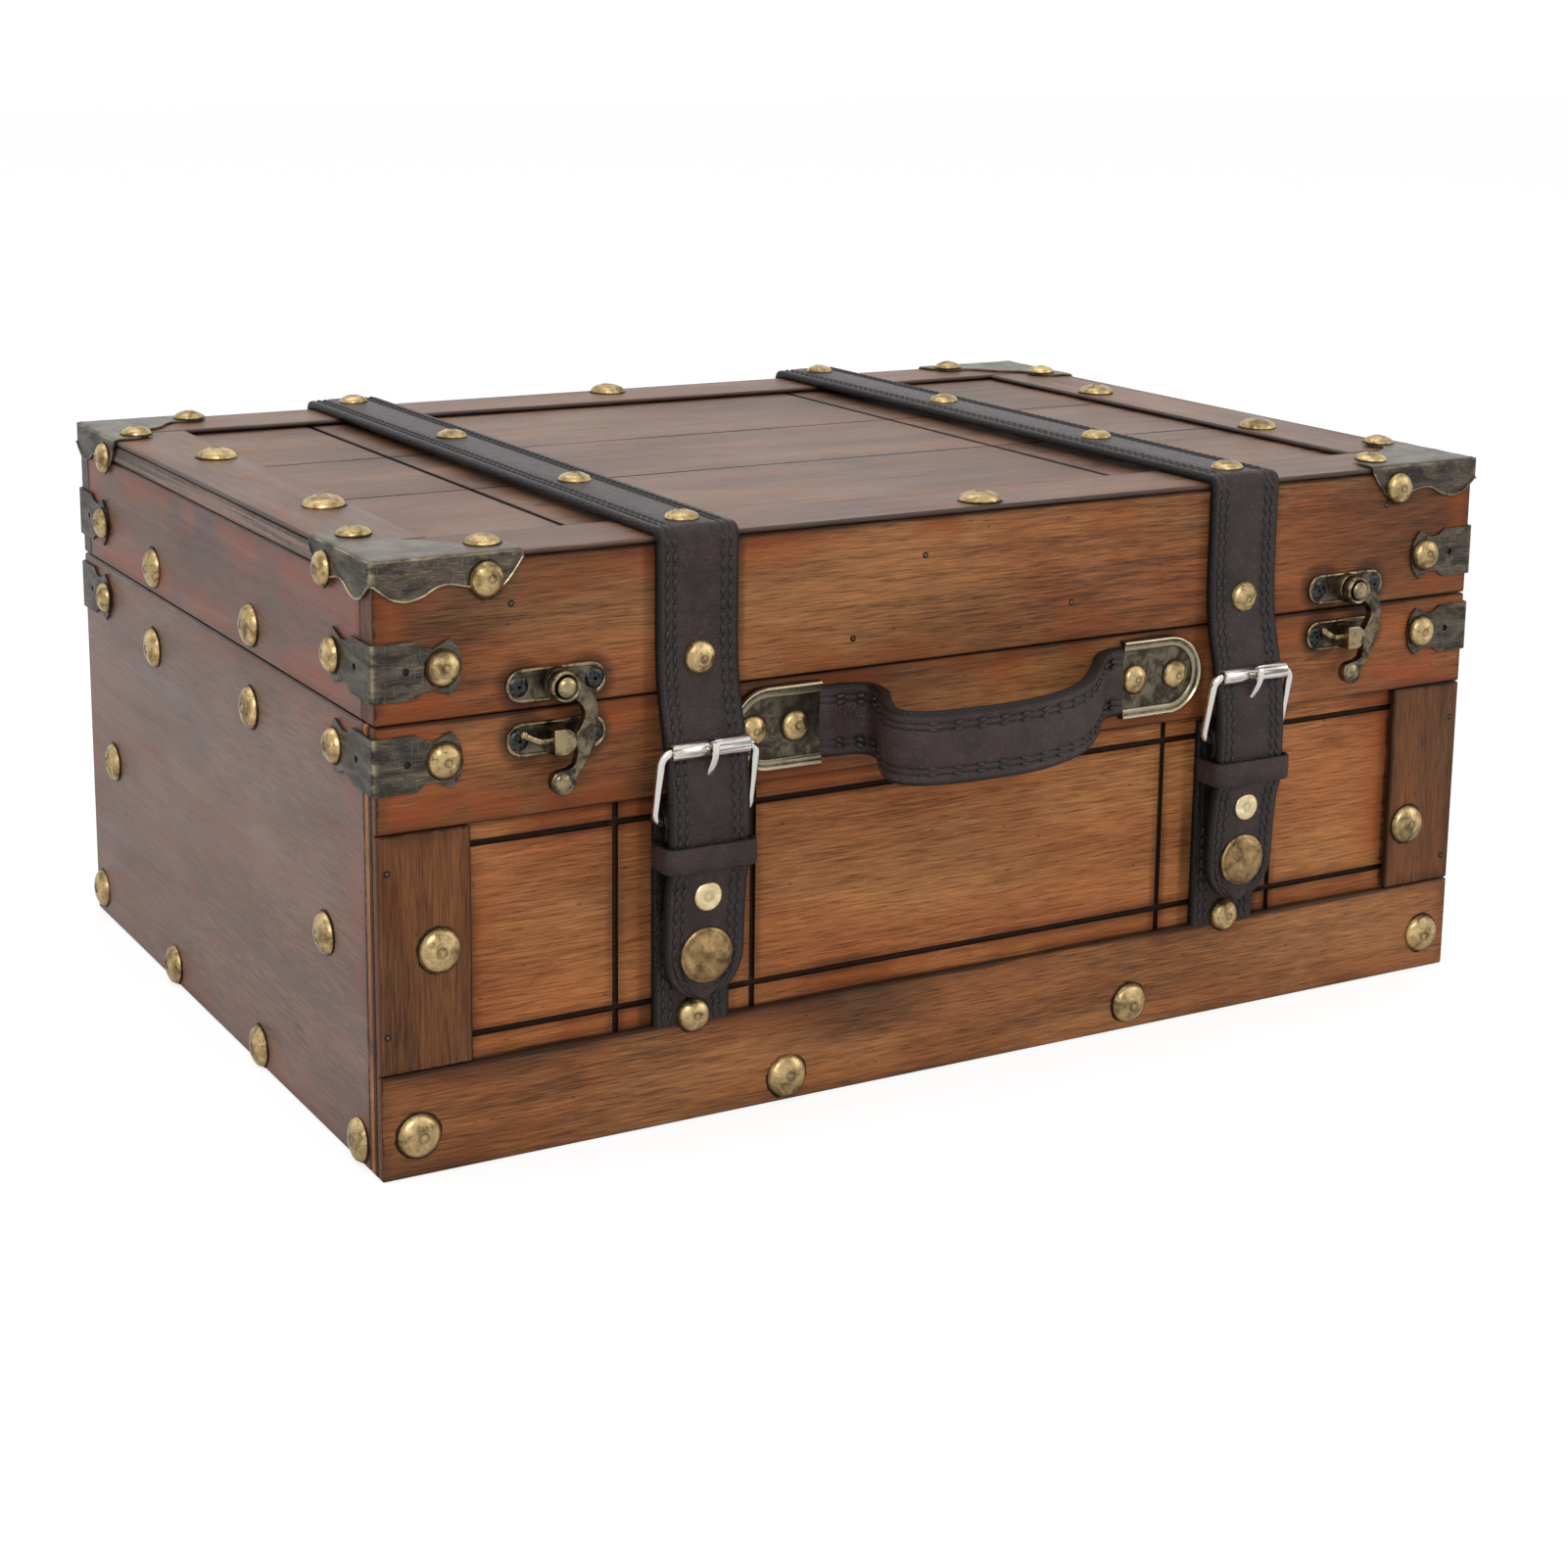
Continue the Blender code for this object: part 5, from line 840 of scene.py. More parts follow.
def add_tack(shape, matrix, dice, radius=None, height=None, steps=None):
    """A brass dome tack with a small crater at its crown, and a dark foot: painted shadow on a thin ragged
    collar round it, and painted shade low on the head.
    """
    sizes = settings().sizes
    radius = radius or sizes.tack_radius
    height = height or sizes.tack_height
    # The third number of each row is the painted value rim: 1 on the collar that lies flat round the foot,
    # which is painted shadow, then less up the head as painted shade; it also darkens a ring in the crater
    profile = [(radius * 0.86, -0.0004, 1.0), (radius * 1.09, -0.00005, 1.0), (radius * 1.07, 0.00008, 1.0),
               (radius * 0.985, 0.00010, 1.0), (radius, 0.00035, 0.55), (radius * 0.985, 0.0006, 0.10),
               (radius * 0.93, height * 0.40, 0.0)]
    for angle in (30, 44, 57):
        turn = math.radians(angle)
        profile.append((radius * math.cos(turn) * 1.03, height * (0.08 + 0.90 * math.sin(turn)), 0.0))
    profile += [(radius * 0.40, height * 0.945, 0.0), (radius * 0.29, height * 0.975, 0.10),
                (radius * 0.235, height * 0.93, 0.60), (radius * 0.17, height * 0.90, 0.45),
                (radius * 0.08, height * 0.925, 0.05), (0, height * 0.935, 0.0)]
    with adding_to(shape) as tack:
        turned(tack, profile, steps or sizes.tack_steps, Matrix.Rotation(dice.uniform(0, math.tau), 4, "Z"))
        shift = Vector((dice.uniform(0, 50), 0, 0))
        for vert in tack.verts:
            if vert.co.z > height * 0.5:
                vert.co.z += height * 0.06 * noise.noise(vert.co * 420 + shift)
            elif vert.co.xy.length > radius * 1.03:
                vert.co.xy *= 1 + 0.09 * noise.noise(vert.co * 900 + shift)
        crown = Vector((dice.uniform(-0.09, 0.09), dice.uniform(-0.09, 0.09), 0)) * radius
        for vert in tack.verts:
            if vert.co.xy.length < radius * 0.45:
                vert.co += crown
        lean = Matrix.Rotation(dice.uniform(-0.03, 0.03), 4, "X")
        lean = lean @ Matrix.Rotation(dice.uniform(-0.03, 0.03), 4, "Y")
        bmesh.ops.transform(tack, matrix=matrix @ lean, verts=tack.verts)
        for vert in tack.verts:
            vert.co.z = max(vert.co.z, 0.0002)


class TRUNK_OT_boards(bpy.types.Operator):
    """Give every board of the base and the lid its stained, grained finish"""

    bl_idname = "storage_trunk.boards"
    bl_label = "Boards"

    def execute(self, context):
        colours = settings().colours
        front, panel, side, top = (
            (tuple(getattr(colours, part + "_pale")), tuple(getattr(colours, part + "_dark")))
            for part in ("front", "panel", "side", "top"))
        raw = (tuple(colours.raw_wood), tuple(value * 0.55 for value in colours.raw_wood))
        stile = tuple(tuple(value * 0.52 for value in colour) for colour in front)
        lid_side = ((0.195, 0.088, 0.056), (0.070, 0.032, 0.023))
        width = (0, -HALF_WIDTH, HALF_WIDTH)
        length = (1, -0.1146, HALF_DEPTH + 0.0012)
        lid_length = (1, -0.1148, 0.1148)
        lid_height = (2, SEAM, 0.1509)
        base = (2, 0.0, BASE_TOP)
        lid = (2, SEAM + 0.0002, BOARD_TOP)
        latch_stains = [(Vector((across, -HALF_DEPTH, height)), 0.0085, 0.55)
                        for across in LATCH_STAINS for height in (LATCH_HEIGHT, CATCH_HEIGHT)]
        cap_stains = [(Vector((across, -HALF_DEPTH, HANDLE_HEIGHT)), 0.0135, 0.6) for across in CAP_STAINS]
        strap_stains = [(0, middle + shift, 0.0030)
                        for middle in STRAP_MIDDLES for shift in (-STRAP_STAIN, STRAP_STAIN)]
        uprights = [(0, middle, 0.0036) for middle in UPRIGHT_GROOVES]
        levels = [(2, height, 0.0034) for height in LEVEL_GROOVES]
        planks = [(0, middle, 0.0030) for middle in UPRIGHT_GROOVES]
        planks += [(1, middle, 0.0022) for middle in PLANK_LINES]
        stile_height = (2, 0.0278, 0.0897)
        strip_depth = (1, -0.0967, 0.0967)
        worn_stile = dict(red=0.15, olive=1.0, warm=0.3, ends=True)
        dull = dict(gloss=0.44, olive=0.45, sheen=0.38, contrast=2.1, warm=0.5)
        plans = {
            "base_front_panel": (*panel, 0, 1.3, dict(
                edges=((0, -PANEL_END, PANEL_END), (2, 0.0272, RAIL_LOW + 0.0003)),
                red=0.6, ribs=0.7, olive=0.3, warm=0.5, lines=uprights + levels + strap_stains,
                sunk=(1, PANEL_FACE + 0.0002, PANEL_FACE + 0.0006))),
            "base_top_rail": (*front, 0, 4.7, dict(
                edges=(width, (2, RAIL_LOW, BASE_TOP)), red=0.7, ends=True,
                spots=latch_stains + cap_stains, lines=strap_stains)),
            "base_bottom_rail": (*front, 0, 8.1, dict(
                edges=(width, (2, 0.0, 0.0275)), red=0.2, olive=1.0, warm=0.35, ends=True)),
            "base_left_stile": (*stile, 2, 2.9, dict(
                edges=((0, -HALF_WIDTH, -PANEL_END), stile_height), **worn_stile)),
            "base_right_stile": (*stile, 2, 6.3, dict(
                edges=((0, PANEL_END, HALF_WIDTH), stile_height), **worn_stile)),
            "base_left_side": (*side, 1, 3.3, dict(edges=(length, base), red=0.35, **dull)),
            "base_right_side": (*side, 1, 5.9, dict(edges=(length, base), red=0.35, **dull)),
            "base_back_board": (*side, 0, 7.7, dict(edges=((0, -0.1682, 0.1682), base), red=0.25, **dull)),
            "base_bottom_board": (*raw, 0, 9.1, dict(edges=((0, -0.168, 0.168),))),
            "lid_front_wall": (*front, 0, 1.9, dict(
                edges=(width, lid), red=0.6, spots=latch_stains, ends=True, lines=strap_stains)),
            "lid_back_wall": (*side, 0, 3.7, dict(edges=(width, lid), red=0.3, **dull)),
            "lid_left_wall": (*lid_side, 1, 6.6, dict(edges=(lid_length, lid_height), red=0.65, **dull)),
            "lid_right_wall": (*lid_side, 1, 8.8, dict(edges=(lid_length, lid_height), red=0.65, **dull)),
            "lid_top_board": (*top, 0, 2.4, dict(
                edges=((0, -TOP_END, TOP_END), (1, -TOP_SIDE, TOP_SIDE)), red=0.15, layers=True,
                lines=planks, sunk=(2, BOARD_TOP - 0.0002, BOARD_TOP - 0.0006), **dull)),
            "lid_front_strip": (*top, 0, 4.2, dict(
                edges=(width, (1, -HALF_DEPTH, -TOP_SIDE)), red=0.25, **dull)),
            "lid_back_strip": (*top, 0, 5.1, dict(
                edges=(width, (1, TOP_SIDE, HALF_DEPTH)), red=0.25, **dull)),
            "lid_left_strip": (*top, 1, 7.2, dict(
                edges=((0, -HALF_WIDTH, -TOP_END), strip_depth), red=0.25, **dull)),
            "lid_right_strip": (*top, 1, 9.6, dict(
                edges=((0, TOP_END, HALF_WIDTH), strip_depth), red=0.25, **dull)),
        }
        for node, (pale, dark, axis, seed, more) in plans.items():
            refinish(node, stained_wood(node + "_stain", pale, dark, axis, seed, **more))
        return {"FINISHED"}


class TRUNK_OT_tacks(bpy.types.Operator):
    """Add the brass dome tacks of the boards, brackets and guards"""

    bl_idname = "storage_trunk.tacks"
    bl_label = "Dome Tacks"

    def execute(self, context):
        dice = random.Random(11)
        small = settings().sizes.small_tack_radius
        fixed = new_shape()
        for across, height in RAIL_TACKS + STILE_TACKS:
            add_tack(fixed, on_front(across, height), dice)
        add_tack_rows(fixed, dice, SIDE_TACKS, BRACKET_HEIGHTS[0])
        for middle in STRAP_MIDDLES:
            add_tack(fixed, on_front(middle, BASE_STRAP_TACK, 0.0003), dice, small)
        add_piece("base_tacks", fixed, "base", [antique_brass()], smooth=60)
        moving = new_shape()
        add_tack_rows(moving, dice, LID_SIDE_TACKS, BRACKET_HEIGHTS[1])
        for across, depth in STRIP_TACKS:
            add_tack(moving, outward_place(Vector((across, depth, TOP)), UP), dice)
        for side in (-1, 1):
            for end in (-1, 1):
                add_guard_tacks(moving, dice, side, end)
        for middle, height in zip(STRAP_MIDDLES, STRAP_FRONT_TACKS):
            for depth in STRAP_TOP_TACKS:
                spot = Vector((middle, depth, TOP + STRAP_OUT))
                add_tack(moving, outward_place(spot, UP), dice, small, TOP_TACK_HEIGHT)
            add_tack(moving, on_front(middle, height, STRAP_OUT), dice, small)
            back = Vector((middle, HALF_DEPTH + STRAP_OUT, STRAP_BACK_TACK))
            add_tack(moving, outward_place(back, BACK), dice, small)
        add_piece("lid_tacks", moving, "lid", [antique_brass()], smooth=60)
        return {"FINISHED"}


class TRUNK_OT_nails(bpy.types.Operator):
    """Add the small heads of the brad nails in the front boards"""

    bl_idname = "storage_trunk.nails"
    bl_label = "Brad Nails"

    def execute(self, context):
        profile = [(0, -0.0004, 0.0), (0.0009, -0.0003, 1.0), (0.0009, 0.00004, 1.0), (0.0006, 0.00006, 1.0),
                   (0.00045, 0.00012, 0.35), (0, 0.00013, 0.2)]
        iron = aged_metal("nail_iron", (0.16, 0.14, 0.12), (0.05, 0.04, 0.03))
        for body, places in (("base", BASE_NAILS), ("lid", LID_NAILS)):
            heads = new_shape()
            for across, height in places:
                turned(heads, profile, 10, on_front(across, height))
            add_piece(body + "_nails", heads, body, [iron], (), 60)
        return {"FINISHED"}


def add_tack_rows(shape, dice, places, bracket_height):
    """Tacks of both side boards and of the brackets at one height."""
    small = settings().sizes.small_tack_radius
    for side in (-1, 1):
        for depth, height in places:
            add_tack(shape, outward_place(Vector((side * HALF_WIDTH, depth, height)), side * RIGHT), dice)
        for end in (-1, 1):
            flank = Vector((side * (HALF_WIDTH + SHEET_OUT), end * BRACKET_SIDE_TACK, bracket_height))
            add_tack(shape, outward_place(flank, side * RIGHT), dice, small)
            face = Vector((side * BRACKET_FRONT_TACK, end * (HALF_DEPTH + SHEET_OUT), bracket_height))
            add_tack(shape, outward_place(face, end * BACK), dice, small)


def add_guard_tacks(shape, dice, side, end):
    """The four tacks of one corner guard."""
    small = settings().sizes.small_tack_radius
    corner = Vector((side * HALF_WIDTH, end * HALF_DEPTH, TOP))
    drop = GUARD_TACK_DROP * UP
    face = corner - side * GUARD_TACK * RIGHT + end * SHEET_OUT * BACK - drop
    add_tack(shape, outward_place(face, end * BACK), dice, small)
    flank = corner - end * GUARD_TACK * BACK + side * SHEET_OUT * RIGHT - drop
    add_tack(shape, outward_place(flank, side * RIGHT), dice, small)
    far, near = GUARD_TOP_TACK
    for across, depth in ((far, near), (near, far)):
        spot = corner - side * across * RIGHT - end * depth * BACK + SHEET_OUT * UP
        add_tack(shape, outward_place(spot, UP), dice, small, TOP_TACK_HEIGHT)


# A guard's hem and the lobe on its top: shares along the arm, and shares of the drop or of the arm
GUARD_HEM = smooth_pairs(((0.0, 0.55), (0.05, 0.73), (0.12, 0.92), (0.215, 1.0), (0.32, 0.91),
                          (0.42, 0.71), (0.50, 0.665), (0.60, 0.74), (0.75, 0.88), (0.86, 0.80),
                          (0.95, 0.40), (1.0, 0.08)))
GUARD_LOBE = smooth_pairs(((0.505, 0.505), (0.60, 0.36), (0.69, 0.29), (0.85, 0.30), (0.98, 0.16),
                           (1.0, 0.0)))
GUARD_ARM = 0.0394
GUARD_DROP = 0.0098
GUARD_LEAST = 0.15
GUARD_FOLD = 0.0016

# How a guard's grid is shared out over its top, the bend at the edge and its side
TOP_SHARE = 0.42
BEND_SHARE = 0.18
SIDE_SHARE = 0.40


def read_route(route, share):
    """The second number of a row of pairs, at a share along the first one."""
    for (low, before), (high, after) in zip(route, route[1:]):
        if low <= share <= high:
            return before + (after - before) * (share - low) / (high - low)
    return route[-1][1] if share > route[-1][0] else route[0][1]


def guard_point(along, across):
    """A place on one half of a guard: along its arm, and across from its top's lobe to its hem."""
    reach = GUARD_ARM * along
    drop = GUARD_DROP * max(read_route(GUARD_HEM, along), GUARD_LEAST)
    lobe = reach if along < GUARD_LOBE[0][0] else GUARD_ARM * read_route(GUARD_LOBE, along)
    out = SHEET_OUT
    if across <= TOP_SHARE:
        deep = max(lobe, -out + GUARD_FOLD)
        inward = deep + (GUARD_FOLD - out - deep) * (across / TOP_SHARE)
        return Vector((reach, inward, out))
    if across <= 1 - SIDE_SHARE:
        turn = math.pi / 2 * (across - TOP_SHARE) / BEND_SHARE
        return Vector((reach, GUARD_FOLD - out - GUARD_FOLD * math.sin(turn),
                       out - GUARD_FOLD + GUARD_FOLD * math.cos(turn)))
    share = (across - 1 + SIDE_SHARE) / SIDE_SHARE
    low = min(-drop, out - GUARD_FOLD - 0.0002)
    height = out - GUARD_FOLD + (low - out + GUARD_FOLD) * share
    swell = 1 - abs(along - 0.22) * 2 if along < 0.7 else 0.1
    puff = 0.00025 * math.sin(math.pi * min(share * 1.1, 1)) * swell
    return Vector((reach, -out - max(puff, 0), height))


def put_in_corner(shape, side, end, height):
    """Move metal that is bent round the origin to a corner of the trunk, facing out."""
    corner = Vector((side * HALF_WIDTH, end * HALF_DEPTH, height))
    flip = Matrix.Diagonal((-side, -end, 1, 1))
    bmesh.ops.transform(shape, matrix=Matrix.Translation(corner) @ flip, verts=shape.verts)
    if side * end < 0:
        bmesh.ops.reverse_faces(shape, faces=shape.faces)
    return corner


def add_guard(side, end):
    """A pressed guard: one half is bent from a grid, mirrored in the corner and given its sheet."""
    half = new_shape()
    worn = half.verts.layers.float["worn"]
    rubbed = {(-1, -1): 1.0, (1, -1): 0.45}.get((side, end), 0.7)
    bmesh.ops.create_grid(half, x_segments=52, y_segments=34, size=0.5)
    for vert in half.verts:
        along = min(max(vert.co.x + 0.5, 0), 1)
        across = min(max(vert.co.y + 0.5, 0), 1)
        point = guard_point(along, across)
        wobble = noise.noise(Vector((point.x * 160, point.y * 160, point.z * 160 + side + end * 2)))
        # Rubbed bright along the bend, along the hem and the rim, and down the corner. The band along the
        # bend is wear together with a painted highlight
        if 0.50 < across < 0.54:
            vert[worn] = (0.65 + 0.6 * wobble) * rubbed
        elif across > 0.975 or (across < 0.01 and along > 0.5) or along > 0.99:
            vert[worn] = (0.50 + 0.5 * wobble) * rubbed
        elif along < 0.004 and across > 0.54:
            vert[worn] = (0.55 + 0.5 * wobble) * rubbed
        point.z += 0.00012 * wobble
        vert.co = point
    below = SHEET_OUT - GUARD_FOLD * 0.2
    stretch = [vert for vert in half.verts if vert.co.x < 0.00001 and vert.co.z < below]
    for vert in stretch:
        vert.co.x = -SHEET_OUT * 0.75
        vert.co.y = -SHEET_OUT * 0.75
    bmesh.ops.remove_doubles(half, verts=half.verts, dist=1e-6)
    other = half.copy()
    mirror = Matrix(((0, 1, 0, 0), (1, 0, 0, 0), (0, 0, 1, 0), (0, 0, 0, 1)))
    bmesh.ops.transform(other, matrix=mirror, verts=other.verts)
    join(half, other)
    bmesh.ops.remove_doubles(half, verts=half.verts, dist=0.00012)
    bmesh.ops.dissolve_degenerate(half, edges=half.edges, dist=1e-6)
    bmesh.ops.recalc_face_normals(half, faces=half.faces)
    top = max(half.faces, key=lambda face: face.calc_center_median().z + abs(face.normal.z))
    if top.normal.z < 0:
        bmesh.ops.reverse_faces(half, faces=half.faces)
    bmesh.ops.solidify(half, geom=half.faces, thickness=SHEET_THICKNESS)
    corner = put_in_corner(half, side, end, TOP)
    for swap in (False, True):
        path = []
        for along, drop in GUARD_HEM:
            point = Vector((GUARD_ARM * along, -SHEET_OUT - 0.0001, -GUARD_DROP * max(drop, GUARD_LEAST)))
            if along == 0:
                point.x = -SHEET_OUT * 0.7
            if swap:
                point = Vector((point.y, point.x, point.z))
            path.append(corner + Vector((-side * point.x, -end * point.y, point.z)))
        across = (side * RIGHT) if swap else (end * BACK)
        loft(half, circle_section(0.00030, 8), stations_along(path, across), values=[0.9 * rubbed] * 8,
             names=("worn",))
    return half


class TRUNK_OT_corner_guards(bpy.types.Operator):
    """Add the four pressed guards on the top corners"""

    bl_idname = "storage_trunk.corner_guards"
    bl_label = "Corner Guards"

    def execute(self, context):
        for side, end, label in CORNERS:
            node = "corner_guard_" + label
            add_piece(node + "_pressed", add_guard(side, end), "lid", [blackened_steel()], (node,),
                      45)
        return {"FINISHED"}


# A bracket: its upper edge in shares of an arm and of half its height, its arms, and where its holes are
BRACKET_OUTLINE = ((0.47, 1.0), (0.56, 0.76), (0.68, 0.70), (0.865, 1.0), (0.965, 0.58))
BRACKET_ARMS = (0.0236, 0.0290)
BRACKET_HEIGHT = 0.0144
BRACKET_HOLE = 0.37


def add_bracket(side, end, height):
    """A bracket cut flat with its two holes, bent round the corner and given its sheet."""
    shape = new_shape()
    worn = shape.verts.layers.float["worn"]
    half = BRACKET_HEIGHT / 2
    face, flank = BRACKET_ARMS
    outline = [(face * along, half * rise) for along, rise in BRACKET_OUTLINE]
    outline += [(face, 0.0)]
    outline += [(face * along, -half * rise) for along, rise in reversed(BRACKET_OUTLINE)]
    outline += [(-flank * along, -half * rise) for along, rise in BRACKET_OUTLINE]
    outline += [(-flank, 0.0)]
    outline += [(-flank * along, half * rise) for along, rise in reversed(BRACKET_OUTLINE)]
    dense = []
    for index, (across, up) in enumerate(outline):
        following = outline[(index + 1) % len(outline)]
        for step in range(8):
            share = step / 8
            point = Vector((across + (following[0] - across) * share, up + (following[1] - up) * share, 0))
            jag = noise.noise(Vector((point.x * 700 + side * 9, point.y * 700 + end * 5, height * 900)))
            point.y += 0.00016 * jag
            dense.append(point)
    edges = []
    for loop in [dense] + [[Vector((x, y, 0)) for x, y in arc((middle, 0), 0.00095, 0, 360, 14)[:-1]]
                           for middle in (face * BRACKET_HOLE, -flank * BRACKET_HOLE)]:
        ring = [shape.verts.new(point) for point in loop]
        edges += [shape.edges.new(pair) for pair in zip(ring, ring[1:] + ring[:1])]
    bmesh.ops.triangle_fill(shape, use_beauty=True, edges=edges)
    cuts = [(cut * RIGHT, RIGHT) for cut in (-0.0024, -0.0014, -0.0007, -0.0002, 0.0002, 0.0007, 0.0014,
                                             0.0024)]
    cuts += [(level * BACK, BACK) for level in (-0.004, 0.0, 0.004)]
    for place, square in cuts:
        bmesh.ops.bisect_plane(shape, geom=shape.verts[:] + shape.edges[:] + shape.faces[:],
                               plane_co=place, plane_no=square, dist=1e-7)
    radius = 0.0012
    reach = radius * math.pi / 4
    out = SHEET_OUT
    for vert in shape.verts:
        along, up = vert.co.x, vert.co.y
        if along >= reach:
            vert.co = Vector((along - reach + radius - out, -out, up))
        elif along <= -reach:
            vert.co = Vector((-out, -along - reach + radius - out, up))
        else:
            turn = math.pi / 4 - along / radius
            inset = radius - out
            vert.co = Vector((inset - radius * math.sin(turn), inset - radius * math.cos(turn), up))
            vert[worn] = 0.55 if abs(along) < 0.0003 else 0.12
    bmesh.ops.recalc_face_normals(shape, faces=shape.faces)
    sample = min(shape.faces, key=lambda part: part.calc_center_median() @ Vector((-0.01, 1, 0)))
    if sample.normal.y > 0:
        bmesh.ops.reverse_faces(shape, faces=shape.faces)
    bmesh.ops.solidify(shape, geom=shape.faces, thickness=SHEET_THICKNESS)
    corner = put_in_corner(shape, side, end, height)
    shift = radius - out - reach
    # A near-black disc in each hole, painted shade in place of the wood that shows through
    plug = [(0, 0.00004, 0.0), (0.0013, 0.00004, 0.0), (0.0013, 0.00016, 0.0), (0, 0.00016, 0.0)]
    for away, outward in ((side * (face * BRACKET_HOLE + shift) * RIGHT, end * BACK),
                          (end * (flank * BRACKET_HOLE + shift) * BACK, side * RIGHT)):
        turned(shape, plug, 12, outward_place(corner - away, outward), material=1)
    return shape


class TRUNK_OT_corner_brackets(bpy.types.Operator):
    """Add the eight folded brackets above and below the seam"""

    bl_idname = "storage_trunk.corner_brackets"
    bl_label = "Corner Brackets"

    def execute(self, context):
        for body, height in zip(("base", "lid"), BRACKET_HEIGHTS):
            for side, end, label in CORNERS:
                node = body + "_bracket_" + label
                add_piece(node + "_folded", add_bracket(side, end, height), body,
                          [blackened_steel(), slot_dark()], (node,), 45)
        return {"FINISHED"}


def strap_section(half, thickness, crown=0.00025, rows=STITCH_INSETS):
    """A leather strap cut across: rounded edges, two stitch channels each side and a full middle."""
    outer, inner = rows
    right = [(half - 0.0004, 0.0), (half - 0.00005, thickness * 0.22), (half, thickness * 0.5),
             (half - 0.0001, thickness * 0.78), (half - 0.0006, thickness * 0.96),
             (half - 0.0015, thickness * 1.0), (half - outer + 0.0006, thickness * 0.97),
             (half - outer, thickness * 0.86),
             (half - outer - 0.0006, thickness * 0.97), (half - inner + 0.0006, thickness * 0.98),
             (half - inner, thickness * 0.87), (half - inner - 0.0007, thickness * 1.0),
             (half * 0.32, thickness + crown * 0.85), (0.0, thickness + crown)]
    left = [(-across, out) for across, out in reversed(right[:-1])]
    points = right + left
    values = []
    for across, out in points:
        side = half - abs(across)
        channel = min(abs(side - outer), abs(side - inner))
        painted = 1.0 if side < 0.0009 else (0.55 if channel < 0.0002 else 0.0)
        values.append(painted)
    return points, values


def stitch_rows(half, insets=STITCH_INSETS):
    """Where rows of stitches run on both sides of a strap's middle."""
    return [side * (half - inset) for side in (-1, 1) for inset in insets]


def sew(shape, route, across, offsets, out, pitch, length=0.44):
    """Rows of stitches along a route, a little proud of the leather's face."""
    stations = stations_along(evenly(route, pitch), across)
    for offset in offsets:
        with adding_to(shape) as row:
            for index, station in enumerate(stations[:-1]):
                middle = station.lerp(stations[index + 1], 0.5)
                lean = Matrix.Rotation(0.16 if offset > 0 else -0.16, 4, "Y")
                put = middle @ Matrix.Translation((offset, out, 0)) @ lean @ Matrix.Diagonal(
                    (STITCH_RADIUS * 1.1, STITCH_RADIUS, pitch * length, 1))
                bmesh.ops.create_uvsphere(row, u_segments=6, v_segments=5, radius=1, matrix=put)
            for face in row.faces:
                face.material_index = THREAD_SLOT


# Where the hanging tail's back face lies, from the seam to its tip: height and stand-off
TAIL_ROUTE = ((0.1300, 0.0003), (0.1250, 0.0006), (0.1210, 0.0010), (0.1173, 0.0016), (0.1148, 0.0021),
              (0.1116, 0.0030), (0.1075, 0.0042), (0.1038, 0.0050), (0.0990, 0.0062), (0.0935, 0.0070),
              (0.0880, 0.0074), (0.0830, 0.0075), (0.0790, 0.0075), (0.0750, 0.0076), (0.0715, 0.0074),
              (0.0681, 0.0062), (0.0630, 0.0056), (0.0580, 0.0051), (0.0480, 0.0047), (0.0420, 0.0045),
              (0.0361, 0.0044))


def lid_strap_route(middle):
    """Where a strap's inner face lies on the lid, from its end at the back to the seam."""
    gap = 0.0003
    bend = 0.0007
    back = HALF_DEPTH + gap
    top = TOP + gap
    path = [(back, TOP - 0.0290), (back, TOP - 0.015)]
    path += [(back - bend + across, top - bend + up) for across, up in arc((0, 0), bend, 0, 90, 5)]
    path += [(0.08, top), (0.0, top), (-0.08, top)]
    path += [(bend - back + across, top - bend + up) for across, up in arc((0, 0), bend, 90, 180, 5)]
    path += [(-back, 0.145), (-back, 0.1330)]
    corners = [Vector((middle, depth, height)) for depth, height in path]
    route = []
    for before, after in zip(corners, corners[1:]):
        count = max(int((after - before).length / 0.008), 1)
        route += [before.lerp(after, step / count) for step in range(count)]
    return route


def measured_tail(middle):
    """Points of a tail's inner face, each with the length that is left to the tip."""
    hang = smooth_route([Vector((middle, -HALF_DEPTH - out, height)) for height, out in TAIL_ROUTE], 4)
    whole = sum((after - before).length for before, after in zip(hang, hang[1:]))
    points = evenly(hang, 0.0012)
    travelled = 0.0
    measured = [(points[0], whole)]
    for before, after in zip(points, points[1:]):
        travelled += (after - before).length
        measured.append((after, whole - travelled))
    return measured


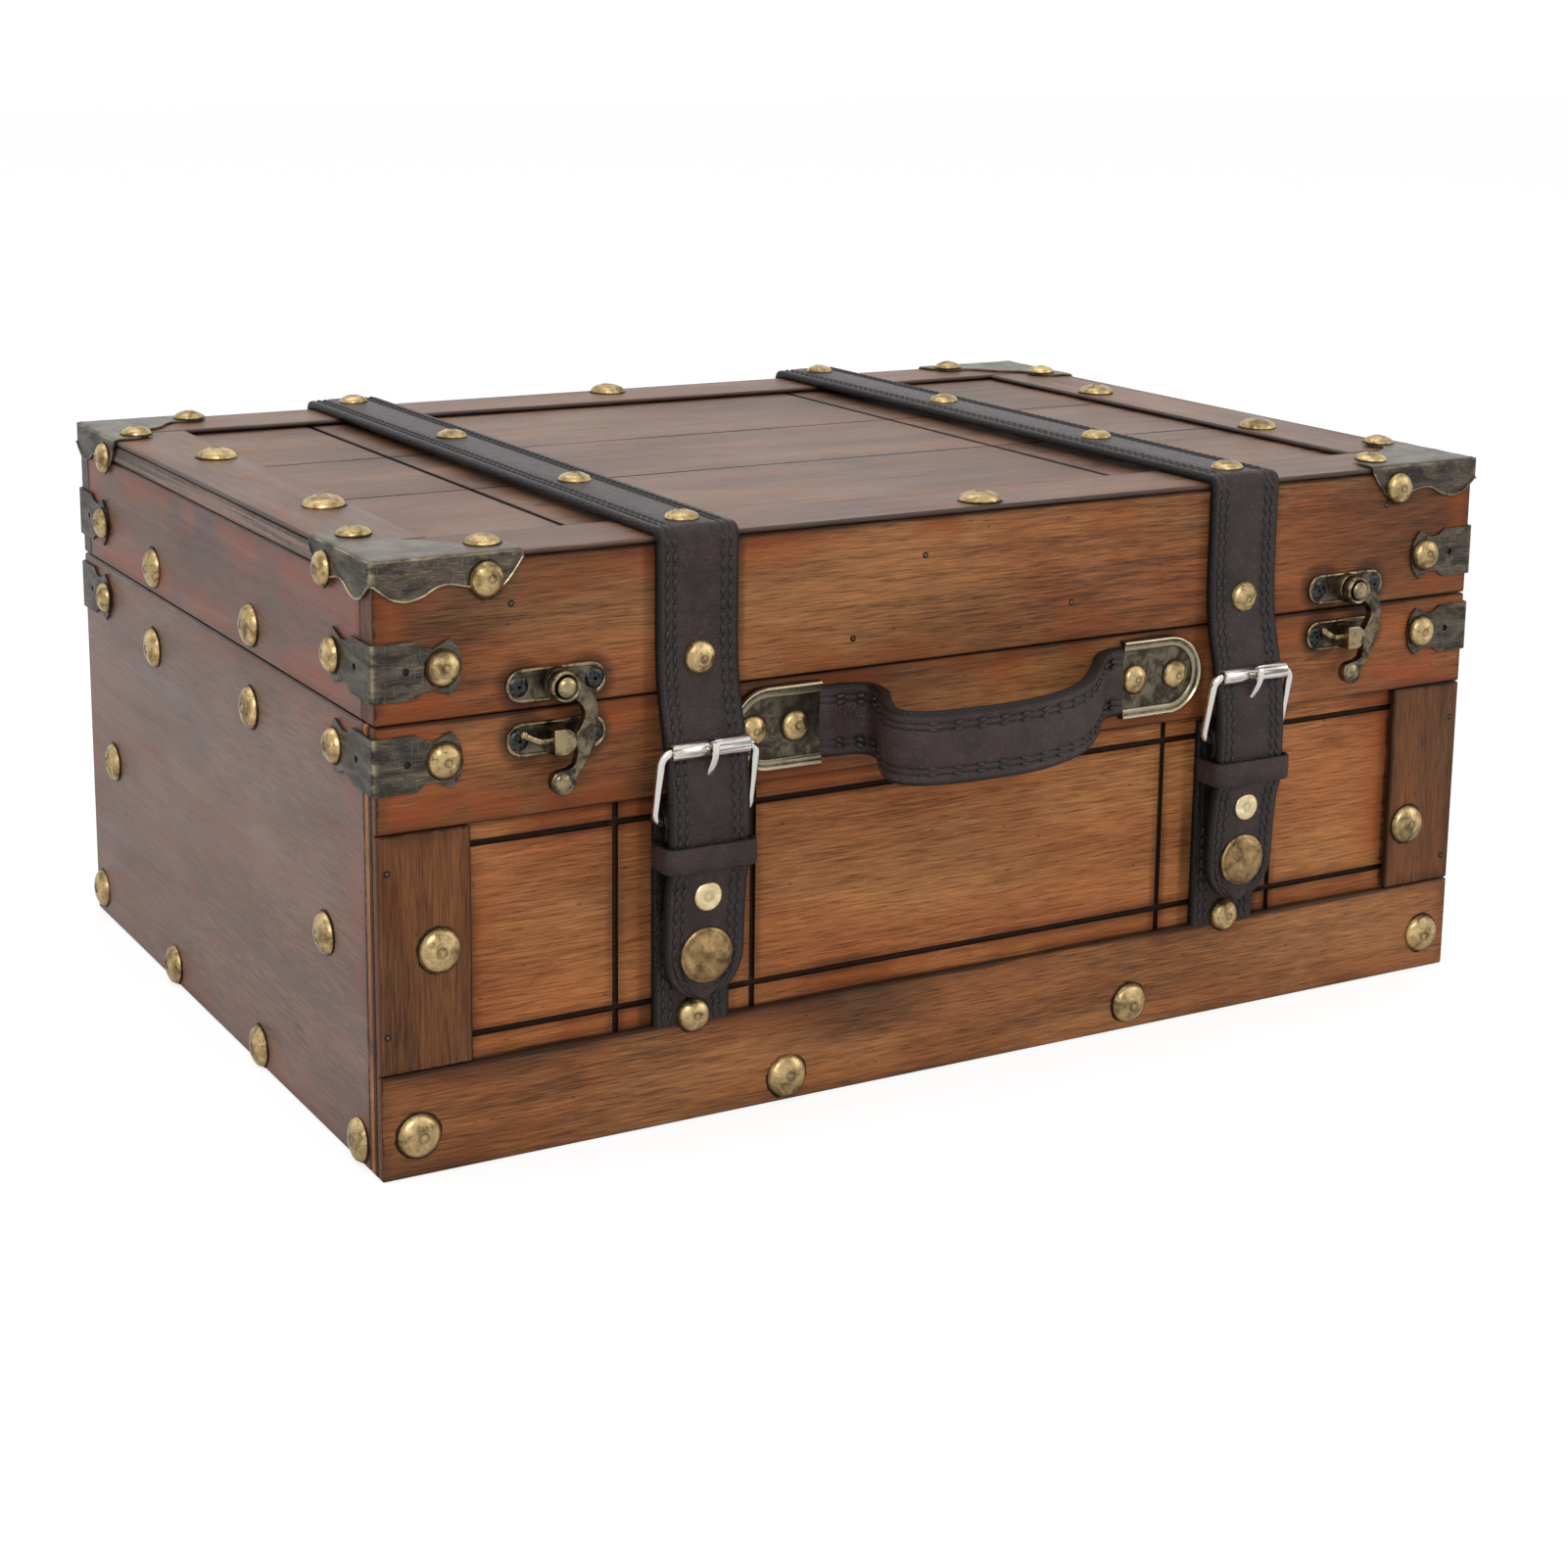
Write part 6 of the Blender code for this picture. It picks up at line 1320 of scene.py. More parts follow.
def add_strap(label, middle):
    """One strap in one piece, tacked over the lid and bending at the seam into its tail."""
    sizes = settings().sizes
    half = sizes.strap_width / 2
    thickness = sizes.strap_thickness
    straight = lid_strap_route(middle)
    tail = measured_tail(middle)
    route = straight + [point for point, _ in tail]
    radius = half * 0.99
    widths = [1.0] * len(straight)
    for _, left in tail:
        chord = math.sqrt(max(radius ** 2 - (radius - min(left, radius)) ** 2, 0)) / half
        widths.append(1.0 if left > radius else max(chord, 0.10))
    shape = new_shape()
    section, values = strap_section(half, thickness)
    loft(shape, section, stations_along(route, RIGHT, widths=widths), values=values)
    lift = thickness * STITCH_LIFT
    over = [point for point in route if point.z > TAIL_SEAM or point.y > 0]
    lower = [point for point, left in tail if left > radius and point.z <= TAIL_SEAM]
    for sewn in (over, lower):
        sew(shape, sewn, RIGHT, stitch_rows(half), lift, sizes.stitch_pitch)
    for inset in STITCH_INSETS:
        reach = half - inset
        round_tip = []
        for angle in range(0, 181, 6):
            across = reach * math.cos(math.radians(angle))
            left = radius - reach * math.sin(math.radians(angle))
            round_tip.append(point_before_end(tail, left) + Vector((across, -lift, 0)))
        sew(shape, round_tip, -BACK, (0.0,), 0.0, sizes.stitch_pitch)
    leather = dark_leather("strap_leather_dressed")
    piece = add_piece(label + "_strap", shape, None, [leather, waxed_thread()],
                      (label + "_lid_strap", label + "_strap_tail"), 50)
    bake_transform(piece, "lid", label + "_tail", start=(middle, -HALF_DEPTH, 0.1195),
             end=(middle, -HALF_DEPTH, 0.1145))


def point_before_end(measured, left):
    """The point of a measured route that is this far before its end."""
    for (before, before_left), (after, after_left) in zip(measured, measured[1:]):
        if after_left <= left <= before_left:
            return before.lerp(after, (before_left - left) / (before_left - after_left))
    return measured[-1][0]


def add_chape(label, middle):
    """The short leather folded round the buckle's heel bar and riveted behind the tail."""
    out, high = HEEL_BAR
    low = 0.0595
    axis = -HALF_DEPTH - out
    bend = 0.0021
    path = [(axis + bend, low), (axis + bend, high - 0.004)]
    path += [(axis + across, high + up) for across, up in arc((0, 0), bend, 0, 180, 10)]
    path += [(axis - bend, 0.0820), (-HALF_DEPTH - 0.0062, 0.0798)]
    route = [Vector((middle, depth, height)) for depth, height in path]
    shape = new_shape()
    section = [(0.0114, -0.0006), (0.0116, -0.0003), (0.0116, 0.0003), (0.0114, 0.0006),
               (-0.0114, 0.0006), (-0.0116, 0.0003), (-0.0116, -0.0003), (-0.0114, -0.0006)]
    values = [1.0, 1.0, 1.0, 0.3, 0.3, 1.0, 1.0, 1.0]
    loft(shape, section, stations_along(evenly(route, 0.0012), RIGHT), values=values)
    add_piece(label + "_chape", shape, label + "_tail", [dark_leather("strap_leather_dressed")], (),
              50)


def add_base_strap(label, middle):
    """The lower strap, which lies on the panel under the tail."""
    node = label + "_base_strap"
    low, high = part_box(node)
    shape = new_shape()
    half = 0.0112
    thickness = 0.0024
    section, values = strap_section(half, thickness, crown=0.0)
    out = -HALF_DEPTH + 0.0025
    route = [Vector((middle, out, height)) for height in (high.z, high.z - 0.02, 0.05, low.z + 0.01, low.z)]
    loft(shape, section, stations_along(evenly(route, 0.006), RIGHT), values=values)
    sewn = [route[0] - 0.002 * UP, *route[1:-1], route[-1] + 0.003 * UP]
    sew(shape, sewn, RIGHT, stitch_rows(half), thickness * STITCH_LIFT, settings().sizes.stitch_pitch)
    stud = [(0, 0.0, 0.0), (0.0045, 0.0, 0.5), (0.0045, 0.0038, 0.5), (0.0040, 0.0042, 0.2),
            (0, 0.0043, 0.0)]
    turned(shape, stud, 24, on_front(middle, STUD_HEIGHT, -0.0002), material=2)
    looks = [dark_leather("strap_leather_dressed"), waxed_thread(), antique_brass()]
    add_piece(node + "_leather", shape, "base", looks, (node,), 50)


def add_keeper(label):
    """A plain loop of leather round the tail and the chape."""
    node = label + "_strap_keeper"
    low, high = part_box(node)
    width = (high.z - low.z) / 2
    shape = new_shape()
    thick = 0.0014
    section = [(width - 0.0003, 0.0), (width, 0.0004), (width, thick - 0.0004), (width - 0.0004, thick),
               (0.0, thick + 0.0001), (0.0004 - width, thick), (-width, thick - 0.0004), (-width, 0.0004),
               (0.0003 - width, 0.0)]
    values = [1.0, 0.9, 0.9, 0.1, 0.0, 0.1, 0.9, 0.9, 1.0]
    corner = 0.0017
    left, right = low.x + thick, high.x - thick
    front, rear = low.y + thick, high.y - thick
    height = (low.z + high.z) / 2
    path = arc((right - corner, front + corner), corner, 270, 360, 6)
    path += arc((right - corner, rear - corner), corner, 0, 90, 6)
    path += arc((left + corner, rear - corner), corner, 90, 180, 6)
    path += arc((left + corner, front + corner), corner, 180, 270, 6)
    route = [Vector((across, depth, height)) for across, depth in path]
    loft(shape, section, stations_along(route, UP, closed=True), closed=True, values=values)
    add_piece(node + "_leather", shape, label + "_tail", [dark_leather("keeper_leather_plain", 1.15, 0.55)],
              (node,), 50)


class TRUNK_OT_straps(bpy.types.Operator):
    """Add the stitched straps, their tails, chapes and keepers"""

    bl_idname = "storage_trunk.straps"
    bl_label = "Leather Straps"

    def execute(self, context):
        for label, middle in zip(("left", "right"), STRAP_MIDDLES):
            add_strap(label, middle)
            add_chape(label, middle)
            add_base_strap(label, middle)
            add_keeper(label)
        return {"FINISHED"}


def tail_skin(height):
    """How far the tail's front face stands off the front of the trunk."""
    for (high, before), (low, after) in zip(TAIL_ROUTE, TAIL_ROUTE[1:]):
        if low <= height <= high:
            back = after + (before - after) * (height - low) / (high - low)
            return back + settings().sizes.strap_thickness
    return TAIL_ROUTE[-1][1]


class TRUNK_OT_snaps(bpy.types.Operator):
    """Add the snap caps and the flat rivets of the tails"""

    bl_idname = "storage_trunk.snaps"
    bl_label = "Snaps and Rivets"

    def execute(self, context):
        for label, middle in zip(("left", "right"), STRAP_MIDDLES):
            cap = new_shape()
            height = sum(corner.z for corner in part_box(label + "_snap_cap")) / 2
            skin = tail_skin(height)
            # Third numbers: the painted value rim, darkest at the foot as painted shade where the cap meets
            # the leather, and also darker at the middle
            profile = [(0, -0.0003, 0.6), (0.0070, -0.0002, 1.0), (0.0075, 0.0002, 0.9),
                       (0.0076, 0.0006, 0.5), (0.0073, 0.0010, 0.0), (0.0066, 0.00125, 0.35),
                       (0.0058, 0.00150, 0.0), (0.0046, 0.00185, 0.0), (0.0034, 0.00205, 0.1),
                       (0.0022, 0.00218, 0.0), (0.0009, 0.00212, 0.4), (0, 0.00205, 0.5)]
            turned(cap, profile, 48, on_front(middle, height, skin))
            add_piece(label + "_snap_cap_brass", cap, label + "_tail", [bronzed_brass()],
                      (label + "_snap_cap",), 60)
            rivet = new_shape()
            skin = tail_skin(RIVET_HEIGHT)
            # Third numbers: the painted value rim, darkest at the foot as painted shade where the rivet meets
            # the leather
            profile = [(0, -0.0003, 0.5), (0.0037, -0.0002, 0.9), (0.0040, 0.0001, 0.8),
                       (0.00395, 0.00055, 0.2), (0.0034, 0.0008, 0.0), (0.0018, 0.00085, 0.0),
                       (0.0012, 0.0007, 0.3), (0, 0.00075, 0.0)]
            turned(rivet, profile, 36, on_front(middle, RIVET_HEIGHT, skin))
            add_piece(label + "_tail_rivet", rivet, label + "_tail", [pale_brass()], (), 60)
        return {"FINISHED"}


def rounded_loop(half, length, corner):
    """Points of a loop with four round corners: across, and along from its lower bar."""
    inner = half - corner
    points = []
    for centre, start, end in (((inner, corner), 270, 360), ((inner, length - corner), 0, 90),
                               ((-inner, length - corner), 90, 180), ((-inner, corner), 180, 270)):
        points += arc(centre, corner, start, end, 6)
    return points


def add_buckle_frame(label, low, high):
    """The wire frame, from its heel bar to the bar that carries the roller."""
    rise = (high - low).normalized()
    loop = rounded_loop(0.0136, (high - low).length, 0.0030)
    route = [low + across * RIGHT + along * rise for across, along in loop]
    stations = stations_along(route, RIGHT.cross(rise).normalized(), closed=True)
    shape = new_shape()
    loft(shape, circle_section(settings().sizes.wire / 2, 14), stations, closed=True, names=("worn", "rim"))
    add_piece(label + "_buckle_wire", shape, label + "_tail", [bright_nickel()],
              (label + "_buckle_frame",), 60)


def add_roller(label, bar):
    """The sleeve that turns on the upper bar, with a shallow ring where the prong rests."""
    shape = new_shape()
    profile = [(0.0015, -0.0112, 0.0), (0.0021, -0.0112, 0.0), (0.0024, -0.0109, 0.0),
               (0.0024, -0.0012, 0.0), (0.00215, -0.0009, 0.6), (0.00215, 0.0009, 0.6),
               (0.0024, 0.0012, 0.0), (0.0024, 0.0109, 0.0), (0.0021, 0.0112, 0.0),
               (0.0015, 0.0112, 0.0), (0.0015, -0.0112, 0.0)]
    turned(shape, profile, 32, facing(bar, BACK, UP))
    add_piece(label + "_roller_sleeve", shape, label + "_roller", [bright_nickel("roller_nickel", 0)],
              (label + "_buckle_roller",), 40)


def add_prong(label, bar):
    """The bent prong with its eye round the heel bar, thinner towards its tip."""
    shape = new_shape()
    eye = [(0.0014, -0.0011, 0.0), (0.0024, -0.0011, 0.0), (0.0028, -0.0008, 0.0), (0.0028, 0.0008, 0.0),
           (0.0024, 0.0011, 0.0), (0.0014, 0.0011, 0.0), (0.0014, -0.0011, 0.0)]
    turned(shape, eye, 20, facing(bar, BACK, UP))
    places = [(0.0048, 0.0862), (0.0054, 0.0897), (0.0064, 0.0932), (0.0079, 0.0961),
              (0.0098, 0.0988), (0.0113, 0.1014), (0.0122, 0.1040), (0.0119, 0.1058)]
    path = smooth_route([Vector((bar.x, -HALF_DEPTH - out, height)) for out, height in places], 5)
    widths = [1.0 - 0.25 * (index / (len(path) - 1)) ** 3 for index in range(len(path))]
    section = [(0.0011, -0.0004), (0.0011, 0.0004), (0.0008, 0.0008), (-0.0008, 0.0008),
               (-0.0011, 0.0004), (-0.0011, -0.0004), (-0.0007, -0.0007), (0.0007, -0.0007)]
    loft(shape, section, stations_along(path, RIGHT, widths=widths), names=("worn", "rim"))
    add_piece(label + "_prong_wire", shape, label + "_prong", [bright_nickel()],
              (label + "_buckle_prong",), 40)


class TRUNK_OT_buckles(bpy.types.Operator):
    """Add the wire buckles with their rollers and prongs"""

    bl_idname = "storage_trunk.buckles"
    bl_label = "Roller Buckles"

    def execute(self, context):
        for label, middle in zip(("left", "right"), STRAP_MIDDLES):
            low, high = (Vector((middle, -HALF_DEPTH - out, height)) for out, height in (HEEL_BAR, UPPER_BAR))
            add_buckle_frame(label, low, high)
            add_roller(label, high)
            add_prong(label, low)
        return {"FINISHED"}


def obround(length, height):
    """A plate outline with straight long sides and half-round ends."""
    radius = height / 2
    shift = length / 2 - radius
    return arc((shift, 0), radius, -90, 90, 14) + arc((-shift, 0), radius, 90, 270, 14)


def add_screw(shape, matrix):
    """A flat screw head with a cross slot, in the second and third finish of its piece."""
    profile = [(0, -0.0004, 0.0), (0.0026, -0.0003, 0.8), (0.0027, 0.0001, 0.6), (0.0024, 0.00050, 0.2),
               (0.0016, 0.00072, 0.0), (0, 0.00078, 0.0)]
    turned(shape, profile, 24, matrix, material=1)
    # The cross slot is not cut: two thin near-black boxes on the head are its painted shade
    for turn in (0.5, 0.5 + math.pi / 2):
        put = matrix @ Matrix.Rotation(turn, 4, "Z") @ Matrix.Translation((0, 0, 0.00074)) @ Matrix.Diagonal(
            (0.0032, 0.0008, 0.0002, 1))
        with adding_to(shape) as slot:
            bmesh.ops.create_cube(slot, size=1, matrix=put)
            for face in slot.faces:
                face.material_index = 2


def latch_base(across, height):
    """A pressed latch plate with its rolled rim and two screws."""
    shape = new_shape()
    length, tall = 0.0276, 0.0088
    filled(shape, obround(length - 0.0008, tall - 0.0008), on_front(across, height, 0.0003), 0.0007)
    matrix = on_front(across, height, 0.00075)
    route = [matrix @ Vector((x, y, 0)) for x, y in obround(length - 0.0011, tall - 0.0011)]
    loft(shape, circle_section(0.0006, 10), stations_along(route, -BACK, closed=True), closed=True,
         values=[0.65] * 10, names=("worn",))
    for side in (-1, 1):
        spot = on_front(across + side * 0.0104, height, 0.0009)
        add_screw(shape, spot @ Matrix.Rotation(side * 0.4 + across * 9, 4, "Z"))
    return shape


# A hook's neck, from its eye at the origin to its foot, in shares of its reach
HOOK_OUTER = ((0.12, 0.12), (0.243, -0.02), (0.329, -0.144), (0.362, -0.28), (0.358, -0.416),
              (0.321, -0.568), (0.255, -0.741), (0.193, -0.856), (0.10, -0.96))
HOOK_INNER = ((0.095, -0.13), (0.177, -0.215), (0.212, -0.315), (0.165, -0.43), (0.105, -0.51),
              (0.108, -0.60), (0.125, -0.71), (0.095, -0.83), (-0.04, -0.93))
HOOK_REACH = 0.0243
HOOK_FOOT = -0.033 * HOOK_REACH


def hook_outline():
    """The neck and the foot of a hook, seen square to the front, from its eye and back to it."""
    foot = Vector((HOOK_FOOT, -HOOK_REACH, 0))
    outer = [Vector((across, up, 0)) * HOOK_REACH for across, up in HOOK_OUTER[:-1]]
    inner = [Vector((across, up, 0)) * HOOK_REACH for across, up in HOOK_INNER[:-1]]
    outline = smooth_route(outer, 4)
    outline += [Vector((x, y, 0)) for x, y in arc((foot.x, foot.y), 0.0034, 14, -222, 22)]
    outline += [Vector((-0.0019, -0.0214, 0)), Vector((0.0006, -0.0211, 0))]
    outline += smooth_route(list(reversed(inner)), 4)
    return [(point.x, point.y) for point in outline]


def add_hook(across, height):
    """A cast hook: an eye round its pivot, a swan neck and a rounded foot."""
    shape = new_shape()
    matrix = on_front(across, height, 0.0042)
    eye = [(0.0019, 0.0, 0.0), (0.0038, 0.0, 0.2), (0.0042, 0.0005, 0.5), (0.0043, 0.0016, 0.7),
           (0.0041, 0.0026, 0.8), (0.0036, 0.0031, 0.9), (0.0031, 0.0029, 0.2), (0.0027, 0.0024, 0.0),
           (0.0019, 0.0023, 0.0), (0.0019, 0.0, 0.0)]
    turned(shape, eye, 32, matrix)

    def rubbed(place):
        """How bright a place on the neck is rubbed."""
        ridge = 0.75 if 0.0016 < place.z < 0.0026 else 0.25
        return ridge + 0.5 * noise.noise(place * 260)

    filled(shape, hook_outline(), matrix, 0.0028, 0.00115, 5, worn=rubbed)
    foot = matrix @ Matrix.Translation((HOOK_FOOT, -HOOK_REACH, 0.0014)) @ Matrix.Diagonal(
        (0.0031, 0.0030, 0.0021, 1))
    add_ball(shape, foot, 24, 0.8)
    return shape


class TRUNK_OT_latches(bpy.types.Operator):
    """Add the hook latches: plates, catches and cast hooks"""

    bl_idname = "storage_trunk.latches"
    bl_label = "Hook Latches"

    def execute(self, context):
        metals = [dark_bronze(), screw_black(), slot_dark()]
        for label, across in zip(("left", "right"), LATCH_MIDDLES):
            plate_shape = latch_base(across, LATCH_HEIGHT)
            post = [(0, 0.0008, 0.0), (0.0043, 0.0008, 0.0), (0.0043, 0.0034, 0.3), (0.0040, 0.0038, 0.6),
                    (0.0017, 0.0038, 0.0), (0.0017, 0.0068, 0.0), (0.0024, 0.0070, 0.5),
                    (0.0026, 0.0074, 0.9), (0.0022, 0.0080, 1.0), (0.0012, 0.0083, 1.0), (0, 0.0084, 1.0)]
            turned(plate_shape, post, 28, on_front(across, LATCH_HEIGHT))
            add_piece(label + "_latch_plate_pressed", plate_shape, "lid", metals, (label + "_latch_plate",),
                      45)
            add_piece(label + "_catch_plate_pressed", add_catch(across, CATCH_HEIGHT), "base", metals,
                      (label + "_catch_plate",), 45)
            add_piece(label + "_hook_cast", add_hook(across, LATCH_HEIGHT), label + "_hook", metals[:1],
                      (label + "_latch_hook",), 60)
        return {"FINISHED"}


def add_catch(across, height):
    """A catch plate with the block that the hook passes and a short bent rod."""
    shape = latch_base(across, height)
    block = [(-0.0026, -0.0034), (0.0010, -0.0034)] + arc((0.0002, 0), 0.0034, -60, 60, 10)
    block += [(0.0010, 0.0034), (-0.0026, 0.0034)]
    filled(shape, block, on_front(across - 0.0010, height, 0.0009), 0.0069, 0.0005, 3,
           worn=lambda place: 0.85 if place.z > 0.0062 else 0.2)
    start = across - 0.0010 - 0.0022
    places = [(start + 0.001, height), (start - 0.0030, height + 0.0002), (start - 0.0058, height + 0.0014),
              (start - 0.0074, height + 0.0024)]
    route = smooth_route([Vector((x, -HALF_DEPTH - 0.0046, z)) for x, z in places], 6)
    loft(shape, circle_section(0.00095, 12), stations_along(route, -BACK), values=[1.0] * 12,
         names=("worn",))
    tip = Matrix.Translation(route[-1]) @ Matrix.Diagonal((0.00115, 0.00115, 0.00115, 1))
    add_ball(shape, tip, 12, 1.0)
    return shape


def add_handle_cap(side, inner):
    """A pressed cap with a broad rolled rim, over one end of the grip."""
    length, tall = 0.0270, 0.0224
    shape = new_shape()
    matrix = Matrix.Translation(Vector((inner, -HALF_DEPTH, HANDLE_HEIGHT))) @ Matrix(
        (-side * RIGHT, UP, -BACK)).transposed().to_4x4()
    radius = tall / 2
    centre = radius - length
    floor = arc((centre, 0), radius - 0.0004, 90, 270, 24) + [(0.0, 0.0004 - radius), (0.0, radius - 0.0004)]
    filled(shape, floor, matrix @ Matrix.Translation((0, 0, 0.0013)), 0.0006)
    middle = radius - 0.00105
    path = [(0.0, middle)] + arc((centre, 0), middle, 90, 270, 28) + [(0.0, -middle)]
    if side > 0:
        path.reverse()
    route = [matrix @ Vector((x, y, 0)) for x, y in path]
    section = [(0.0003, 0.00105), (0.0015, 0.00105), (0.0025, 0.00100), (0.0029, 0.00080),
               (0.0030, 0.00050), (0.0028, 0.00020), (0.0025, 0.00000), (0.0024, -0.00040),
               (0.0026, -0.00100), (0.0024, -0.00170), (0.0020, -0.00200), (0.0016, -0.00205),
               (0.0016, 0.00030), (0.0003, 0.00030)]
    values = [0.0, 0.0, 0.7, 1.0, 1.0, 0.8, 0.1, 0.1, 0.55, 0.4, 0.0, 0.0, 0.0, 0.0]
    loft(shape, section, stations_along(route, -BACK), values=values, names=("worn",))
    return shape


# The bow of the grip: shares of the span between the caps, and shares of its reach
GRIP_BOW = ((0.0, 0.0), (0.075, 0.015), (0.125, 0.09), (0.122, 0.27), (0.066, 0.55), (0.038, 0.78),
            (0.095, 0.945), (0.27, 1.0), (0.46, 0.965), (0.645, 0.76), (0.79, 0.42), (0.885, 0.14),
            (0.945, 0.02), (1.0, 0.0))
GRIP_REACH = 0.0376


def grip_route(low, high):
    """The middle of the grip's back face, from under one cap to under the other."""
    start = low + 0.0011
    span = high - 0.0011 - start
    points = [Vector((start + span * along, -HALF_DEPTH - 0.0020 - GRIP_REACH * bow, HANDLE_HEIGHT))
              for along, bow in GRIP_BOW]
    return smooth_route(points, 5)


def add_grip(low, high):
    """The stitched leather grip, which gets thin where it slips under the caps."""
    half = 0.0097
    thickness = 0.0032
    insets = (0.0030, 0.0046)
    section, values = strap_section(half, thickness, crown=0.0002, rows=insets)
    section = [(across, out - thickness / 2) for across, out in section]
    left_end, right_end = ([Vector((across, -HALF_DEPTH - 0.0010, HANDLE_HEIGHT)) for across in ends]
                           for ends in ((low - 0.016, low - 0.0005), (high + 0.0005, high + 0.016)))
    route = left_end + grip_route(low, high) + right_end
    heights = [0.36, 0.36, 0.62] + [1.0] * (len(route) - 6) + [0.62, 0.36, 0.36]
    shape = new_shape()
    loft(shape, section, stations_along(route, UP, heights=heights), values=values)
    middle = [point for point in route if low + 0.002 < point.x < high - 0.002]
    sew(shape, middle, UP, stitch_rows(half, insets), thickness * 0.5 - 0.00012, 0.0067, length=0.20)
    looks = [dark_leather("grip_leather_dressed", 1.2, 0.46), waxed_thread()]
    add_piece("handle_grip_leather", shape, "base", looks, ("handle_grip",), 50)


class TRUNK_OT_handle(bpy.types.Operator):
    """Add the leather grip and the two pressed caps"""

    bl_idname = "storage_trunk.handle"
    bl_label = "Handle"

    def execute(self, context):
        low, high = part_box("left_handle_cap")[1].x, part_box("right_handle_cap")[0].x
        dice = random.Random(5)
        for side, label, inner, rivets in ((-1, "left", low, (0.0078, 0.0204)),
                                           (1, "right", high, (0.0040, 0.0180))):
            add_piece(label + "_cap_pressed", add_handle_cap(side, inner), "base",
                      [dark_bronze("rubbed_bronze", 1.05, (0.560, 0.470, 0.320), 0.85)],
                      (label + "_handle_cap",), 45)
            heads = new_shape()
            for inset in rivets:
                spot = Vector((inner + side * inset, -HALF_DEPTH - 0.0019, HANDLE_HEIGHT))
                add_tack(heads, outward_place(spot, -BACK), dice, 0.0041, 0.0023, 24)
            add_piece(label + "_cap_rivets", heads, "base", [antique_brass()], (), 60)
        add_grip(low, high)
        return {"FINISHED"}


class TRUNK_OT_hinges(bpy.types.Operator):
    """Give the hinges on the back their aged brass finish"""

    bl_idname = "storage_trunk.hinges"
    bl_label = "Hinges"

    def execute(self, context):
        for label in ("left", "right"):
            for leaf in ("base", "lid"):
                refinish(label + "_hinge_" + leaf + "_leaf", antique_brass())
        return {"FINISHED"}


class TRUNK_OT_stage(bpy.types.Operator):
    """Add the floor, the studio lamps and the camera"""

    bl_idname = "storage_trunk.stage"
    bl_label = "Stage"

    def execute(self, context):
        stage = settings().stage
        add_floor()
        add_world()
        centre = Vector((0, 0, 0.08))
        add_lamp("key", Vector((-0.9, -1.5, 1.25)), centre, 0.8, stage.key_power)
        add_lamp("fill", Vector((1.5, -1.2, 0.9)), centre, 1.0, stage.fill_power)
        add_lamp("top", Vector((-0.2, 0.35, 1.8)), centre, 1.4, stage.top_power)
        data = bpy.data.cameras.new("view")
        data.lens = stage.lens
        data.sensor_width = 36
        data.shift_x = stage.shift_x
        data.shift_y = stage.shift_y
        data.clip_start = 0.02
        data.clip_end = 50
        camera = add_object("view", data)
        forward = Vector((math.sin(stage.azimuth) * math.cos(stage.elevation),
                          math.cos(stage.azimuth) * math.cos(stage.elevation), -math.sin(stage.elevation)))
        turn = forward.to_track_quat("-Z", "Y").to_matrix().to_4x4()
        lean = Matrix.Rotation(stage.roll, 4, "Z")
        camera.matrix_world = Matrix.Translation(Vector(stage.place)) @ turn @ lean
        bpy.context.scene.camera = camera
        bpy.context.scene.view_settings.view_transform = "Standard"
        return {"FINISHED"}


def add_floor():
    """A wide pale floor that keeps the trunk's soft shadow."""
    shape = new_shape()
    bmesh.ops.create_grid(shape, x_segments=1, y_segments=1, size=6)
    bmesh.ops.translate(shape, vec=(0, 0, -0.0002), verts=shape.verts)
    mesh = bpy.data.meshes.new("floor")
    shape.to_mesh(mesh)
    shape.free()
    floor = add_object("floor", mesh)
    look = Look("pale_floor", roughness=0.9)
    look.give(look.shader.inputs["Base Color"], (0.86, 0.86, 0.86))
    look.give(look.shader.inputs["Specular IOR Level"], 0.0)
    rays = look.node("LightPath", outlet="Is Camera Ray")
    white = look.node("Emission", {}, {"Color": (1, 1, 1), "Strength": 1.25})
    mixed = look.node("MixShader", {}, {0: rays * 0.60, 1: Signal(look, look.shader.outputs[0]), 2: white})
    look.give(look.tree.nodes["Material Output"].inputs["Surface"], mixed)
    mesh.materials.append(look.material)


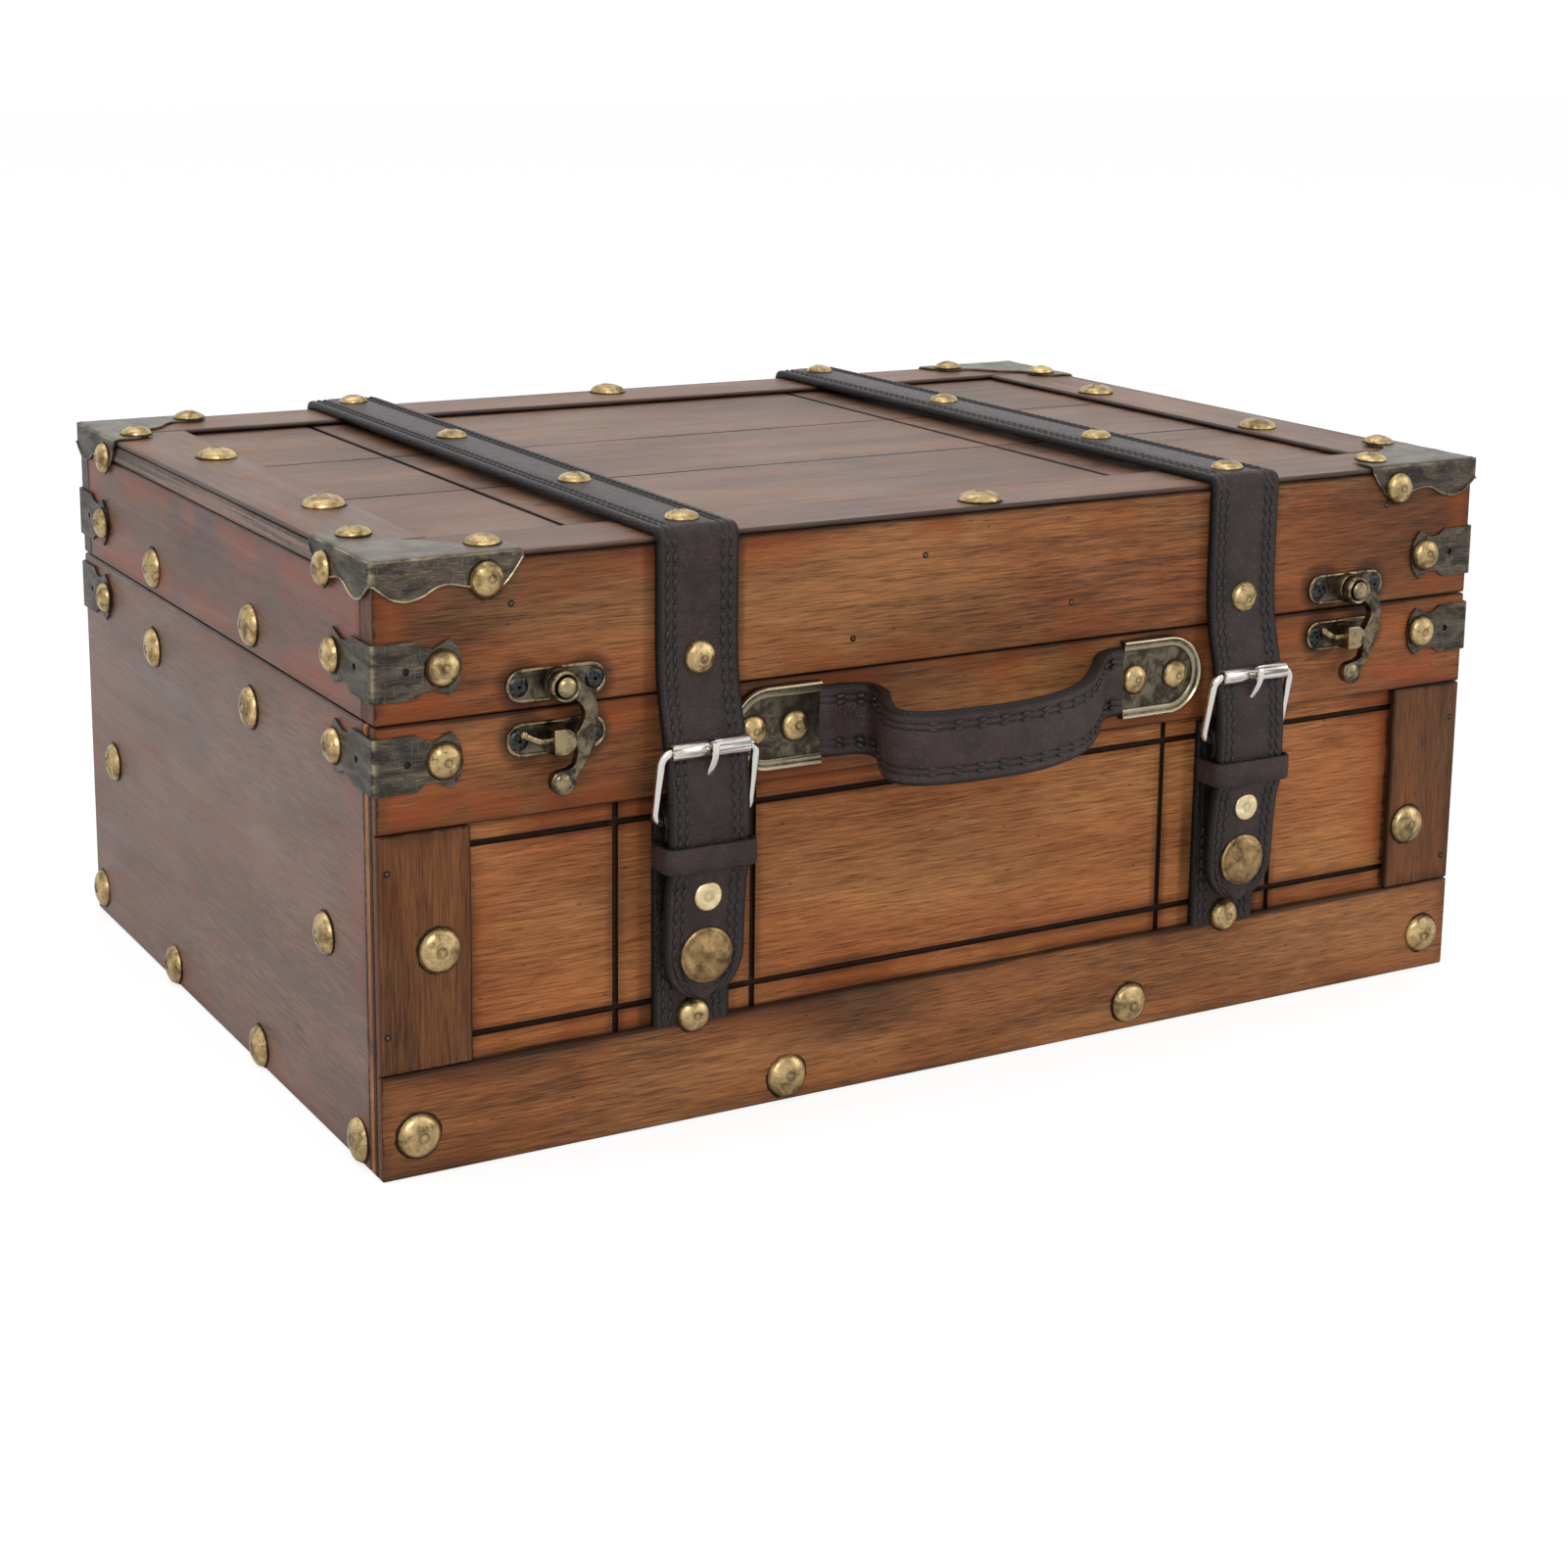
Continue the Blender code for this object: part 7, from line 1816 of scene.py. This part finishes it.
def add_world():
    """A white surround for the camera and for reflections, and a soft pale light."""
    world = bpy.data.worlds.new("surround")
    bpy.context.scene.world = world
    world.use_nodes = True
    sky = Nodes(world.node_tree)
    soft = sky.tree.nodes["Background"]
    sky.give(soft.inputs["Color"], (1, 1, 1))
    sky.give(soft.inputs["Strength"], 0.70)
    white = sky.node("Background", {}, {"Color": (1, 1, 1), "Strength": 1.0})
    seen, through, mirrored = (sky.node("LightPath", outlet=outlet)
                               for outlet in ("Is Camera Ray", "Is Transmission Ray", "Is Glossy Ray"))
    mixed = sky.node("MixShader", {}, {0: seen.most(through).most(mirrored),
                                       1: Signal(sky, soft.outputs[0]), 2: white})
    sky.give(sky.tree.nodes["World Output"].inputs["Surface"], mixed)


def add_lamp(name, place, target, size, power):
    """A square soft lamp that faces the trunk."""
    data = bpy.data.lights.new(name, "AREA")
    data.size = size
    data.energy = power
    lamp = add_object(name, data)
    turn = (target - place).to_track_quat("-Z", "Y").to_matrix().to_4x4()
    lamp.matrix_world = Matrix.Translation(place) @ turn


class TRUNK_PT_panel(bpy.types.Panel):
    """The trunk's pieces, in the order in which they are added"""

    bl_idname = "TRUNK_PT_panel"
    bl_label = "Storage Trunk"
    bl_space_type = "VIEW_3D"
    bl_region_type = "UI"
    bl_category = "Trunk"

    def draw(self, context):
        column = self.layout.column()
        for operator in OPERATORS:
            column.operator(operator.bl_idname)


OPERATORS = (TRUNK_OT_boards, TRUNK_OT_nails, TRUNK_OT_tacks, TRUNK_OT_corner_guards,
             TRUNK_OT_corner_brackets, TRUNK_OT_straps, TRUNK_OT_snaps, TRUNK_OT_buckles, TRUNK_OT_latches,
             TRUNK_OT_handle, TRUNK_OT_hinges, TRUNK_OT_stage)
CLASSES = (TrunkColours, TrunkSizes, TrunkStage, TrunkSettings, *OPERATORS, TRUNK_PT_panel)


def register():
    """Let Blender know the settings, the operators and the panel."""
    for kind in CLASSES:
        bpy.utils.register_class(kind)
    bpy.types.Scene.storage_trunk = PointerProperty(type=TrunkSettings)


def unregister():
    """Take them away again."""
    del bpy.types.Scene.storage_trunk
    for kind in reversed(CLASSES):
        bpy.utils.unregister_class(kind)


def main():
    """Register the pieces and add them in order."""
    register()
    bpy.ops.storage_trunk.boards()
    bpy.ops.storage_trunk.nails()
    bpy.ops.storage_trunk.tacks()
    bpy.ops.storage_trunk.corner_guards()
    bpy.ops.storage_trunk.corner_brackets()
    bpy.ops.storage_trunk.straps()
    bpy.ops.storage_trunk.snaps()
    bpy.ops.storage_trunk.buckles()
    bpy.ops.storage_trunk.latches()
    bpy.ops.storage_trunk.handle()
    bpy.ops.storage_trunk.hinges()
    bpy.ops.storage_trunk.stage()


if __name__ == "__main__":
    main()
